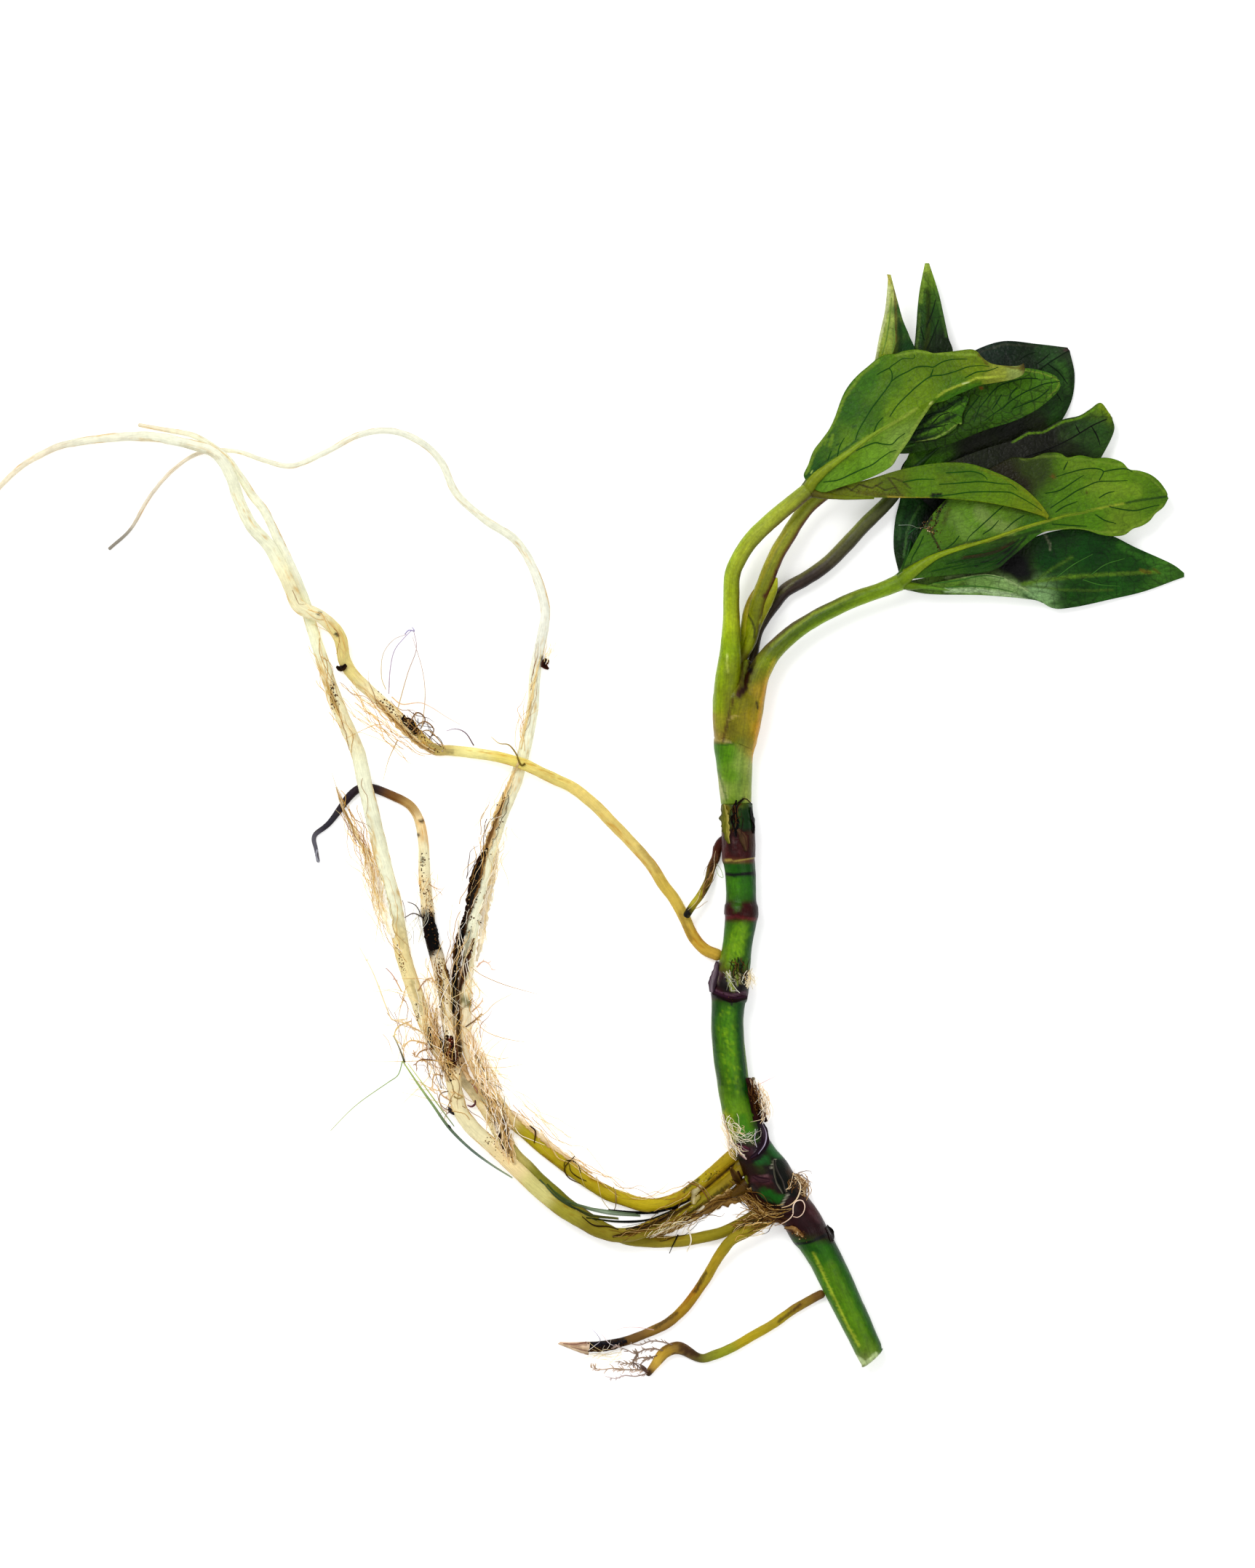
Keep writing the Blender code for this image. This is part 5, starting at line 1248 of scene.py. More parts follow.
# %% The rhizome, with its flecks
FLECK_COLOURS = ("84ac18", "2c640c")
FLECK_ROUTE = ([1274, 1324, 1384, 1430, 1500], [1015, 1008, 999, 998, 1004])  # y, and x of their middle there


def along_table(stations, heights, sides):
    """Centres of rings along stations (x, y, ...), for a rod of these heights that lies on the table."""
    centres = np.stack([place(x, y) for x, y in stations[:, :2]])
    centres[:, 2] = heights / 2 * math.cos(math.pi / sides)
    return centres


stem_length = length_of(np.asarray(STEM_STATIONS, float)[:, :2]) * PIXEL
stations = smooth(STEM_STATIONS, int(stem_length / (STEM_STEP * MM)), by=2)
heights = np.minimum(stations[:, 2], HIGHEST_STEM) * STEM_FLATNESS * MM
rod = Rod(along_table(stations, heights, CAD_STEM_SIDES), stations[:, 2] * MM, heights, STEM_SIDES,
          lump=0.035, cells=170, seed=3.0, blunt=0.1, start=CUT_ACROSS)
tint = bands(rod, STEM_BANDS, rod.spots[:, 1])
tint = stroke_over(tint, rod.spots, STEM_STROKES, wobble=0.8)
scatter = np.random.default_rng(5)
flecks = []
for y in scatter.uniform(1384, 1500, 110).tolist() + scatter.uniform(1274, 1324, 36).tolist():
    x = np.interp(y, *FLECK_ROUTE) + scatter.normal(0, 5)
    colour = FLECK_COLOURS[scatter.integers(2)]
    flecks.append((colour, 0.4, 1.1, [(x, y), (x + 1.5, y + scatter.uniform(2, 5))]))
tint = stroke_over(tint, rod.spots, flecks)
print("rhizome:", round(stem_length * TO_MM), "mm long, with", len(flecks), "flecks")
rhizome = add_piece("rhizome_skin", rod.points, rod.faces, tint, stem_skin, uv=rod.uv)
hand_over(rhizome, "stem", "rhizome")

# %% [markdown]
# ## The crown's sheath
# At the crown the broad feet of the leaf stalks wrap around each other. The outermost fold closes over the
# top of the rhizome. It is drawn as one swelling rod, painted with the folds, and the stalks grow out of it.

# %% The folded sheath's shape and colours
SHEATH_STATIONS = [  # x, y, width and height in mm
                   (1012, 1104, 8.4, 8.0), (1011, 1085, 8.9, 8.4), (1010, 1054, 9.8, 9.0),
                   (1009, 1024, 11.3, 9.6), (1011, 1016, 11.9, 9.8), (1012, 990, 12.7, 10.2),
                   (1014, 960, 13.7, 10.6), (1018, 944, 11.6, 9.2), (1022, 926, 7.4, 7.0),
                   (1026, 908, 4.0, 5.0)]
ABOVE_RING = [
    ("8aa80c", 991, 890), ("94b20e", 986, 930), ("8ea80e", 984, 965), ("9a9a2a", 986, 995),
    ("a08c3c", 985, 1014), ("7c8a14", 1004, 930), ("74780e", 1003, 965), ("66600e", 1004, 1000),
    ("6a6a12", 1012, 1018), ("6a7014", 1034, 930), ("747014", 1026, 965), ("7c7618", 1024, 1000),
    ("98861e", 1036, 985), ("a48a26", 1046, 950), ("b48a20", 1042, 1000), ("7a8a14", 1050, 905),
    ("5a6a10", 1062, 890),
]
BELOW_RING = [
    ("4c8210", 986, 1034), ("548a12", 1000, 1040), ("5f8e18", 1004, 1066), ("84a040", 1018, 1050),
    ("98a452", 1030, 1050), ("a48a2a", 1037, 1038), ("98a458", 991, 1088), ("7c9a34", 1010, 1088),
    ("8c9c44", 1028, 1092), ("6a8a24", 1008, 1102),
]
CROWN_STROKES = [
    ("2a0c10", 0.95, 5, [(1034, 906), (1031, 920), (1026, 934), (1022, 948), (1015, 956)]),
    ("16100c", 0.9, 3, [(1033, 902), (1036, 908), (1031, 922)]),
    ("4a2a14", 0.75, 1.8, [(1017, 829), (1019, 850), (1020, 878), (1020, 906), (1020, 926), (1013, 951),
                           (1006, 967), (1001, 985), (997, 1004), (993, 1018)]),
    ("e0a030", 0.55, 2.4, [(1054, 934), (1050, 950), (1046, 972), (1042, 1000), (1038, 1022), (1035, 1046)]),
    ("c8b030", 0.5, 3, [(1064, 908), (1057, 926), (1053, 940)]),
    ("1c1408", 0.9, 1.6, [(1040, 966), (1041, 974)]),
    ("2f5a0c", 0.7, 1.6, [(981, 1022), (994, 1024), (1007, 1023)]),
    ("a8a070", 0.5, 1.4, [(981, 1019), (994, 1021), (1005, 1020)]),
    ("b0b478", 0.8, 3.5, [(986, 1066), (991, 1080), (996, 1096)]),
    ("4a6a1a", 0.75, 1.5, [(986, 1058), (992, 1076), (998, 1100)]),
    ("3a5a10", 0.35, 2, [(1022, 1030), (1019, 1060), (1016, 1090)]),
    # Painted highlight on the first stalk
    ("ccd860", 0.5, 1.4, [(1000, 900), (999, 912), (1000, 924)]),
    ("dce890", 0.5, 1.0, [(1000, 902), (1000, 908)]),
    ("b8a45a", 0.6, 1.2, [(1003, 990), (1008, 984), (1013, 985)]),
    ("9a7a3a", 0.5, 3, [(980, 984), (981, 1000), (980, 1014)]),
    ("100c08", 0.9, 1.6, [(1023, 1097), (1016, 1104), (1010, 1108)]),
    ("a8a84a", 0.7, 2, [(1024, 1098), (1031, 1102), (1036, 1108)]),
]


# %% The folded sheath
RING_Y = 1023  # the photo's row where the sheath ends in a ring
SHEATH_RINGS = 130


def crown_colours(spots):
    """The colours of the crown, the same on every piece that meets there."""
    above = ground(spots, ABOVE_RING, soft=9)
    below = ground(spots, BELOW_RING, soft=9)
    # The ring is crisp on the left and fades to the right
    blur = np.interp(spots[:, 0], [1006, 1018], [2.0, 26.0])
    share = np.clip((spots[:, 1] - RING_Y) / blur + 0.5, 0, 1)[:, None]
    return stroke_over(above * (1 - share) + below * share, spots, CROWN_STROKES, wobble=0.6)


stations = smooth(SHEATH_STATIONS, SHEATH_RINGS, by=2)
heights = stations[:, 3] * MM
rod = Rod(along_table(stations, heights, CAD_STEM_SIDES), stations[:, 2] * MM, heights, STEM_SIDES, lump=0.03,
          cells=140, seed=7.0, blunt=0.1)
sheath = add_piece("sheath_skin", rod.points, rod.faces, crown_colours(rod.spots), stalk_skin, uv=rod.uv)
hand_over(sheath, "stalk", "crown_sheath")

# %% [markdown]
# ## The leaf stalks
# The four stalks are fleshy and nearly round. The first is lime, the second lime on its left and maroon on
# its right, the third dark olive, and the last an even yellow-green. Their colours go by the share of the way
# from the crown to the leaflets.

# %% The stalks' shapes and colours
# stations: x, y, height and width in mm
# bands: share along, then the left, middle and right colour
STALKS = {
    "petiole_a": {
        "stations": [(999, 955, 7.2, 6.6), (1001, 930, 7.4, 6.6), (1003, 905, 7.6, 6.2),
                     (1005, 860, 8.2, 4.8),
                     (1005, 820, 8.8, 4.5), (1008, 785, 9.4, 4.4), (1027, 750, 10.4, 4.5),
                     (1052, 723, 11.4, 4.5), (1079, 700, 12.6, 4.5), (1108, 676, 14.0, 4.2)],
        "bands": [(0.0, "8aa80c", "8a9a14", "6a5a14"), (0.3, "a4c01c", "aec022", "8a8a1c"),
                  (0.45, "98b41c", "94a61e", "7e8a1a"), (0.6, "a4bc24", "a4b02e", "7c802a"),
                  (0.75, "a4b830", "a8b43a", "7c7c2a"), (0.88, "9cac30", "a0aa34", "70682a"),
                  (1.0, "8c9c2c", "84902c", "5c5226")],
        "crown_from": 850,
        "strokes": [("b8cc40", 0.5, 2.5, [(996, 870), (997, 830), (1000, 790), (1016, 756)]),
                    ("5a3a1c", 0.4, 3, [(1016, 850), (1016, 820), (1018, 790)]),
                    ("6a4a24", 0.45, 2.5, [(1056, 734), (1086, 710), (1108, 690)])],
    },
    "petiole_b": {
        "stations": [(1011, 955, 1.9, 3.2), (1015, 930, 2.2, 3.4), (1019, 905, 3.7, 3.4),
                     (1030, 880, 4.9, 4.2),
                     (1037, 848, 6.2, 4.4), (1045, 819, 6.6, 4.5), (1065, 768, 6.8, 4.4),
                     (1081, 740, 7.0, 4.3),
                     (1098, 713, 7.2, 4.2), (1119, 689, 7.4, 4.0), (1165, 655, 8.2, 4.0),
                     (1209, 624, 9.2, 4.0)],
        "bands": [(0.0, "3a1a1c", "4a1a20", "3a1018"), (0.2, "7a8614", "727a16", "5a5a18"),
                  (0.38, "949619", "72781a", "5a2a1c"), (0.5, "aca632", "868a26", "5a2420"),
                  (0.62, "b2b434", "90962c", "5a2424"), (0.78, "b0b83a", "929e30", "5a3024"),
                  (1.0, "5a7020", "3f461c", "2a2618")],
        "strokes": [("4a141c", 0.85, 2.4, [(1067, 786), (1066, 800), (1058, 813), (1050, 820)]),
                    ("a8b01e", 0.8, 1.6, [(1069, 803), (1067, 816), (1061, 826), (1053, 842), (1044, 856)]),
                    ("8c981a", 0.8, 6, [(1026, 852), (1032, 866), (1030, 890)]),
                    ("2a2410", 0.8, 1.4, [(1023, 839), (1033, 853), (1037, 864), (1037, 876)]),
                    ("b09838", 0.3, 1.8, [(1034, 822), (1046, 796), (1060, 766), (1080, 730)])],
    },
    "petiole_c": {
        "stations": [(1034, 955, 1.8, 3.0), (1034, 930, 1.8, 2.9), (1036, 900, 1.7, 2.7),
                     (1041, 872, 1.7, 2.7),
                     (1050, 853, 1.8, 3.0), (1063, 832, 2.2, 3.7), (1079, 812, 2.6, 3.9),
                     (1107, 796, 2.8, 4.0),
                     (1137, 775, 3.0, 4.0), (1162, 750, 3.4, 4.0), (1190, 720, 3.9, 3.9),
                     (1221, 689, 4.5, 3.8), (1236, 667, 5.0, 3.8)],
        "bands": [(0.0, "3a1018", "2a1418", "3a2a1c"), (0.2, "4a4030", "3f3820", "2a2420"),
                  (0.4, "5c5040", "3c302a", "2a2024"), (0.55, "6c6a3c", "403630", "2e2422"),
                  (0.7, "848644", "4e4e2e", "3c362a"), (0.85, "7c8a38", "545830", "42422a"),
                  (1.0, "3f5a1c", "2a3a1c", "1c2a18")],
        "strokes": [("6a6a34", 0.5, 2, [(1063, 824), (1100, 792), (1140, 764)]),
                    ("1c1814", 0.2, 5, [(1107, 800), (1137, 780)])],
    },
    "petiole_d": {
        "stations": [(1034, 955, 6.8, 6.3), (1041, 930, 6.8, 6.2), (1055, 905, 6.6, 5.6),
                     (1070, 888, 6.6, 5.0),
                     (1093, 868, 6.6, 4.7), (1121, 850, 6.7, 4.5), (1148, 836, 6.8, 4.4),
                     (1180, 822, 7.0, 4.3), (1212, 811, 7.2, 4.2), (1236, 801, 7.4, 4.6)],
        "bands": [(0.0, "7a7a20", "6a6a14", "a08420"), (0.25, "6a5a3a", "5a6a12", "8a9a1c"),
                  (0.4, "6a5f40", "546c12", "84a418"), (0.6, "6a6a34", "4e6a12", "88a81c"),
                  (0.8, "86962e", "688416", "8cac22"), (1.0, "8ca82a", "6e8c1c", "84a424")],
        "crown_from": 880,
        "strokes": [("a8bc3a", 0.45, 2, [(1060, 888), (1084, 868), (1118, 844), (1170, 820)])],
    },
}

# %% The stalks
STALK_SIDES = 36
STALK_STEP = 0.5  # mm between two rings
CROWN_BLEND = 45  # pixels over which a stalk takes on the crown's colours

for name, stalk in STALKS.items():
    points = np.array([[*place(x, y, height), width * MM] for x, y, height, width in stalk["stations"]])
    path = smooth(points, int(length_of(points[:, :3]) / (STALK_STEP * MM)), by=4)
    rod = Rod(path[:, :3], path[:, 3], path[:, 3], STALK_SIDES, lump=0.05, cells=200,
              seed=len(name) + path[0, 0], blunt=0.2)
    # On a stalk that runs to the right, the rod's right side is the lower one of the photo
    tint = bands(rod, stalk["bands"], rod.along)
    tint = stroke_over(tint, rod.spots, stalk["strokes"], wobble=0.7)
    if "crown_from" in stalk:
        near_crown = np.clip((rod.spots[:, 1] - stalk["crown_from"]) / CROWN_BLEND, 0, 1)[:, None]
        tint = tint * (1 - near_crown) + crown_colours(rod.spots) * near_crown
    piece = add_piece(name + "_skin", rod.points, rod.faces, tint, stalk_skin, uv=rod.uv)
    hand_over(piece, "stalk", name)

# %% [markdown]
# ## The roots
# Seven roots leave the rhizome's left side. They are pale cream where they are sound, mustard near the stem,
# and brown to black where they rot. They lie on the table and on each other, so each route has lifts, the
# places where it rises to pass over another root. The same routes and lifts are in the CAD model.

# %% Routes, widths and lifts
# widths: in mm, evenly spaced along the route
# lifts: x, y, height in mm, then the radius of the raised top and the length of its slopes in pixels
ROOTS = {
    "root_upper": {
        "route": [(986, 1313), (968, 1305), (952, 1286), (941, 1262), (926, 1235), (912, 1217), (893, 1187),
                  (868, 1159), (841, 1131), (813, 1103), (789, 1084), (760, 1070), (715, 1049), (670, 1038),
                  (621, 1032), (594, 1029), (565, 1002), (527, 967), (490, 933), (474, 910), (467, 876),
                  (444, 850), (411, 834), (401, 812), (391, 789), (370, 751), (345, 722), (329, 689),
                  (319, 660), (307, 636), (290, 620), (252, 609), (205, 600), (147, 602), (88, 611),
                  (59, 623), (30, 640), (0, 668), (-22, 697), (-48, 716)],
        "widths": [3.2, 3.1, 3.2, 3.0, 3.0, 3.6, 3.8, 3.0, 2.6, 1.8, 0.9],
        "lifts": [(716, 1049, 4.4, 12, 70), (360, 740, 4.5, 150, 75), (300, 622, 5.2, 40, 70)],
        "ground": [("bc9838", 970, 1304), ("c4a848", 930, 1240), ("d0b868", 868, 1158), ("dcc470", 812, 1102),
                   ("e0cc74", 750, 1064), ("e2cf6c", 700, 1046), ("e8dc90", 650, 1036), ("c0a860", 594, 1028),
                   ("e8dcb0", 527, 967), ("dccb80", 474, 905), ("e8dfb4", 411, 834), ("f0e8c8", 345, 722),
                   ("f2eace", 252, 609), ("f0e4cc", 147, 602), ("ecdcc0", 30, 640)],
        "strokes": [("8a6a2a", 0.6, 3, [(950, 1292), (935, 1256)]),
                    ("9a7a3a", 0.4, 3, [(905, 1200), (880, 1164)]),
                    ("1f1a14", 0.9, 5, [(560, 1003), (568, 996), (574, 1006)]),
                    ("241c14", 0.9, 3, [(468, 919)]), ("2a2018", 0.9, 3, [(439, 844)]),
                    ("2a2018", 0.9, 3, [(463, 873)]), ("8a7a4a", 0.5, 3, [(621, 1034), (590, 1024)]),
                    ("b8a878", 0.4, 3, [(300, 630), (250, 612)])],
    },
    "root_loop": {
        "route": [(1010, 1585), (996, 1598), (979, 1613), (957, 1632), (933, 1648), (909, 1656), (885, 1657),
                  (861, 1650), (838, 1642), (813, 1628), (777, 1602), (745, 1578), (723, 1558), (702, 1540),
                  (683, 1514), (667, 1490), (654, 1467), (645, 1446), (640, 1424), (640, 1400), (640, 1357),
                  (643, 1326), (651, 1262), (665, 1205), (686, 1131), (712, 1064), (731, 981), (736, 919),
                  (748, 858), (748, 829), (733, 782), (708, 742), (666, 714), (627, 678), (607, 636),
                  (579, 608),
                  (537, 592), (492, 598), (450, 620), (402, 640), (364, 633), (323, 620), (276, 622),
                  (238, 645), (205, 683), (179, 727), (150, 754)],
        "widths": [3.3, 3.9, 3.5, 3.2, 3.6, 3.6, 2.9, 2.3, 1.9, 1.5, 1.1, 0.9],
        "lifts": [(1006, 1589, 1.2, 10, 60), (668, 1492, 2.8, 35, 60)],
        "ground": [("9a8418", 996, 1598), ("a0901c", 950, 1636), ("b09c1c", 885, 1657), ("a8941c", 830, 1638),
                   ("a4901c", 777, 1602), ("a8981c", 730, 1563), ("dcc48c", 694, 1528), ("ecd8b4", 645, 1420),
                   ("e6dab0", 640, 1350), ("f0e6c8", 651, 1262), ("ece2c0", 700, 1090), ("f2eacc", 731, 981),
                   ("f9f2d6", 748, 850), ("f4ead0", 666, 714), ("f4ead2", 492, 598), ("f0e4cc", 364, 633),
                   ("dcd2bc", 205, 683), ("8a8478", 150, 754)],
        "strokes": [("1f1c14", 0.8, 3, [(990, 1612), (975, 1624)]),
                    ("241f14", 0.7, 2, [(960, 1622), (940, 1638)]),
                    ("5a5a24", 0.8, 6, [(633, 1375), (645, 1378)]),
                    ("2a2418", 0.7, 3, [(678, 1120), (660, 1200)]),
                    ("2a2418", 0.6, 3, [(646, 1280), (634, 1340)]),
                    ("5a4a2a", 0.9, 3, [(745, 905), (751, 909)]),
                    ("7a6a3a", 0.5, 4, [(700, 1080), (690, 1118)])],
    },
    "root_dark": {
        "route": [(1023, 1604), (1008, 1618), (990, 1634), (966, 1652), (937, 1670), (905, 1684), (874, 1695),
                  (850, 1698), (823, 1692), (796, 1677), (772, 1662), (748, 1643), (722, 1619), (697, 1595),
                  (674, 1573), (652, 1553), (635, 1531), (627, 1508), (623, 1483), (619, 1422), (612, 1368),
                  (601, 1318), (591, 1280), (584, 1211), (580, 1146), (567, 1111), (539, 1094), (506, 1083),
                  (484, 1091), (453, 1131), (432, 1149), (434, 1168), (437, 1184)],
        "widths": [3.6, 3.8, 4.0, 4.1, 4.2, 4.2, 4.0, 3.4, 2.6, 2.2, 0.9],
        "lifts": [(1012, 1612, 0.6, 40, 60), (820, 1690, 4.4, 75, 80), (740, 1630, 4.4, 110, 60),
                  (650, 1550, 4.6, 85, 90)],
        "ground": [("84701c", 1008, 1618), ("8a7c1a", 960, 1656), ("847622", 890, 1690),
                   ("7c7020", 820, 1690), ("989030", 776, 1664), ("c8c078", 742, 1638), ("e8d09a", 697, 1595),
                   ("f0dcae", 650, 1548),
                   ("f0d8a8", 624, 1490), ("4a3c28", 619, 1440), ("d4c8a8", 612, 1385), ("dccdb0", 603, 1330),
                   ("1c1812", 590, 1285), ("ecd8ac", 586, 1235), ("f0deb4", 582, 1180), ("e8d09c", 576, 1135),
                   ("b08c50", 560, 1108), ("6a4420", 543, 1095), ("2a2024", 515, 1085), ("241c24", 480, 1095),
                   ("2a2830", 450, 1134), ("5a5860", 434, 1160)],
        "strokes": [("14120e", 0.9, 6, [(592, 1309), (590, 1285), (586, 1259)]),
                    ("241c12", 0.7, 4, [(620, 1462), (616, 1428)]),
                    ("241c14", 0.9, 3, [(581, 1182)]), ("241c14", 0.9, 3, [(579, 1129)]),
                    ("241c14", 0.9, 3, [(574, 1148)]),
                    ("1c1a12", 0.7, 3, [(1000, 1630), (970, 1655), (940, 1672)])],
    },
    "root_long": {
        "route": [(1057, 1658), (1042, 1667), (1026, 1678), (1008, 1688), (989, 1696), (968, 1701),
                  (941, 1706), (914, 1708), (887, 1707), (862, 1704), (835, 1692), (806, 1674), (780, 1656),
                  (760, 1638), (741, 1621), (724, 1604), (708, 1588), (695, 1571), (681, 1547), (667, 1523),
                  (650, 1499), (632, 1478), (614, 1459), (600, 1438), (590, 1419), (576, 1380), (555, 1318),
                  (543, 1250), (526, 1182), (514, 1131), (502, 1080), (490, 1030), (468, 980), (448, 925),
                  (431, 871), (413, 812), (386, 750), (364, 704), (346, 680), (328, 652), (308, 626),
                  (270, 600), (230, 591), (191, 584)],
        "widths": [3.0, 3.2, 3.4, 3.6, 4.0, 4.2, 4.2, 4.0, 3.4, 2.8, 2.0, 1.0],
        "lifts": [(502, 1083, 3.0, 25, 90), (300, 620, 1.8, 30, 60)],
        "ground": [("5a4a18", 1050, 1662), ("8a7e1e", 1000, 1692), ("8a7c24", 914, 1708),
                   ("7c7220", 835, 1692),
                   ("6c6a1c", 780, 1656), ("7c7a28", 745, 1624), ("b4a860", 706, 1586), ("e0d0a0", 676, 1537),
                   ("d4c8a2", 620, 1465), ("e0d4a8", 590, 1419), ("e8d498", 556, 1320), ("f0e8c8", 535, 1215),
                   ("f0e8c8", 508, 1100), ("ecdeb4", 468, 980), ("f2e8c4", 431, 871), ("f4ecd0", 386, 750),
                   ("f0e6cc", 308, 626), ("ecdcc0", 191, 584)],
        "strokes": [("8a7a44", 0.5, 3, [(580, 1390), (566, 1350)]),
                    ("9a8a54", 0.4, 4, [(552, 1300), (545, 1262)]),
                    ("7a6a3a", 0.5, 4, [(660, 1512), (640, 1486)])],
    },
    "root_broken": {
        "route": [(1067, 1670), (1055, 1677), (1042, 1684), (1026, 1694), (1005, 1705), (989, 1726),
                  (971, 1757), (954, 1782), (939, 1801), (920, 1818), (897, 1830), (865, 1843), (833, 1850),
                  (807, 1852), (786, 1850), (770, 1847)],
        "widths": [3.0, 3.05, 3.1, 3.0, 2.9, 2.85, 2.8, 2.7, 2.6, 2.55, 2.6, 2.5, 0.6],
        "lifts": [(1040, 1686, 4.0, 32, 75)],
        "ground": [("5a4a18", 1060, 1674), ("8f8020", 1010, 1704), ("a48a24", 980, 1745),
                   ("a07c20", 945, 1794), ("86662c", 905, 1826), ("6a4e26", 872, 1842), ("2c201a", 846, 1849),
                   ("262224", 815, 1852), ("c8a888", 792, 1850), ("d8bca0", 774, 1847)],
        "strokes": [("241c12", 0.7, 2.5, [(970, 1750), (956, 1776)]),
                    ("2a2014", 0.6, 2.5, [(930, 1806), (900, 1826)]),
                    ("14120e", 0.85, 6, [(852, 1846), (830, 1850), (812, 1852)])],
    },
    "root_lowest": {
        "route": [(1129, 1780), (1117, 1786), (1091, 1801), (1063, 1821), (1035, 1837), (1007, 1853),
                  (981, 1864), (962, 1868), (934, 1854), (914, 1860), (900, 1877), (891, 1889)],
        "widths": [2.4, 2.45, 2.5, 2.55, 2.6, 2.6, 2.6, 2.5, 3.5, 3.1, 1.7],
        "lifts": [],
        "ground": [("6a4a24", 1125, 1783), ("8a7024", 1104, 1793), ("a08c20", 1070, 1816),
                   ("a8941c", 1030, 1840), ("8a8f22", 990, 1861), ("80842a", 974, 1866),
                   ("4a3c24", 960, 1867), ("563c2a", 946, 1859),
                   ("7e6230", 930, 1853), ("aa8727", 915, 1861), ("d0ac44", 903, 1874),
                   ("8a6434", 893, 1885)],
        "strokes": [("3a2414", 0.7, 2, [(1100, 1794), (1070, 1818)]),
                    ("3a2218", 0.75, 5, [(957, 1861), (946, 1858), (937, 1852)]),
                    ("2a1810", 0.5, 2, [(942, 1864), (926, 1862), (910, 1874)]),
                    ("5a3c1c", 0.6, 2.4, [(934, 1846), (920, 1848), (908, 1856)]),
                    ("2c1a18", 0.9, 5, [(893, 1888), (888, 1892)])],
    },
    "root_stub": {
        "route": [(986, 1166), (984, 1179), (978, 1193), (973, 1212), (962, 1232), (953, 1244), (944, 1258)],
        "widths": [2.4, 2.3, 2.2, 2.0],
        "lifts": [(944, 1256, 3.7, 12, 60)],
        "ground": [("4a2420", 985, 1172), ("5a3a1c", 980, 1190), ("6a5a1c", 974, 1208), ("8a7a20", 966, 1226),
                   ("a8a02a", 956, 1240), ("1c1814", 944, 1256)],
        "strokes": [("2a1814", 0.8, 2, [(982, 1180), (976, 1200), (970, 1214)]),
                    ("b8b03a", 0.7, 2.5, [(962, 1228), (952, 1243)]),
                    ("1c1410", 0.8, 2, [(976, 1214), (966, 1234)]),
                    ("0f0d0c", 0.9, 4, [(946, 1252), (943, 1259)])],
    },
}

# %% The roots
ROOT_SIDES = 26
ROOT_STEP = 0.45  # mm between two rings
CAD_ROOT_SIDES = 6
ROOT_LIGHTEN = 1.22
RIND_AND_EDGE_SHADE = linear("a8843c")  # brown rind in patches, and painted shade that darkens and yellows a root's edges
RIND_AND_SHADE_LIFT = 1.9
MOST_RIND_AND_SHADE = 0.7


def raised_over(places, lifts):
    """How far in metres the underside is raised at each place, over the crossings."""
    highest = np.zeros(len(places))
    for x, y, height, flat, slope in lifts:
        away = np.linalg.norm((places - place(x, y))[:, :2], axis=1) / PIXEL - flat
        share = np.clip(away / slope, 0, 1)
        highest = np.maximum(highest, height * MM * (0.5 + 0.5 * np.cos(math.pi * share)))
    return highest


def rind_and_edge_shade_at(far, side, seed):
    """How much rind and painted edge shade show at a place on a root: patches of rind in two sizes, and
    painted shade that grows towards the edges.
    """
    patchy = noise.noise(Vector((far * 0.035, side * 1.2, seed * 9.0))) * 1.6
    patchy += noise.noise(Vector((far * 0.22, side * 4.0, seed * 5.0)))
    return min(max(patchy * 1.3 - 0.7 + 1.1 * side**6, 0), 1) * MOST_RIND_AND_SHADE


root_pieces = {}
for number, (name, root) in enumerate(ROOTS.items()):
    route = to_places(root["route"])
    path = smooth(route, int(length_of(route) / (ROOT_STEP * MM)))
    widths = stretched(root["widths"], len(path)) * MM
    path[:, 2] = widths / 2 * math.cos(math.pi / CAD_ROOT_SIDES) + raised_over(path, root["lifts"])
    rod = Rod(path, widths, widths, ROOT_SIDES, lump=0.08, cells=240, seed=number * 5.0, blunt=0.4)
    tint = ground(rod.spots, root["ground"], soft=14)
    tint = stroke_over(np.minimum(tint * ROOT_LIGHTEN, 0.97), rod.spots, root["strokes"], wobble=0.9)
    # Rind in patches, and painted shade along the edges, both in the rind's tan colour
    for k, (far, side) in enumerate(zip(rod.along * len(path), rod.side)):
        rind_and_shade = rind_and_edge_shade_at(far, side, number)
        tint[k] = tint[k] * (1 - rind_and_shade) + tint[k] * RIND_AND_EDGE_SHADE * RIND_AND_SHADE_LIFT * rind_and_shade
    piece = add_piece(name + "_skin", rod.points, rod.faces, tint, root_skin, uv=rod.uv)
    hand_over(piece, "root", name)
    root_pieces[name] = piece

# %% [markdown]
# ## The papery scale beside the fork
# A dry scale stands on edge against the right side of the rhizome, above the fork. It is made as the leaflets
# are, from a midrib and two margins, but painted as brown paper.

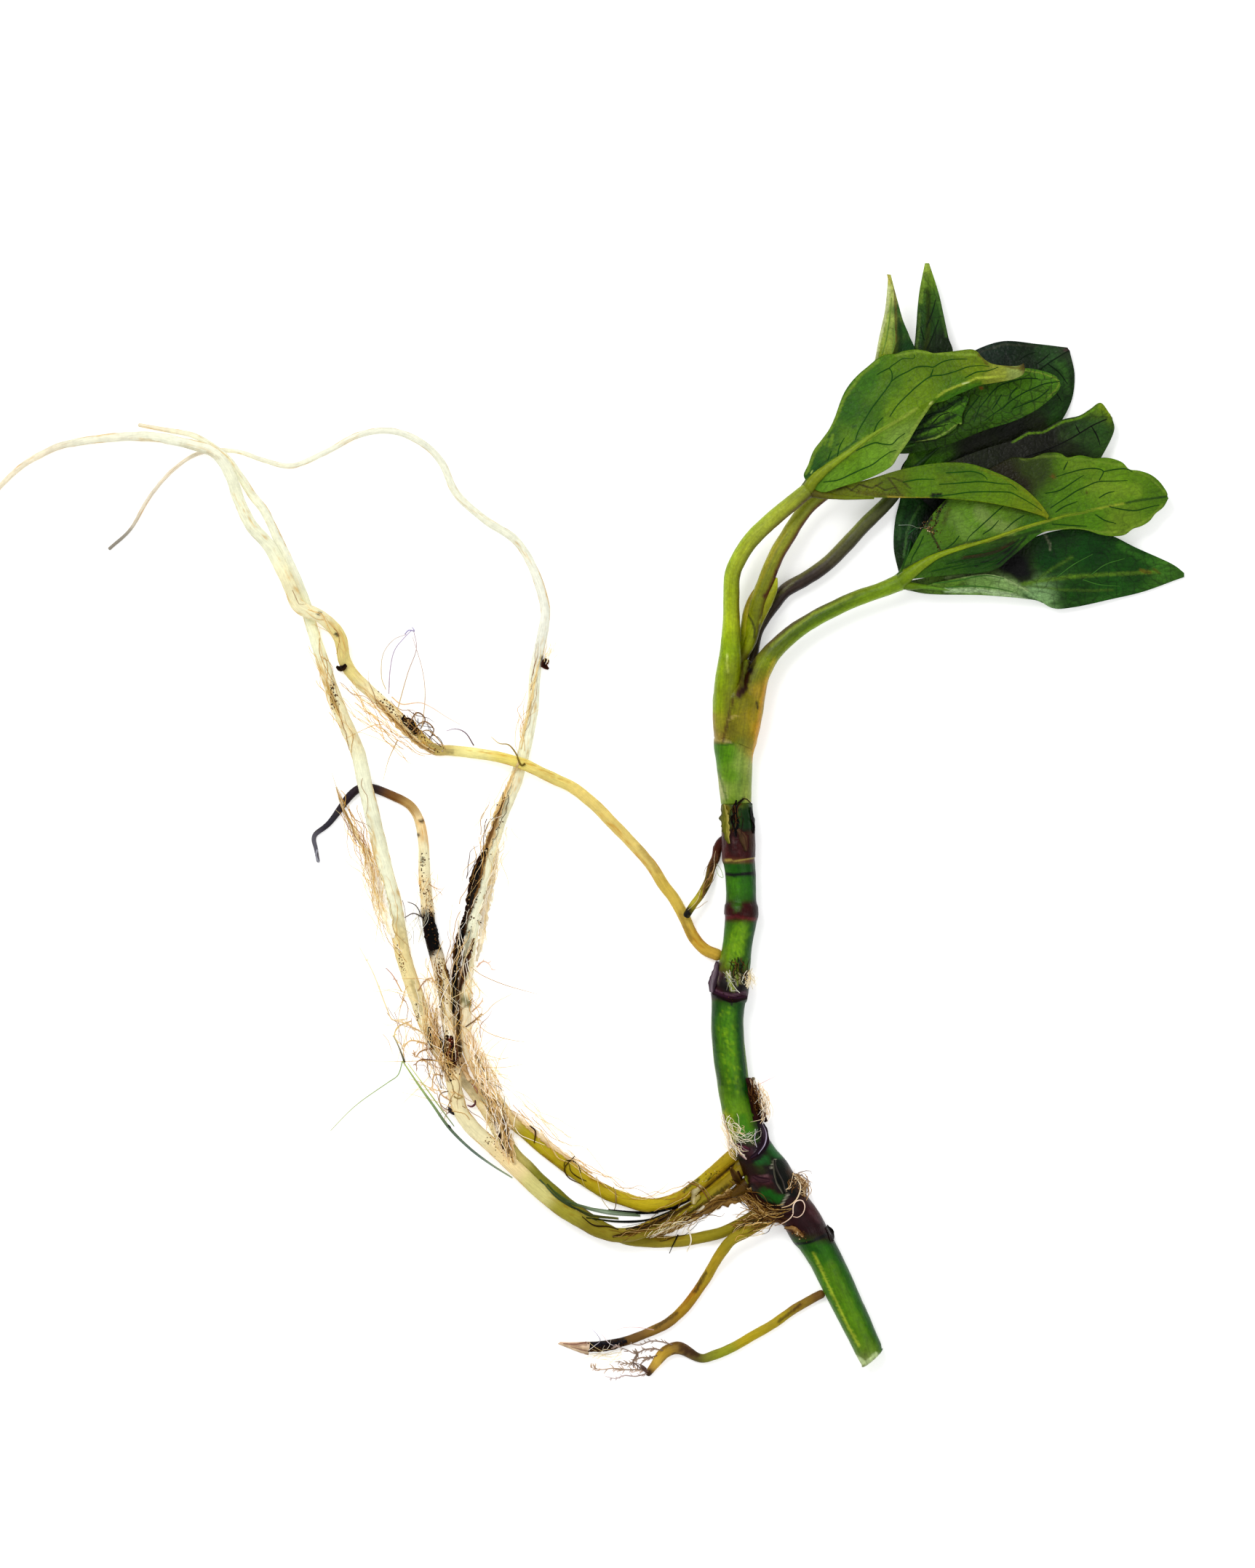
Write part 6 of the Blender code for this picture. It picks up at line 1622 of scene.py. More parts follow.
# %% The scale
FORK_SCALE = {
    "midrib": [(1052, 1543, 5.2), (1049, 1523, 5.8), (1042, 1502, 6.2), (1034, 1481, 6.4)],
    "left": [(1051, 1541, 4.4), (1045, 1523, 4.6), (1038, 1504, 5.2), (1033, 1483, 6.0)],
    "right": [(1052, 1542, 6.4), (1045, 1523, 7.6), (1039, 1503, 7.8), (1034, 1482, 7.0)],
    "ground": [("3a2420", 1050, 1536), ("5a4034", 1046, 1518), ("6a5a44", 1040, 1500),
               ("8a7a60", 1034, 1484)],
    "strokes": [("241814", 0.7, 2, [(1052, 1540), (1047, 1520)]),
                ("b8a888", 0.6, 1.6, [(1042, 1510), (1036, 1488)])],
}
fork_scale = leaflet("fork_scale", FORK_SCALE, scale_skin, 20.0, along=60, across=16, bend=0.3, cells=400)
hand_over(fork_scale, "scale", "fork_sheath")

# %% [markdown]
# ## Joints and midribs
# A stalk doesn't stop where its leaflets start: it swells a little, and runs on into each midrib. These joints
# are short tapering rods from inside the stalk's end to well into the leaflet, half sunk in the blade, so no
# gap shows at the crown of the leaf. The foot of the second stalk, in two parts, and the feet of three roots
# are made in the same way.

# %% Where the joints run
JOINTS = [  # route with heights in mm, widths in mm, colours along it
    ([(1098, 684, 13.2), (1108, 675, 14.0), (1120, 659, 14.6), (1140, 642, 15.0), (1170, 620, 15.4),
      (1200, 598, 15.65), (1235, 577, 15.7), (1262, 561, 15.6)],
     [3.6, 3.0, 1.9, 1.3, 0.9, 0.7, 0.4], ["7f8a20", "8a9a2a", "8fa834", "8fae3a", "84a430", "7a9c2a"]),
    ([(1100, 684, 13.0), (1114, 678, 13.2), (1132, 681, 12.7), (1160, 685, 12.6), (1200, 686, 12.8)],
     [3.4, 2.8, 1.5, 0.9, 0.5], ["5a4a1c", "6a6a20", "7a8a2a", "6a7a20"]),
    ([(1102, 680, 12.6), (1112, 664, 12.7), (1124, 640, 12.2), (1138, 606, 11.6)],
     [3.2, 2.6, 1.4, 0.7], ["5a5a1c", "5a7a20", "4a6a1c"]),
    ([(1196, 634, 8.9), (1212, 622, 9.3), (1228, 618, 9.5), (1256, 612, 9.6)],
     [3.4, 2.8, 1.4, 0.7], ["4a4a1c", "4a6a1c", "3a6a18"]),
    ([(1198, 633, 8.9), (1214, 617, 8.6), (1222, 600, 8.2), (1234, 572, 7.8)],
     [3.0, 2.4, 1.2, 0.6], ["3f3f1c", "34501c", "24381a"]),
    ([(1198, 633, 9.1), (1214, 627, 10.0), (1230, 617, 10.5), (1248, 606, 10.8)],
     [2.8, 2.4, 1.2, 0.6], ["4a4a1c", "4f7a1c", "4a7a18"]),
    ([(1226, 681, 4.8), (1240, 660, 5.5), (1262, 640, 5.5), (1290, 615, 5.2)],
     [3.2, 2.6, 1.4, 0.7], ["2a3a1c", "2a4a1c", "2a4a1a"]),
    ([(1226, 681, 4.8), (1240, 662, 6.2), (1262, 659, 6.9), (1300, 653, 7.0)],
     [3.2, 2.6, 1.4, 0.7], ["2a3a1c", "24301c", "1f241c"]),
    ([(1226, 681, 4.7), (1246, 668, 4.8), (1270, 675, 4.5), (1295, 683, 4.0)],
     [3.0, 2.4, 1.2, 0.6], ["2a3a1c", "24301c", "1f241c"]),
    ([(1224, 805, 7.4), (1238, 799, 8.0), (1254, 786, 9.1), (1276, 771, 10.0), (1300, 760, 10.5),
      (1354, 744, 10.8), (1410, 724, 10.75), (1466, 709, 10.2), (1510, 701, 9.2)],
     [4.2, 3.3, 1.7, 1.1, 0.8, 0.6, 0.5, 0.4, 0.3],
     ["6a8a1e", "86a026", "94ac2e", "9aae2a", "94a82a", "84a02a", "6f9a28"]),
    ([(1224, 806, 7.3), (1240, 804, 7.2), (1256, 806, 7.4), (1280, 808, 6.9), (1310, 812, 6.2)],
     [3.8, 2.8, 1.4, 1.0, 0.5], ["6a8a1e", "6a8a24", "6a9a3a", "6f9a44"]),
    ([(984, 1182, 1.0), (986, 1169, 1.3), (990, 1160, 2.2), (998, 1153, 3.4)],
     [2.2, 2.5, 2.7, 2.8], ["5a3020", "5a2c28", "4a2020", "3a1418"]),
    ([(1226, 803, 7.0), (1240, 790, 6.6), (1246, 770, 5.0), (1252, 745, 3.6)],
     [3.2, 2.4, 1.2, 0.6], ["5a7a1c", "2f5a1c", "1c4a20"]),
    # The wing and the ear of the second stalk's foot
    ([(1040, 806, 6.8), (1034, 820, 6.4), (1029, 840, 6.0), (1026, 862, 5.5), (1022, 888, 4.8),
      (1018, 910, 4.0)],
     [0.3, 2.2, 3.3, 3.4, 2.8, 2.0], ["9a8a34", "a08c34", "a8a030", "a4a82c", "8a9a28", "7a8420"]),
    ([(1067, 796, 6.9), (1064, 808, 6.8), (1058, 820, 6.5), (1050, 836, 6.1), (1041, 856, 5.5),
      (1034, 880, 4.7)],
     [0.8, 2.6, 3.4, 3.2, 2.8, 1.8], ["c8d040", "a4a830", "969a28", "98982a", "8a8c24", "6a6a1c"]),
    # The feet of the two roots that leave the fork together
    ([(1034, 1598, 1.8), (1018, 1603, 1.6), (1002, 1616, 1.3)],
     [4.6, 4.4, 2.6], ["20140c", "8a7420", "a08c24"]),
    ([(1044, 1622, 1.8), (1026, 1630, 1.6), (1008, 1642, 1.2)],
     [4.6, 4.2, 2.4], ["20140c", "5a4018", "6a4c1c"]),
]

# %% All joints as one piece
TAPER_STEP = 0.5  # mm between two rings
FEWEST_RINGS = 6
JOINT_SIDES = 16
JOINT_FLATNESS = 0.9
JOINT_TONE = (0.8, 0.8, 0.45)  # what the joints' colours are multiplied by


def tapering(route, widths):
    """An even path in metres along (x, y, height) points, and its widths in metres."""
    path = to_places(route)
    path = smooth(path, max(FEWEST_RINGS, int(length_of(path) / (TAPER_STEP * MM))))
    return path, stretched(widths, len(path)) * MM


def shaded(hexes, share):
    """Colours at shares of the way along a row of hex colours."""
    shades = np.array([linear(hexed) for hexed in hexes])
    stops = np.linspace(0, 1, len(hexes))
    return np.stack([np.interp(share, stops, shades[:, k]) for k in range(3)], 1)


points, faces, tints, uvs = [], [], [], []
for number, (route, widths, colours) in enumerate(JOINTS):
    path, sizes = tapering(route, widths)
    rod = Rod(path, sizes, sizes * JOINT_FLATNESS, JOINT_SIDES, lump=0.06, cells=350, seed=number * 3.7,
              blunt=0.4)
    first = sum(len(p) for p in points)
    points.append(rod.points)
    faces += [tuple(first + k for k in face) for face in rod.faces]
    tints.append(shaded(colours, rod.along) * JOINT_TONE)
    uvs.append(rod.uv)
joints = add_piece("joints", np.concatenate(points), faces, np.concatenate(tints), stalk_skin,
                   uv=np.concatenate(uvs))
hand_over(joints, "stalk")

# %% [markdown]
# ## The crown's folds
# Two broad folds of the sheath run up into the first and the last stalk. Each is a rod that starts sunk in
# the sheath and ends around the stalk, so the two pieces flow into each other. The sheath's own narrow end
# closes the dark crevice between them.

# %% Folds
FOLD_SIDES = 40
CROWN_FOLDS = {  # route with heights in mm, widths in mm
    "crown_fold_left": ([(1003, 1052, 4.2), (1000, 1024, 5.2), (998, 1000, 6.1), (997, 975, 6.8),
                         (998, 955, 7.15), (1000, 930, 7.4), (1003, 905, 7.55)],
                        [4.0, 6.2, 7.1, 7.1, 6.9, 6.7, 6.1]),
    "crown_fold_right": ([(1022, 1052, 4.4), (1024, 1030, 5.0), (1028, 1000, 5.8), (1032, 975, 6.5),
                          (1035, 955, 6.8), (1041, 930, 6.8), (1055, 905, 6.6)],
                         [4.0, 5.4, 6.6, 6.9, 6.8, 6.4, 5.5]),
}
for name, (route, widths) in CROWN_FOLDS.items():
    path, sizes = tapering(route, widths)
    rod = Rod(path, sizes, sizes, FOLD_SIDES, lump=0.02, cells=200, seed=path[0, 0] * 1000, blunt=0.1)
    fold = add_piece(name, rod.points, rod.faces, crown_colours(rod.spots), stalk_skin, uv=rod.uv)
    hand_over(fold, "stalk")

# %% [markdown]
# ## Threads
# Leaf veins, root hairs and torn fibres are all thin threads that follow a path. Drawing each as a mesh would
# be slow, so they are collected as plain lines whose points carry a girth and a tint, and one Geometry Nodes
# tree turns all lines of a piece into tubes at once: lines to curves, curves to tubes of a given girth.


# %% Helpers for trees of nodes
def new_tree(name, sockets):
    """An empty Geometry Nodes tree, its named inputs, and a function that adds nodes."""
    tree = bpy.data.node_groups.new(name, "GeometryNodeTree")
    tree.interface.new_socket("Geometry", in_out="INPUT", socket_type="NodeSocketGeometry")
    tree.interface.new_socket("Geometry", in_out="OUTPUT", socket_type="NodeSocketGeometry")
    for label, kind in sockets.items():
        tree.interface.new_socket(label, in_out="INPUT", socket_type="NodeSocket" + kind)
    return tree, tree.nodes.new("NodeGroupInput").outputs, node_adder(tree)


def end_tree(add, given, geometry):
    """The end of every tree: instances made real, and the skin put on."""
    real = add("GeometryNodeRealizeInstances", {"Geometry": geometry})
    coated = add("GeometryNodeSetMaterial", {"Geometry": real.outputs["Geometry"], "Material": given["Skin"]})
    add("NodeGroupOutput", {"Geometry": coated.outputs["Geometry"]})


def bare_lines(name, places, edges, girths, colours):
    """An object of bare points and edges, with a girth in metres and a tint for each point."""
    mesh = bpy.data.meshes.new(name)
    mesh.from_pydata(places, edges, [])
    mesh.attributes.new("girth", "FLOAT", "POINT").data.foreach_set("value", girths)
    lay_paint(mesh, colours)
    return put_in_scene(name, mesh)


def grow(tree, source, name, values):
    """Run a tree on an object, remove the object, and keep the result as a plain mesh object."""
    modifier = source.modifiers.new(name, "NODES")
    modifier.node_group = tree
    for item in tree.interface.items_tree:
        if item.in_out == "INPUT" and item.name in values:
            modifier[item.identifier] = values[item.name]
    evaluated = source.evaluated_get(bpy.context.evaluated_depsgraph_get())
    mesh = bpy.data.meshes.new_from_object(evaluated)
    source.modifiers.remove(modifier)
    bpy.data.objects.remove(source)
    mesh.calc_loop_triangles()
    print(name, "has", len(mesh.loop_triangles), "triangles")
    return put_in_scene(name, mesh)


# %% The tree for threads
thread_tree, given, add = new_tree("thread_tree", {"Sides": "Int", "Skin": "Material"})
lines = add("GeometryNodeMeshToCurve", {"Mesh": given["Geometry"]})
section = add("GeometryNodeCurvePrimitiveCircle", {"Resolution": given["Sides"], "Radius": 1.0},
              mode="RADIUS")
girth = add("GeometryNodeInputNamedAttribute", {"Name": "girth"}, data_type="FLOAT")
tubes = add("GeometryNodeCurveToMesh", {"Curve": lines.outputs["Curve"],
                                        "Profile Curve": section.outputs["Curve"],
                                        "Scale": girth.outputs["Attribute"], "Fill Caps": True})
rounded = add("GeometryNodeSetShadeSmooth", {"Geometry": tubes.outputs["Mesh"]})
end_tree(add, given, rounded.outputs["Geometry"])
print("thread tree:", len(thread_tree.nodes), "nodes")


# %% Threads laid on the plant
LOWEST_THREAD = 0.2  # mm over the table
RAY_START = 0.05  # metres over the table, higher than every piece


class Threads:
    """Lines that wait to become threads."""

    def __init__(self):
        self.places, self.girths, self.tints, self.edges = [], [], [], []

    def lay(self, places, girths, colours):
        """Add a line: places in metres, girths (radii) in mm along it, hex colours along it."""
        first = sum(len(p) for p in self.places)
        self.places.append(places)
        self.girths.append(stretched(girths, len(places)) * MM)
        self.tints.append(shaded(colours, np.linspace(0, 1, len(places))))
        self.edges += [(first + k, first + k + 1) for k in range(len(places) - 1)]

    def spin(self, name, finish, sides):
        """Turn the lines into one mesh object of tubes."""
        source = bare_lines(name + "_lines", np.concatenate(self.places).tolist(), self.edges,
                            np.concatenate(self.girths), np.concatenate(self.tints))
        return grow(thread_tree, source, name, {"Sides": sides, "Skin": finish})


def top_at(tree, spot):
    """How high in metres what the tree holds reaches at a place, or None beside it."""
    hit = tree.ray_cast(Vector((spot[0], spot[1], RAY_START)), Vector((0, 0, -1)))[0]
    return None if hit is None else hit.z


def resting(line, tree, lift, step, calm=0):
    """A drawn line of pixels, smoothed, that lies lift mm above what the tree holds, or on the table.

    step: the length of its pieces in mm. calm: how many times the steps in its height are bridged.
    """
    line = smooth(line, max(3, int(length_of(line) * PIXEL / (step * MM))), by=2)
    places = np.stack([place(x, y, LOWEST_THREAD) for x, y in line[:, :2]])
    for spot in places:
        top = top_at(tree, spot)
        if top is not None:
            spot[2] = max(top + lift * MM, LOWEST_THREAD * MM)
    for _ in range(calm):
        # Threads are stiff: they bridge small steps instead of following them
        heights = np.pad(places[:, 2], 1, mode="edge")
        places[:, 2] = np.maximum(places[:, 2], (heights[:-2] + heights[2:]) / 2)
    return places


# %% Leaf veins
VEIN_GIRTHS = [0.13, 0.17, 0.15, 0.09]
VEIN_DROP = 2.5 * MM  # a point that lies this much lower than the vein's highest has left the blade

veins = Threads()
for name, (blade, *_) in LEAFLETS.items():
    tree = tree_of(leaf_pieces[name])
    for line in blade["veins"]["lines"]:
        places = resting(line, tree, 0.03, step=0.5)
        on_blade = places[:, 2] > places[:, 2].max() - VEIN_DROP
        veins.lay(places[on_blade], VEIN_GIRTHS, [blade["veins"]["hex"]])
hand_over(veins.spin("leaf_veins", vein_skin, sides=6), "leaf")

# %% [markdown]
# ## Old bark and papery scraps
# Where a root rots, its bark comes off as a dark flattened strip beside the sound core, and the nodes of the
# rhizome keep shreds of dead leaf bases. These are thin ragged sheets. Each is drawn as a route with widths,
# laid down onto what lies under it, torn at both edges with noise, and closed with an underside.

# %% The outline and the lie of a ragged strip
STRIP_ACROSS = 8
STRIP_STEP = 2.2  # pixels between two rows
STRIP_THICKNESS = 0.12 * MM
TIGHT_LIFT = 0.25  # mm; a strip with no more lift than this is drawn tight over the gaps under it


def height_at(tree, x, y):
    """How high the plant reaches above a pixel, in metres, or 0 beside it."""
    return top_at(tree, place(x, y)) or 0.0


def torn_rows(route, widths, ragged, seed):
    """The pixels of a strip in rows across it, with both edges torn by noise."""
    line = smooth(route, max(5, int(length_of(route) / STRIP_STEP)), by=2)
    ahead = np.gradient(line, axis=0)
    ahead /= np.linalg.norm(ahead, axis=1)[:, None]
    half = stretched(widths, len(line)) / 2
    spots = np.zeros((len(line), STRIP_ACROSS + 1, 2))
    for i, j in np.ndindex(spots.shape[:2]):
        share = 2 * j / STRIP_ACROSS - 1
        torn = noise.noise(Vector((i * 0.31, math.copysign(3, share), seed * 7.0)))
        torn += 0.6 * noise.noise(Vector((i * 0.9, math.copysign(5, share), seed * 3.0)))
        reach = share * half[i] * (1 + ragged * torn * abs(share))
        spots[i, j] = line[i] + np.array([ahead[i, 1], -ahead[i, 0]]) * -reach
    return spots


def draped(spots, tree, lift, seed):
    """The heights in metres of a strip that lies on what the tree holds, a little crumpled."""
    tops = np.array([[height_at(tree, *spot) for spot in row] for row in spots])
    for _ in range(3 if lift > TIGHT_LIFT else 30):
        padded = np.pad(tops, 1, mode="edge")
        around = (padded[:-2, 1:-1] + padded[2:, 1:-1] + padded[1:-1, :-2] + padded[1:-1, 2:]) / 4
        tops = np.maximum(tops, around)
    crumpled = np.array([[noise.noise(Vector((*spot, seed)) * 0.16) for spot in row] for row in spots])
    return np.maximum(tops + (lift + 0.25 * crumpled) * MM, LOWEST_THREAD * MM)


# %% Strips as one piece
def strip_colours(colours, high, seed):
    """Colours from left to right across the rows of a strip, that drift to and fro along it."""
    shades = np.array([linear(hexed) for hexed in colours])
    across = stretched(np.arange(len(colours)), STRIP_ACROSS + 1)
    tints = []
    for i, j in np.ndindex(high, STRIP_ACROSS + 1):
        drift = noise.noise(Vector((i * 0.12, j * 0.8, seed * 2.0))) * 0.9
        where = min(max(across[j] + drift, 0), len(colours) - 1)
        low = min(int(where), len(colours) - 2)
        tints.append(shades[low] * (1 - where + low) + shades[low + 1] * (where - low))
    return tints


def bark_strips(name, strips, tree, finish):
    """One piece of strips (route, widths in px, lift in mm, roughness of edges, colours left to right)."""
    points, faces, tints = [], [], []
    for seed, (route, widths, lift, ragged, colours) in enumerate(strips):
        spots = torn_rows(route, widths, ragged, seed)
        upper = np.dstack([(spots[:, :, 0] - ORIGIN_PIXEL[0]) * PIXEL,
                           (ORIGIN_PIXEL[1] - spots[:, :, 1]) * PIXEL,
                           draped(spots, tree, lift, seed)]).reshape(-1, 3)
        number = sum(len(p) for p in points) + np.arange(len(upper)).reshape(spots.shape[:2])
        points.append(np.concatenate([upper, upper - np.array([0, 0, STRIP_THICKNESS])]))
        faces += sheet_faces(number, mirrored=True)
        tints += strip_colours(colours, len(spots), seed) * 2
    return add_piece(name, np.concatenate(points), faces, np.array(tints), finish)


# %% Strips on the roots
ROOT_STRIPS = [
    ([(714, 1046), (704, 1068), (691, 1098), (679, 1124)], [2, 5, 7, 6], 0.3, 0.6,
     ["ecd8a8", "c9a468", "e8d4a0"]),
    ([(694, 1096), (684, 1124), (673, 1154), (664, 1182)], [3, 7, 11, 7], 0.5, 0.7,
     ["dcc08c", "8a6438", "5a3c20", "d0b078"]),
    ([(670, 1166), (659, 1188), (653, 1212), (646, 1240), (640, 1264)], [4, 13, 16, 12, 6], 0.8, 0.4,
     ["8a6438", "1c1210", "0e0a0a", "120c0c", "3a2618"]),
    ([(646, 1244), (637, 1272), (630, 1302), (627, 1332), (624, 1366), (623, 1394)], [4, 9, 13, 11, 9, 4],
     1.2, 0.4, ["5a4028", "140e0e", "0e0a0a", "1c1212", "4a3018"]),
    ([(685, 1168), (677, 1210), (667, 1252), (662, 1290), (655, 1322)], [2, 6, 11, 9, 3], 0.4, 0.8,
     ["f8f0dc", "e0cca4", "f4ecd8", "d0b488"]),
    ([(652, 1290), (645, 1310), (638, 1334), (631, 1362)], [3, 7, 9, 4], 0.9, 0.6,
     ["6a4a34", "2a1a14", "3a2618", "d8b890"]),
    ([(744, 900), (735, 936), (729, 968), (722, 1000), (716, 1030)], [1, 3, 4, 3, 1], 0.3, 0.8,
     ["f0e0b0", "d4b470", "e8d8a8"]),
    ([(462, 1082), (470, 1108), (486, 1142), (501, 1170), (512, 1200)], [2, 4, 5, 5, 3], 0.5, 0.7,
     ["f0e4c0", "c4a468", "e8dcb8", "c8bc9c"]),
    ([(504, 1166), (513, 1196), (521, 1226), (530, 1258), (540, 1290)], [5, 15, 18, 14, 6], 0.4, 0.5,
     ["fbf4dc", "fffaf0", "f0e6c8", "fdf6e2"]),
    ([(448, 934), (454, 952), (460, 968), (466, 984)], [2, 7, 8, 3], 0.3, 0.7,
     ["dcc890", "a07c30", "d8bc78"]),
    ([(517, 962), (536, 984), (556, 1004), (576, 1023), (597, 1035)], [3, 8, 10, 8, 3], 0.4, 0.7,
     ["ecdcae", "c8a468", "8a6434", "b89058", "e4cc94"]),
    ([(553, 986), (563, 994), (573, 1006)], [6, 13, 5], 1.1, 0.7, ["2a1a10", "0c0a0a", "1c1410"]),
    ([(588, 1256), (592, 1282), (598, 1306)], [12, 20, 14], 0.3, 0.35,
     ["1c1410", "0c0a0a", "0f0d0c", "241a14"]),
    ([(597, 1322), (606, 1346), (611, 1372)], [4, 9, 4], 0.3, 0.7, ["a07028", "5a3814", "b88a48"]),
    ([(618, 1424), (621, 1440), (622, 1454), (624, 1468)], [5, 15, 15, 6], 1.4, 0.8,
     ["5a2c1c", "1c100e", "6a3020", "241410"]),
    ([(604, 1318), (609, 1346), (612, 1376), (615, 1402), (619, 1426)], [12, 15, 16, 17, 12], 1.0, 0.12,
     ["a8844c", "dccca4", "e8dcbc", "d8caa4", "c8b088"]),
    ([(602, 1326), (605, 1350), (608, 1376), (610, 1400)], [3, 6, 5, 2], 1.3, 0.9,
     ["5a3c1c", "8a6430", "6a4824"]),
    ([(611, 1326), (615, 1340), (619, 1352)], [3, 5, 2], 1.3, 0.9, ["3a2414", "6a4a24"]),
    ([(590, 1412), (591, 1428), (593, 1444)], [3, 7, 3], 1.0, 0.4, ["241814", "140e0e", "2c1c16"]),
    ([(604, 1424), (609, 1442), (616, 1458)], [2, 6, 3], 1.2, 0.6, ["2c1c16", "140e0e", "3a2418"]),
    ([(600, 1386), (598, 1420), (606, 1454), (616, 1486)], [3, 9, 12, 4], 0.8, 0.7,
     ["e0cca0", "c09c6c", "9a7244", "dcc8a0"]),
    ([(644, 1418), (654, 1450), (668, 1484), (682, 1516)], [5, 16, 18, 7], 1.0, 0.8,
     ["f4e0c0", "e0bc90", "f4e4c8", "c89c68", "f4e0c0", "e8cca0"]),
    ([(676, 1500), (688, 1530), (697, 1562), (706, 1598)], [5, 15, 14, 5], 1.2, 0.8,
     ["f0dcb0", "d8b478", "8a6430", "d8b474", "f0dcac"]),
    ([(690, 1530), (696, 1560), (700, 1586)], [2, 5, 2], 2.0, 0.8, ["3a2018", "1c120e", "4a2c1c"]),
    ([(704, 1529), (728, 1550), (751, 1570), (783, 1593), (814, 1614)], [4, 8, 8, 6, 2], 0.1, 0.7,
     ["fbf0d8", "f0dcbc", "e4c898", "b89458"]),
    ([(632, 1446), (637, 1466), (645, 1486)], [4, 9, 4], 0.6, 0.5, ["c8a878", "e8cca0", "d8b888"]),
    ([(629, 1362), (630, 1392), (629, 1424), (632, 1462)], [5, 9, 10, 7], 0.5, 0.5,
     ["d8bc8c", "6a4c2c", "1c1412", "8a6840", "e0c89c"]),
    ([(666, 1500), (676, 1524), (684, 1552), (692, 1580)], [2, 5, 5, 2], 1.9, 0.7,
     ["3a2418", "1c120e", "5a3c20"]),
    ([(652, 1440), (660, 1462), (670, 1486)], [2, 4, 2], 1.6, 0.7, ["6a4828", "2c1c12", "8a6438"]),
    ([(1014, 1598), (996, 1611), (974, 1630), (948, 1648), (920, 1663)], [10, 12, 9, 7, 3], 0.1, 0.1,
     ["a08c20", "7a6018", "2a1e10", "8a6e1c", "a08420"]),
    ([(1014, 1610), (1020, 1630), (1034, 1648), (1054, 1666), (1080, 1680)], [3, 13, 20, 20, 8], 0.1, 0.2,
     ["241410", "3a2418", "2a1812", "4a3020", "6a4c30"]),
    ([(1003, 1604), (1011, 1618), (1020, 1634)], [4, 10, 6], 0.2, 0.2, ["5a4420", "3a2818", "4a3420"]),
    ([(1034, 1638), (1014, 1644), (990, 1652), (964, 1667), (938, 1683), (914, 1696), (892, 1703)],
     [12, 22, 16, 12, 9, 6, 2], 0.1, 0.5, ["6a4c24", "9a7a48", "4a3018", "8a6834", "b89c68"]),
    ([(964, 1630), (956, 1643), (954, 1656)], [7, 14, 6], 0.5, 0.5, ["8a7a34", "b0a060", "d0c498", "7a6424"]),
    ([(968, 1658), (960, 1668), (954, 1678)], [4, 8, 3], 0.7, 0.7, ["a89870", "e0d8c4", "9a8660"]),
    ([(940, 1654), (900, 1680), (860, 1690)], [2, 5, 2], 0.3, 0.5, ["2a2210", "14100a", "3a2c14"]),
    ([(842, 1700), (880, 1690), (920, 1672), (950, 1655)], [3, 6, 6, 3], 0.3, 0.6,
     ["4a3a18", "2a200f", "5a4418"]),
    ([(767, 1848), (779, 1850), (794, 1853), (810, 1855)], [1.5, 7, 13, 18], 0.4, 0.12,
     ["c89c84", "e8ccb0", "d4b490", "e0c8a4", "a88468"]),
    ([(774, 1848), (790, 1849), (806, 1847)], [1, 3, 4], 0.8, 0.4, ["a87c68", "7a5444", "c8a488"]),
    ([(784, 1852), (796, 1856), (808, 1860)], [1, 3, 4], 0.8, 0.4, ["b08c74", "8a6450", "e0c8a8"]),
    ([(862, 1845), (840, 1851), (808, 1853)], [6, 13, 13], 0.25, 0.15,
     ["4a3420", "241c1a", "1c1c20", "2a282c"]),
    ([(752, 906), (748, 914), (754, 920)], [7, 10, 3], 0.8, 0.5, ["4a2418", "1c1010", "5a3428"]),
    ([(476, 914), (468, 920), (462, 916)], [5, 9, 3], 0.8, 0.5, ["3a2818", "100c0c", "2a1c14"]),
]
root_strips = bark_strips("root_bark", ROOT_STRIPS, tree_of(*root_pieces.values(), rhizome), bark_skin)
hand_over(root_strips, "root")

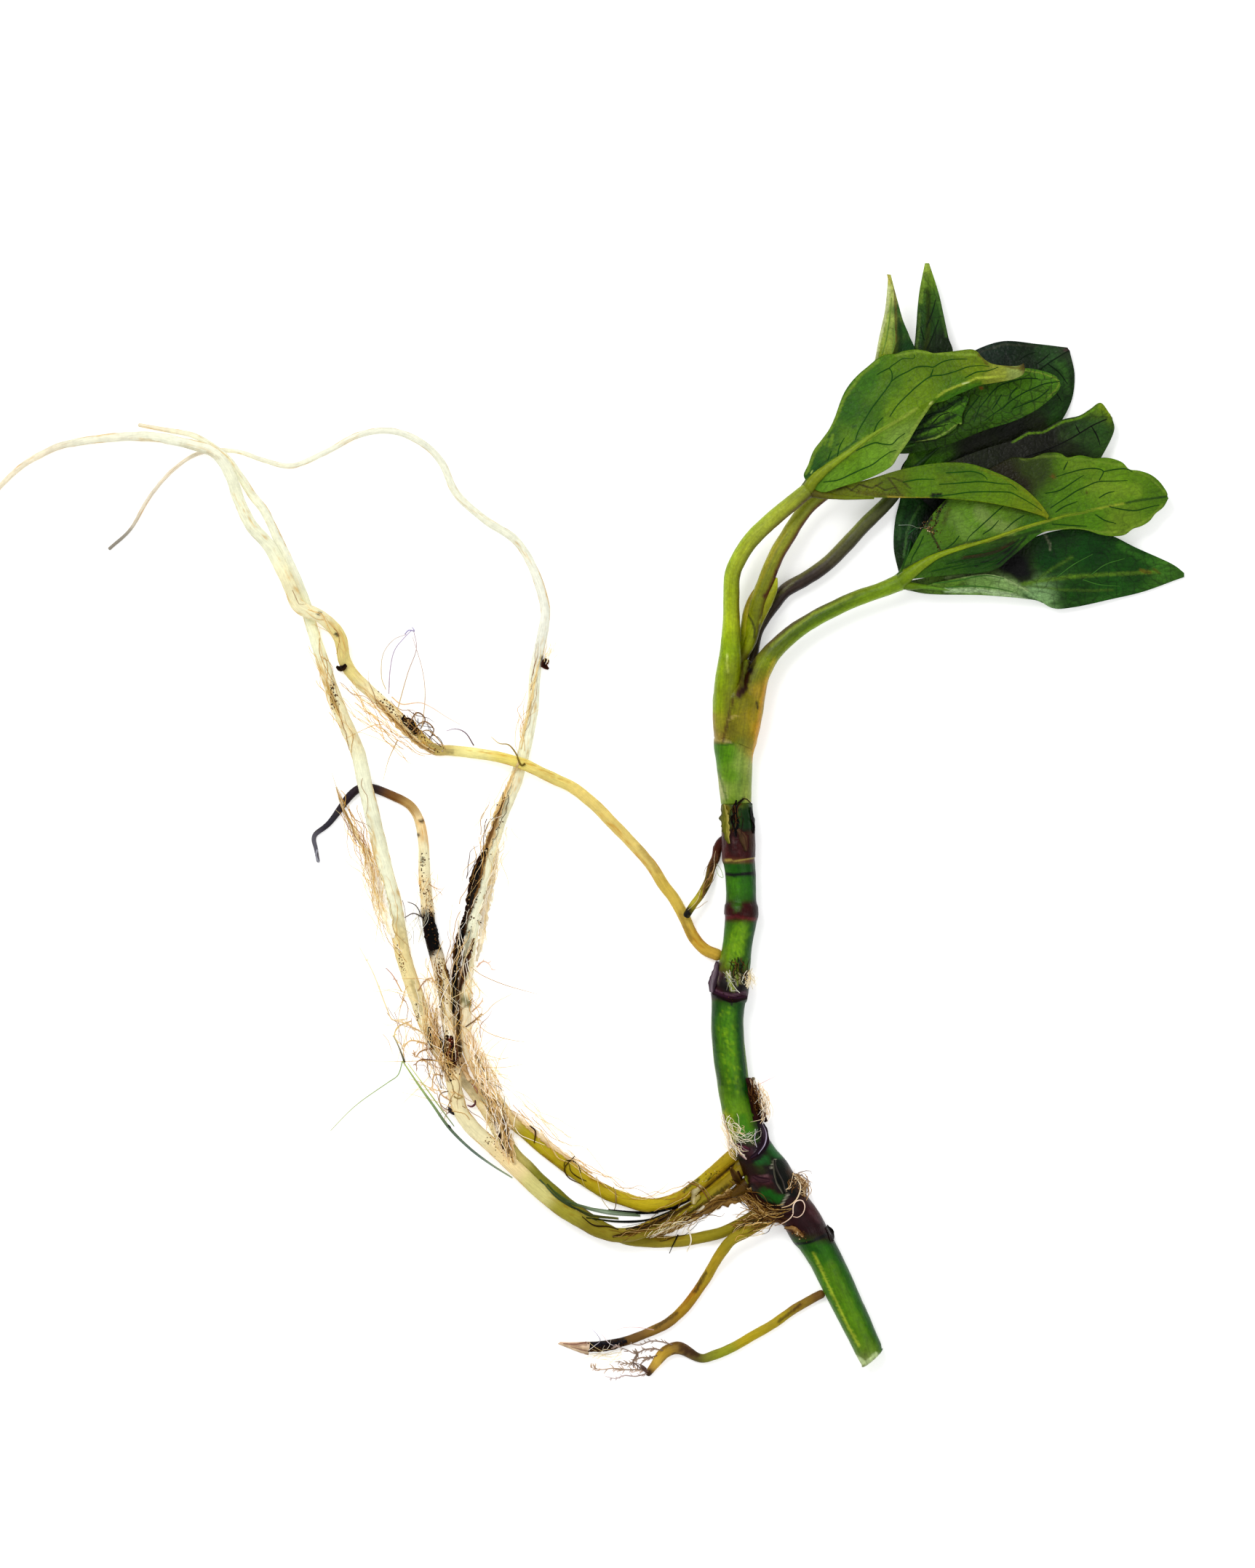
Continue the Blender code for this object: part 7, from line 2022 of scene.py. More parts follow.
# %% Scraps on the rhizome
PAPER = ["8a7460", "e8dcc4", "c8b498", "6a4a3c"]
STEM_STRIPS = [
    # The scale above the fork, with its fluffy outer edge
    ([(1027, 1482), (1033, 1500), (1038, 1520), (1041, 1540)], [5, 11, 14, 12], 0.1, 0.15,
     ["1c1412", "3a2220", "2a1a18"]),
    ([(1030, 1482), (1039, 1498), (1046, 1516), (1049, 1534), (1047, 1546)], [3, 6, 8, 8, 4], 0.5, 0.5,
     ["3a2220", "7a5844", "c0a080", "f0e0c4"]),
    ([(1042, 1538), (1049, 1553), (1051, 1570), (1043, 1583), (1031, 1592)], [6, 11, 12, 9, 3], 0.2, 0.15,
     ["2a1a24", "1c1218", "3a2c38", "1c1218", "2c2028"]),
    # Shreds of the sheath on the left, above the fork
    ([(994, 1532), (998, 1549), (1005, 1568), (1013, 1588)], [2, 3, 5, 3], 0.3, 0.7, PAPER),
    ([(1002, 1540), (1008, 1556), (1016, 1570)], [2, 4, 2], 0.3, 0.8, ["9a9a4c", "d8d0a4", "8a8a3c"]),
    ([(1006, 1572), (1018, 1578), (1030, 1580)], [3, 8, 4], 0.4, 0.6, ["5a2c38", "3a1c28", "7a5460"]),
    ([(1014, 1576), (1018, 1586), (1026, 1594)], [2, 4, 2], 0.6, 0.6, ["e0ccc0", "b89a94", "5a3038"]),
    # The three-cornered scale below the fork, and the rib beside it
    ([(1064, 1594), (1066, 1610), (1072, 1626), (1078, 1640)], [2, 7, 11, 6], 0.3, 0.04,
     ["4a4440", "1c1c16", "141612", "6a6658"]),
    ([(1035, 1617), (1045, 1621), (1057, 1622)], [4, 8, 4], 0.3, 0.3, ["2a1820", "4a3034", "2a1820"]),
    # The tangle beside it
    ([(1089, 1613), (1098, 1619), (1105, 1630), (1106, 1645)], [3, 6, 7, 3], 0.4, 0.7,
     ["6a4c30", "c0a078", "d8bc90", "7a5a38"]),
    # Woody crumbs of the lower node
    ([(1078, 1688), (1092, 1690), (1104, 1700)], [4, 8, 4], 0.4, 0.7, ["6a4424", "a8824c", "4a2c1c"]),
    ([(1136, 1686), (1142, 1694), (1144, 1706)], [5, 9, 5], 0.3, 0.3, ["2a2420", "140f10", "3a3430"]),
    # The torn collar of the upper node
    ([(986, 1322), (983, 1338), (979, 1352), (979, 1364)], [4, 9, 11, 7], 0.35, 0.3,
     ["241820", "3a2834", "7a6874", "3a2430"]),
    ([(1029, 1336), (1030, 1346), (1028, 1358)], [3, 6, 3], 0.3, 0.9, ["b8a888", "efe6cc", "c8b898"]),
    ([(1001, 1336), (1003, 1348), (1007, 1361)], [2, 4, 1], 0.3, 0.7, ["7a8a24", "a8b064"]),
    ([(1011, 1330), (1013, 1346), (1014, 1356)], [2, 4, 1], 0.3, 0.7, ["6a8014", "8a9450"]),
    ([(979, 1365), (992, 1370), (1006, 1375), (1027, 1371)], [4, 6, 7, 5], 0.3, 0.15,
     ["3a2434", "241018", "1c0e14"]),
    # Below the crown
    ([(994, 1106), (996, 1126), (998, 1146), (1002, 1160)], [5, 12, 10, 3], 0.3, 0.6,
     ["a89c4c", "6a6a1c", "4a4a1c"]),
    ([(1012, 1100), (1009, 1114), (1014, 1130), (1011, 1144)], [2, 4, 4, 2], 0.3, 0.9, ["14100c", "0a0808"]),
    ([(1031, 1110), (1035, 1128), (1036, 1146)], [3, 5, 3], 0.3, 0.6, ["1c1c14", "0c0c0a"]),
    ([(1014, 1140), (1022, 1152), (1026, 1170)], [5, 14, 5], 0.3, 0.5, ["3a1a1c", "5a4430", "3a2a1c"]),
]
stem_scraps = bark_strips("stem_scraps", STEM_STRIPS, tree_of(rhizome, sheath, fork_scale), scale_skin)
hand_over(stem_scraps, "scale")

# %% [markdown]
# ## Root hairs and fibres
# The roots are covered with hairs, and their old bark frays into long fibres. No two are alike, but they all
# run roughly along the root. So each zone is a guide line with a number of fibres, and a seeded random draw
# gives every fibre its start, its distance from the guide, its waves and how far its tip strays. Each fibre
# is laid down on the roots, and the thread tree turns all of them into tubes.

# %% Fibres along a guide
draws = np.random.default_rng(11)
GUIDE_STEPS = 80
FIBRE_WAVE = 7  # pixels between two bends of a fibre
HIGHEST_FIBRE = 0.5  # mm over what it lies on
FIBRE_COLOURS = {
    "cream": ["fdf4e0", "fbecd0", "f6dfb8", "eccc9c", "fffaf0"],
    "pale": ["f4ead0", "efdfb4", "e4cc90", "dcbc74", "f8f0dc"],
    "tan": ["ecd49c", "d4a85c", "b88c48", "dcb878", "94683a"],
    "bark": ["4a3018", "6a4a24", "2c1c10", "8a6830", "b09058"],
    "brown": ["8a6438", "5a3c24", "3a2618", "b08c5c", "6a4a2c", "d8c098"],
    "dark": ["241812", "3a2618", "140f0e", "5a3c24"],
    "grey": ["c8c4b4", "a8a698", "e4e0d0", "8a8a7c", "d9cfae"],
}


def fibres_along(threads, tree, guide, count, spread, lengths, flare, girth, palette):
    """Lay fibres along a guide of pixels.

    spread: how far beside the guide they lie, and flare: how far their tips stray, both in pixels.
    lengths: the shortest and the longest in pixels. girth: their radius in mm.
    """
    guide = smooth(guide, GUIDE_STEPS, by=2)
    whole = length_of(guide)
    ahead = np.gradient(guide, axis=0)
    beside = np.stack([ahead[:, 1], -ahead[:, 0]], 1) / np.linalg.norm(ahead, axis=1)[:, None]
    shades = FIBRE_COLOURS[palette]
    for _ in range(count):
        length = min(draws.uniform(*lengths), whole * 0.95)
        steps = max(4, int(length / FIBRE_WAVE))
        start = draws.uniform(0, whole - length)
        at = (start + np.linspace(0, length, steps)) / whole * GUIDE_STEPS
        if draws.random() < 0.4:
            at = at[::-1]
        line, side = (np.stack([np.interp(at, np.arange(GUIDE_STEPS + 1), rows[:, k]) for k in range(2)], 1)
                      for rows in (guide, beside))
        # Its distance from the guide, the way its tip strays, its small bends, and one long wave
        reach = draws.normal(0, spread / 2) + draws.normal(0, flare) * np.linspace(0, 1, steps) ** 1.6
        reach += draws.normal(0, 1.7, steps).cumsum()
        height = draws.uniform(0, 5)
        turns = np.linspace(0, draws.uniform(2, 9), steps) + draws.uniform(0, 6)
        reach += height * np.sin(turns)
        lift = draws.uniform(0.05, HIGHEST_FIBRE)
        places = resting(line + side * reach[:, None], tree, lift, step=1.0, calm=2)
        threads.lay(places, [girth, girth, girth * 0.35], [shades[draws.integers(len(shades))]])


# %% Zones of fibres
BUNDLE = [(704, 1600), (692, 1556), (676, 1512), (660, 1472), (650, 1436), (645, 1404)]
ROTTEN_EDGE = [(708, 1056), (688, 1100), (666, 1150), (650, 1214), (634, 1280), (624, 1340), (617, 1400)]
ROOT_ZONES = [  # guide, count, spread, lengths, flare, girth, colours
    (BUNDLE, 56, 20, (24, 80), 14, 0.10, "cream"), (BUNDLE, 14, 16, (30, 90), 8, 0.08, "tan"),
    (BUNDLE, 9, 14, (24, 60), 8, 0.10, "bark"),
    ([(588, 1340), (592, 1380), (594, 1420), (604, 1456), (618, 1490)], 16, 18, (30, 90), 10, 0.08, "tan"),
    ([(590, 1340), (600, 1400), (612, 1470), (618, 1490)], 22, 30, (30, 80), 20, 0.08, "cream"),
    ([(560, 1370), (576, 1420), (600, 1460), (622, 1490)], 30, 40, (20, 90), 24, 0.06, "tan"),
    ([(596, 1440), (608, 1480), (622, 1516)], 10, 16, (20, 60), 12, 0.07, "brown"),
    ([(570, 1340), (584, 1400), (604, 1460), (630, 1520), (660, 1560)], 34, 30, (16, 60), 40, 0.08, "tan"),
    ([(700, 1580), (690, 1540), (672, 1500), (654, 1450), (648, 1380), (655, 1300)], 30, 14, (16, 60), 34,
     0.08, "tan"),
    ([(694, 1494), (730, 1539), (776, 1584), (818, 1616), (866, 1641)], 14, 5, (30, 110), 4, 0.07, "tan"),
    ([(694, 1488), (734, 1534), (784, 1580), (824, 1610)], 14, 12, (40, 120), 9, 0.06, "pale"),
    ([(650, 1440), (672, 1474), (704, 1504)], 40, 16, (20, 50), 20, 0.06, "pale"),
    (ROTTEN_EDGE, 9, 12, (30, 90), 4, 0.09, "brown"), (ROTTEN_EDGE, 12, 20, (40, 120), 8, 0.08, "tan"),
    (ROTTEN_EDGE, 15, 24, (30, 100), 9, 0.08, "cream"),
    ([(650, 1304), (648, 1350), (642, 1400)], 12, 16, (24, 60), 10, 0.08, "cream"),
    ([(694, 1130), (682, 1190), (668, 1240), (660, 1290), (650, 1340)], 44, 6, (16, 50), 14, 0.06, "pale"),
    ([(716, 1038), (720, 1000), (729, 960), (736, 916), (742, 880)], 12, 5, (30, 90), 4, 0.06, "tan"),
    ([(750, 914), (754, 896), (758, 880)], 9, 7, (14, 34), 6, 0.08, "pale"),
    ([(497, 1160), (508, 1204), (520, 1250), (534, 1296), (550, 1344)], 14, 9, (30, 100), 5, 0.07, "pale"),
    ([(494, 1150), (506, 1204), (518, 1250), (532, 1296)], 26, 9, (30, 90), 12, 0.06, "pale"),
    ([(486, 1060), (500, 1130), (536, 1270), (560, 1330)], 16, 14, (40, 140), 5, 0.06, "tan"),
    ([(462, 1076), (474, 1110), (490, 1150), (506, 1190), (518, 1222)], 22, 7, (30, 110), 6, 0.08, "tan"),
    ([(425, 860), (440, 910), (454, 950), (466, 990), (486, 1040)], 14, 10, (30, 90), 4, 0.08, "tan"),
    ([(604, 1034), (572, 1012), (540, 980), (508, 950), (480, 922)], 18, 20, (25, 90), 16, 0.08, "tan"),
    ([(604, 1030), (590, 1016), (572, 996), (556, 984)], 10, 12, (14, 36), 14, 0.09, "dark"),
    ([(588, 1040), (552, 1016), (520, 990), (490, 966), (462, 940)], 22, 12, (60, 140), 12, 0.06, "tan"),
    ([(476, 912), (464, 876), (440, 848), (410, 836), (392, 792)], 12, 8, (20, 60), 5, 0.07, "tan"),
    ([(582, 1190), (588, 1230), (592, 1262)], 14, 18, (12, 36), 9, 0.06, "tan"),
    ([(574, 1300), (580, 1262), (584, 1230)], 16, 18, (20, 60), 18, 0.05, "grey"),
    ([(594, 1310), (606, 1350), (614, 1390), (620, 1430)], 30, 20, (20, 70), 14, 0.07, "pale"),
]
FORK_ZONES = [
    ([(1052, 1668), (1020, 1650), (990, 1652), (960, 1668), (930, 1687), (900, 1700)], 26, 10, (24, 80), 5,
     0.09, "bark"),
    ([(1090, 1664), (1060, 1668), (1036, 1656), (1018, 1640), (1000, 1626)], 44, 9, (24, 80), 3, 0.10,
     "bark"),
    ([(1090, 1666), (1060, 1672), (1034, 1662), (1012, 1648), (990, 1640)], 12, 10, (30, 70), 4, 0.07,
     "brown"),
    ([(1066, 1676), (1030, 1684), (1004, 1694)], 16, 16, (14, 44), 6, 0.08, "tan"),
    ([(1062, 1666), (1044, 1676), (1024, 1682), (1004, 1688)], 30, 9, (14, 50), 4, 0.10, "bark"),
    ([(950, 1656), (910, 1682), (870, 1697), (838, 1704)], 16, 8, (30, 90), 6, 0.08, "bark"),
    ([(960, 1672), (920, 1688), (890, 1706)], 24, 9, (20, 60), 9, 0.06, "pale"),
    ([(838, 1630), (880, 1646), (920, 1644), (950, 1628)], 10, 6, (24, 70), 6, 0.06, "tan"),
    ([(1086, 1640), (1092, 1622), (1100, 1618), (1107, 1630), (1105, 1648)], 46, 5, (8, 18), 5, 0.08,
     "brown"),
    ([(800, 1872), (830, 1868), (860, 1862)], 16, 10, (20, 50), 14, 0.05, "pale"),
    ([(1035, 1484), (1046, 1502), (1053, 1524), (1050, 1546)], 50, 4, (10, 30), 4, 0.07, "cream"),
    ([(1030, 1488), (1038, 1512), (1044, 1540)], 26, 6, (12, 34), 2, 0.10, "dark"),
    ([(1034, 1490), (1043, 1512), (1048, 1540)], 16, 6, (12, 34), 2, 0.08, "bark"),
    ([(992, 1528), (997, 1550), (1006, 1574), (1016, 1594)], 26, 6, (12, 50), 3, 0.06, "cream"),
    ([(996, 1536), (1010, 1552), (1026, 1560), (1042, 1546)], 20, 14, (10, 26), 5, 0.05, "cream"),
    ([(1008, 1556), (1020, 1572), (1034, 1584)], 12, 16, (10, 26), 4, 0.05, "grey"),
    ([(1006, 1560), (1014, 1578), (1022, 1592)], 8, 8, (12, 26), 2, 0.06, "pale"),
    ([(1028, 1332), (1030, 1346), (1028, 1360)], 22, 4, (10, 22), 4, 0.07, "pale"),
    ([(998, 1332), (1002, 1348), (1010, 1362), (1018, 1366)], 10, 8, (10, 26), 2, 0.08, "grey"),
    ([(1012, 1316), (1016, 1334), (1018, 1352)], 12, 9, (10, 28), 2, 0.11, "dark"),
    ([(1022, 1100), (1012, 1112), (1012, 1130), (1010, 1148)], 10, 7, (14, 40), 3, 0.10, "dark"),
    ([(986, 1170), (978, 1200), (964, 1232), (948, 1254)], 14, 6, (14, 40), 3, 0.08, "brown"),
]
fibre_tree = tree_of(*root_pieces.values(), rhizome, fork_scale, root_strips, stem_scraps)
for name, zones in {"root_fibres": ROOT_ZONES, "fork_fibres": FORK_ZONES}.items():
    threads = Threads()
    for zone in zones:
        fibres_along(threads, fibre_tree, *zone)
    hand_over(threads.spin(name, fibre_skin, sides=4), "root")

# %% [markdown]
# ## Rootlets and loose threads
# Thin side roots, hooks, curls and green threads lie here and there, and each is seen on its own. So they are
# drawn one by one, as lines with their radii and colours. At the end of the lowest root and along the left of
# the bundle the rootlets branch like a feather. There only the spines are drawn, and the same seeded draw as
# for the fibres adds their short bent side rootlets. The thread tree turns all of them into tubes.

# %% Rootlets, threads and loose hairs
ROOTLETS = [  # line, radius in mm along it, colours along it, lift
    ([(454, 1555), (476, 1532), (494, 1516), (515, 1501), (534, 1488), (547, 1478), (553, 1459)],
     [0.08, 0.14], ["b8c08c", "7f9a5a"], 0.1),
    ([(553, 1459), (575, 1492), (595, 1520), (617, 1551), (645, 1579), (674, 1601), (704, 1620)],
     [0.16, 0.34, 0.42, 0.36, 0.2], ["a8b464", "8aa068", "5c6c58", "64746c", "9aa88c"], -0.4),
    ([(560, 1462), (582, 1492), (603, 1521), (624, 1549)], [0.1, 0.2, 0.14], ["d0d488", "b4bc7c", "7a8a68"],
     0.1),
    ([(612, 1545), (617, 1550), (621, 1556)], [0.2, 0.5, 0.2], ["3a3a34", "24242a"], 0.2),
    ([(617, 1522), (620, 1527), (624, 1531)], [0.3, 0.9, 0.4], ["2c1c20", "1c1418"], 0.3),
    ([(619, 1527), (610, 1524), (603, 1514), (600, 1500)], [0.16, 0.06], ["5a4438", "c8a880"], 0.2),
    ([(619, 1528), (612, 1534), (610, 1544)], [0.14, 0.05], ["5a4438", "d8b890"], 0.2),
    ([(642, 1520), (648, 1522), (653, 1518), (653, 1513)], [0.12, 0.34, 0.2], ["8a5a60", "5a3038", "4a2830"],
     0.2),
    ([(648, 1490), (655, 1497), (656, 1504)], [0.1, 0.2, 0.1], ["8a5a48", "a07060", "8a5a48"], 0.4),
    ([(775, 1604), (777, 1597), (786, 1596), (795, 1603), (798, 1613)], [0.1, 0.18, 0.1],
     ["4a4018", "2a2410", "4a4018"], 0.3),
    ([(782, 1600), (785, 1611), (795, 1619), (806, 1624)], [0.08, 0.16, 0.1], ["4a4018", "3a3014", "2a2410"],
     0.3),
    ([(637, 1508), (630, 1510), (624, 1507)], [0.14, 0.2], ["a89054", "8a7440"], 0.3),
    # Painted sheen as threads: lilac lines on the dark scale at the fork
    ([(1047, 1543), (1053, 1558), (1051, 1573), (1042, 1586)], [0.08, 0.18, 0.1],
     ["6a6070", "a89cb0", "7a7084"], 0.3),
    ([(1041, 1552), (1037, 1564), (1040, 1577)], [0.06, 0.13, 0.06], ["8a8090", "c4bcc8"], 0.3),
    ([(1000, 1548), (1010, 1544), (1018, 1552), (1012, 1562)], [0.06, 0.12, 0.06], ["d8d4b0", "f0ecd8"], 0.3),
    ([(742, 1622), (768, 1648), (808, 1670), (850, 1676)], [0.2, 0.5, 0.3], ["4a5a3a", "2c3420", "5a5a2c"],
     0.1),
    ([(752, 1628), (766, 1642), (790, 1656), (836, 1668), (880, 1672)], [0.2, 0.45, 0.5, 0.3],
     ["3c4c24", "4a5a34", "8a9a84", "5a6a4c"], 0.1),
    ([(775, 1652), (812, 1662), (856, 1668), (905, 1668)], [0.2, 0.4, 0.3], ["3a4a2c", "6a7c60", "2c3020"],
     0.1),
    ([(806, 1674), (846, 1680), (890, 1678), (926, 1664)], [0.2, 0.35, 0.2], ["2a3018", "14140f", "2a2a18"],
     0.1),
    ([(836, 1664), (882, 1668), (920, 1662), (948, 1650)], [0.2, 0.5, 0.3], ["1c1c14", "0f0f0c", "1c1810"],
     0.1),
    ([(556, 1461), (548, 1440), (540, 1424)], [0.3, 0.12], ["3a3a24", "a8a080"], 0.1),
    ([(613, 1005), (626, 1002), (640, 1008), (651, 1025)], [0.08, 0.16, 0.2], ["b8a8b8", "7a6a74", "6a5c60"],
     0.1),
    ([(675, 1013), (686, 1022), (699, 1024), (709, 1036), (716, 1052), (722, 1050)], [0.1, 0.2, 0.3],
     ["d8c8a0", "8a7438", "5a4a1c"], 0.3),
    ([(538, 958), (552, 968), (576, 966), (592, 972), (614, 986), (632, 996)], [0.2, 0.14, 0.08],
     ["d9b890", "e8c8b0", "f0d0c0"], 0.1),
    ([(534, 954), (536, 920), (542, 894), (556, 876), (566, 866)], [0.16, 0.13, 0.1], ["b8a8b0", "a89cb8"],
     0.1),
    ([(530, 948), (524, 930), (526, 900), (540, 880), (558, 872)], [0.14, 0.1], ["c8b890", "c8bcb8"], 0.1),
    ([(546, 976), (560, 926), (572, 892), (568, 866)], [0.16, 0.1], ["c8b080", "b8a8b0"], 0.1),
    ([(556, 872), (562, 866), (570, 868), (566, 862)], [0.12, 0.16, 0.1], ["8a80a8", "a098b8"], 0.1),
    ([(580, 1000), (584, 956), (580, 920), (567, 876)], [0.14, 0.09], ["c8b088", "c8b8b4"], 0.1),
    ([(560, 1000), (572, 980), (584, 988), (578, 1002)], [0.16, 0.2, 0.12], ["8a6844", "5a3c24"], 0.4),
    ([(566, 1006), (582, 992), (596, 1002), (590, 1016)], [0.14, 0.2, 0.1], ["9a7850", "6a4c30"], 0.4),
    ([(572, 1010), (588, 1004), (602, 1016), (612, 1030)], [0.12, 0.18, 0.1], ["8a6844", "a88858"], 0.4),
    ([(1040, 1493), (1058, 1484), (1078, 1474)], [0.09, 0.04], ["d8a8a8", "f0dcdc"], 0.2),
    ([(546, 1018), (534, 1044), (526, 1074)], [0.14, 0.06], ["a88448", "e8dcb8"], 0.2),
    ([(455, 1060), (462, 1082), (472, 1106)], [0.06, 0.14], ["e8dcc0", "b89c70"], 0.1),
    ([(560, 1240), (572, 1246), (580, 1262)], [0.1, 0.16], ["4a3a30", "2c2420"], 0.2),
    ([(556, 1262), (568, 1256), (582, 1262)], [0.1, 0.2], ["5a4a44", "241c1c"], 0.2),
    ([(553, 1238), (556, 1250), (558, 1268)], [0.08, 0.06], ["8a8088", "a89ca0"], 0.1),
    ([(590, 1216), (600, 1222), (608, 1222)], [0.12, 0.05], ["a8703c", "d8b088"], 0.1),
    ([(899, 1829), (880, 1826), (858, 1826), (843, 1832)], [0.05, 0.08, 0.04], ["e0b8b8", "ecd0cc"], 0.1),
    ([(814, 1828), (821, 1836), (825, 1844), (818, 1850), (809, 1857)], [0.05, 0.1, 0.08],
     ["b8b0cc", "8a8490", "e8e0dc"], 0.3),
    ([(826, 1834), (834, 1844), (840, 1849), (848, 1851)], [0.05, 0.09, 0.05], ["e8c4c4", "e0d4d4", "b0a0a0"],
     0.3),
    ([(880, 1877), (884, 1881), (889, 1887)], [0.2, 0.6, 0.4], ["7a6658", "4a3a34", "5a443c"], 0.2),
    ([(871, 1858), (876, 1863), (872, 1868)], [0.2, 0.4, 0.2], ["8a7868", "6a5a4c", "8a7868"], 0.2),
    ([(1065, 1686), (1080, 1679), (1089, 1670), (1090, 1658), (1094, 1651), (1102, 1650), (1106, 1658),
      (1103, 1668), (1096, 1673), (1090, 1672)], [0.12, 0.16, 0.15, 0.1], ["c8a88c", "e8d0bc", "d8b8a0"],
     0.35),
    ([(1074, 1660), (1086, 1656), (1096, 1646), (1100, 1630), (1092, 1618)], [0.1, 0.2, 0.12],
     ["c8a880", "e8d8b8"], 0.3),
    ([(1108, 1650), (1112, 1640), (1108, 1626), (1098, 1616)], [0.1, 0.18, 0.1], ["a8845c", "d8bc94"], 0.3),
    ([(1023, 1098), (1014, 1107), (1011, 1118), (1004, 1125), (1009, 1138), (1012, 1150)], [0.1, 0.22, 0.14],
     ["241c14", "0c0a0a"], 0.35),
    ([(1034, 1106), (1024, 1098), (1014, 1104)], [0.12, 0.16], ["1c140c"], 0.3),
    ([(1031, 1124), (1037, 1136), (1035, 1146)], [0.12, 0.2, 0.1], ["1c1414"], 0.3),
    ([(985, 1188), (990, 1194), (994, 1206), (988, 1204), (984, 1194)], [0.08], ["b8c8a0"], 0.1),
    ([(843, 1632), (846, 1640), (846, 1660), (840, 1668)], [0.1, 0.16, 0.08], ["a88c58", "5a4424"], 0.3),
    ([(946, 1626), (958, 1630), (968, 1640), (976, 1654)], [0.14, 0.2, 0.12], ["8a6438", "5a3c24"], 0.5),
    ([(938, 1632), (950, 1624), (966, 1632), (978, 1648)], [0.06, 0.12], ["b8a078", "8a6438"], 0.6),
    ([(946, 1690), (950, 1706), (944, 1722)], [0.24, 0.18, 0.1], ["f0e8d4", "d8ccb0"], 0.3),
    ([(932, 1698), (926, 1710), (920, 1724)], [0.2, 0.1], ["14120e", "2a2418"], 0.3),
    ([(790, 1590), (776, 1606), (782, 1620), (798, 1628)], [0.12, 0.2, 0.12], ["3a2a14", "5a4420"], 0.4),
    ([(728, 1548), (736, 1556), (734, 1572)], [0.18, 0.24, 0.14], ["2a1c10", "4a3418"], 0.4),
    ([(806, 1578), (826, 1604), (848, 1632)], [0.06], ["e0d0b0"], 0.1),
    ([(820, 1618), (828, 1650), (842, 1668)], [0.1, 0.07], ["d8c078", "8a7a34"], 0.1),
    ([(800, 1672), (816, 1684), (836, 1686), (850, 1690)], [0.1, 0.24, 0.14], ["241c0f", "3a2c14"], 0.3),
    ([(436, 1168), (434, 1176), (438, 1186)], [0.3, 0.2], ["8a8a92"], 0.1),
    ([(566, 1368), (540, 1360), (522, 1364), (504, 1360)], [0.1, 0.05], ["e0d0a8", "f0e8d0"], 0.1),
    ([(560, 1400), (536, 1410), (520, 1404)], [0.1, 0.05], ["d8c8a0", "f0e8d0"], 0.1),
    ([(614, 1530), (606, 1522), (604, 1506), (616, 1500)], [0.1, 0.16], ["c8a878", "5a4028"], 0.2),
    ([(1235, 722), (1252, 722), (1262, 726), (1278, 724)], [0.09, 0.06], ["8a9a8a", "6a6a4c"], 0.5),
]

# %% The brushes of rootlets
SPINE_GIRTHS = [0.16, 0.18, 0.1]
SIDE_GIRTHS = [0.14, 0.08]
BRUSHES = [  # spine, side rootlets, their reach in px, colours
    ([(891, 1886), (878, 1884), (860, 1884), (842, 1882), (826, 1884), (812, 1881)], 30, 10,
     ["6a5444", "a08a74", "c8ac98"]),
    ([(898, 1868), (884, 1867), (874, 1870), (864, 1876), (850, 1872)], 26, 9,
     ["7a6454", "8a7664", "b8a494"]),
    ([(911, 1857), (896, 1855), (884, 1857), (874, 1862), (862, 1857), (846, 1851)], 24, 9,
     ["7a6454", "8a7668", "b09c90"]),
    ([(924, 1849), (906, 1845), (893, 1845), (880, 1850), (866, 1848)], 9, 7, ["7a6454", "96867c", "a08c7c"]),
    ([(903, 1864), (888, 1870), (880, 1878), (886, 1885)], 12, 7, ["6a5648", "8a7668", "5a463c"]),
    ([(889, 1889), (874, 1893), (858, 1892), (846, 1896), (832, 1893)], 14, 6,
     ["8a7668", "b0a09c", "d0c0bc"]),
    ([(873, 1855), (877, 1864), (870, 1872), (878, 1880), (887, 1886)], 14, 8,
     ["8a7668", "6a584c", "5a463c"]),
    ([(588, 1424), (571, 1415), (555, 1407), (537, 1402)], 10, 8, ["b08c5c", "d8b884", "e8d4a8"]),
    ([(596, 1441), (578, 1446), (571, 1454), (568, 1444)], 6, 6, ["6a4428", "a07848", "c8a070"]),
    ([(600, 1459), (581, 1457), (572, 1462), (573, 1470)], 7, 7, ["4a2c1c", "7a5434", "b08c5c"]),
    ([(588, 1436), (565, 1431), (555, 1441), (554, 1451)], 8, 7, ["a8804c", "d0ac74", "e0c490"]),
    ([(565, 1404), (547, 1412), (542, 1425), (550, 1436)], 7, 6, ["b8986c", "dcc080", "e8d49c"]),
    ([(609, 1480), (597, 1478), (594, 1493), (597, 1504)], 6, 6, ["a07c50", "d0ac7c", "e0c8a0"]),
    ([(621, 1514), (607, 1506), (602, 1493)], 5, 6, ["a07c50", "c8a474", "e0c8a0"]),
    ([(555, 1402), (539, 1402), (531, 1386), (513, 1339), (494, 1303)], 3, 6, ["d8bc90", "e8d8a8", "f0e8c8"]),
    ([(575, 1362), (583, 1350), (592, 1345), (597, 1352)], 5, 6, ["9a7450", "b89068", "d8b890"]),
    ([(552, 1364), (540, 1342), (530, 1331)], 2, 5, ["d0b078", "c8a088", "b08c80"]),
    ([(640, 1412), (654, 1402), (662, 1393)], 6, 7, ["4a3424", "8a6844", "b89468"]),
    ([(648, 1392), (660, 1380), (664, 1372)], 3, 6, ["b08c64", "d0ac84", "e8c8a8"]),
    ([(655, 1330), (664, 1322), (672, 1326), (676, 1334)], 4, 7, ["c8a48c", "e0bca4", "f0d4c4"]),
]


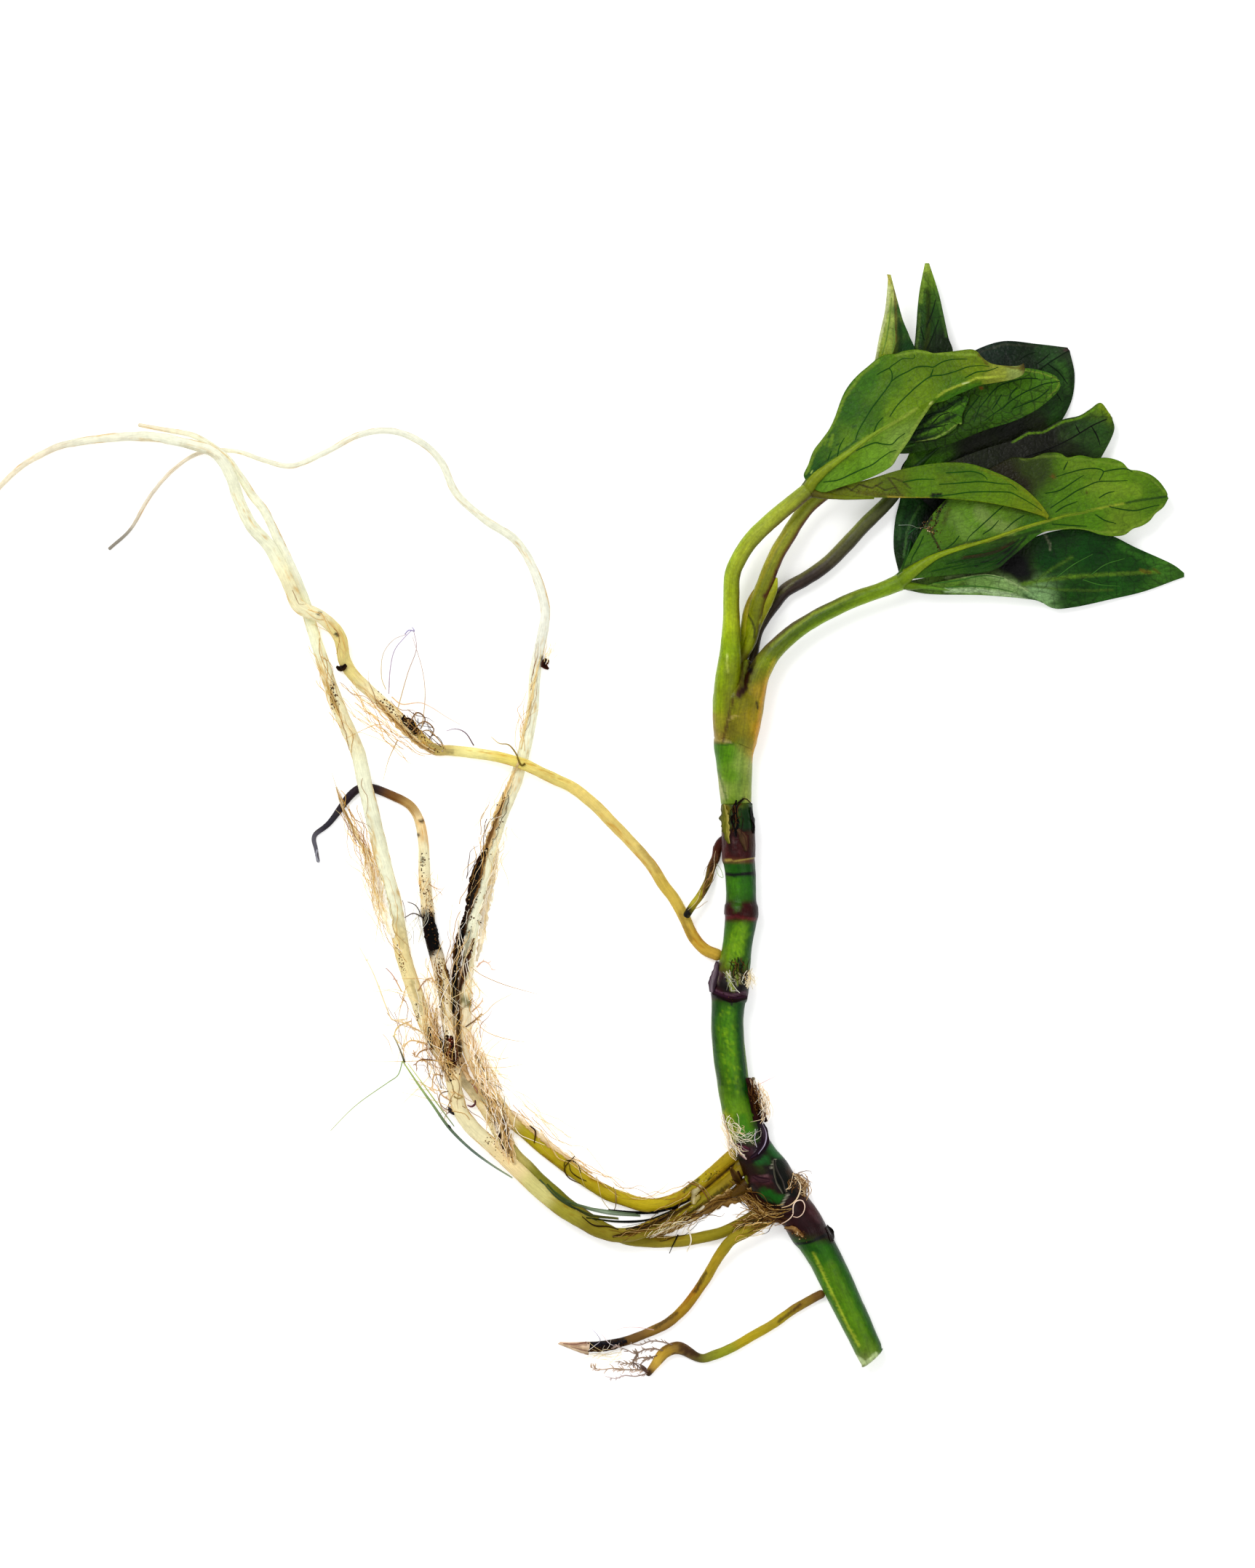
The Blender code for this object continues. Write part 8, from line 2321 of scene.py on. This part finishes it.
def brushed(spine, count, reach, colours):
    """Rows for ROOTLETS: a spine, and the short bent rootlets that leave it on both sides."""
    line = smooth(spine, 4 * count, by=2)[:, :2]
    rows = [(spine, SPINE_GIRTHS, colours, 0.2)]
    for spot in draws.integers(2, 4 * count, count):
        ahead = line[spot] - line[spot - 2]
        angle = np.arctan2(ahead[1], ahead[0]) + draws.choice([-1, 1]) * draws.uniform(0.3, 1.2)
        bend = draws.normal(0, 0.4)
        elbow = line[spot] + reach * draws.uniform(0.2, 0.5) * np.array([np.cos(angle), np.sin(angle)])
        tip = elbow + reach * draws.uniform(0.2, 0.5) * np.array([np.cos(angle + bend), np.sin(angle + bend)])
        rows.append(([line[spot], elbow, tip], SIDE_GIRTHS, colours[1:], draws.uniform(0.1, 0.5)))
    return rows


brush_rows = [row for brush in BRUSHES for row in brushed(*brush)]
print("rootlets:", len(ROOTLETS), "drawn one by one,", len(brush_rows), "in brushes")
under_leaflets = [leaf_pieces[name] for name in ("leaflet_d3", "leaflet_d1", "leaflet_a2")]
loose_tree = tree_of(*root_pieces.values(), rhizome, sheath, root_strips, stem_scraps, *under_leaflets)
loose = Threads()
for line, girths, colours, lift in ROOTLETS + brush_rows:
    loose.lay(resting(line, loose_tree, lift, step=0.5, calm=3), girths, colours)
# The rootlets take the fibres' skin, and so its faint glow of painted light from the table
hand_over(loose.spin("rootlets", fibre_skin, sides=8), "root")

# %% [markdown]
# ## Crumbs of bark and soil
# Brown and black crumbs stick to the rotting places. One small lump is instanced on scattered points, each
# with its own size, turn and tint, by a second Geometry Nodes tree.

# %% The crumb tree
WHOLE_TURN = 6.28  # radians

crumb_tree, given, add = new_tree("crumb_tree", {"Skin": "Material", "Seed": "Int"})
lump = add("GeometryNodeMeshIcoSphere", {"Radius": 1.0, "Subdivisions": 1})
size = add("GeometryNodeInputNamedAttribute", {"Name": "girth"}, data_type="FLOAT")
turn = add("FunctionNodeRandomValue", {0: (0, 0, 0), 1: (WHOLE_TURN,) * 3, "Seed": given["Seed"]},
           data_type="FLOAT_VECTOR")
placed = add("GeometryNodeInstanceOnPoints", {"Points": given["Geometry"], "Instance": lump.outputs["Mesh"],
                                              "Rotation": turn.outputs[0],
                                              "Scale": size.outputs["Attribute"]})
end_tree(add, given, placed.outputs["Instances"])
print("crumb tree:", len(crumb_tree.nodes), "nodes")

# %% Crumbs in their zones
CRUMB_STEPS = 40
CRUMB_ZONES = [  # guide, count, spread in px, largest radius in mm, colours
    ([(523, 955), (550, 984), (580, 1014), (602, 1034)], 220, 16, 0.32, "brown"),
    ([(557, 990), (572, 1006)], 90, 9, 0.4, "dark"),
    ([(456, 940), (461, 975)], 80, 8, 0.3, "brown"),
    ([(580, 1180), (588, 1240), (594, 1262)], 200, 14, 0.26, "brown"),
    ([(590, 1260), (598, 1310)], 120, 20, 0.3, "dark"),
    ([(600, 1320), (608, 1350)], 60, 12, 0.3, "brown"),
    ([(612, 1425), (619, 1478)], 200, 14, 0.36, "brown"),
    ([(640, 1180), (650, 1220), (634, 1290)], 120, 16, 0.3, "dark"),
    ([(546, 1300), (556, 1340)], 60, 8, 0.24, "brown"),
    ([(690, 1100), (664, 1170), (640, 1260), (624, 1360)], 160, 18, 0.3, "brown"),
    ([(667, 1560), (700, 1590)], 60, 12, 0.22, "brown"), ([(604, 1320), (608, 1390)], 110, 12, 0.3, "brown"),
    ([(572, 1380), (576, 1402)], 40, 6, 0.26, "brown"), ([(614, 1424), (626, 1466)], 110, 10, 0.36, "dark"),
    ([(676, 1540), (700, 1592)], 60, 10, 0.22, "brown"),
    ([(1300, 690), (1292, 702), (1284, 716), (1276, 728), (1280, 738), (1290, 756)], 90, 7, 0.24, "dark"),
    ([(1268, 722), (1276, 728), (1284, 732)], 50, 8, 0.3, "brown"),
    ([(1160, 675), (1200, 676), (1236, 680)], 60, 8, 0.14, "dark"),
    ([(1088, 1690), (1106, 1700)], 40, 8, 0.3, "brown"), ([(1094, 1622), (1105, 1642)], 40, 7, 0.26, "brown"),
    ([(1010, 1380), (1000, 1350), (1014, 1330)], 30, 12, 0.2, "dark"),
    ([(940, 1640), (1000, 1600)], 60, 16, 0.22, "brown"), ([(860, 1844), (820, 1852)], 80, 9, 0.24, "dark"),
]
spots, sizes, tints = [], [], []
for guide, count, spread, largest, palette in CRUMB_ZONES:
    shades = [linear(hexed) for hexed in FIBRE_COLOURS[palette]]
    guide = smooth(guide, CRUMB_STEPS, by=2)
    for x, y in guide[draws.integers(0, CRUMB_STEPS + 1, count)] + draws.normal(0, spread / 2.6, (count, 2)):
        height = height_at(loose_tree, x, y)
        if height > 0:
            spots.append(place(x, y, height / MM))
            sizes.append(largest * draws.uniform(0.3, 1.0) ** 1.5 * MM)
            tints.append(shades[draws.integers(len(shades))])
source = bare_lines("crumb_spots", spots, [], sizes, np.array(tints))
crumbs = grow(crumb_tree, source, "bark_crumbs", {"Skin": scale_skin, "Seed": 5})
hand_over(crumbs, "root")
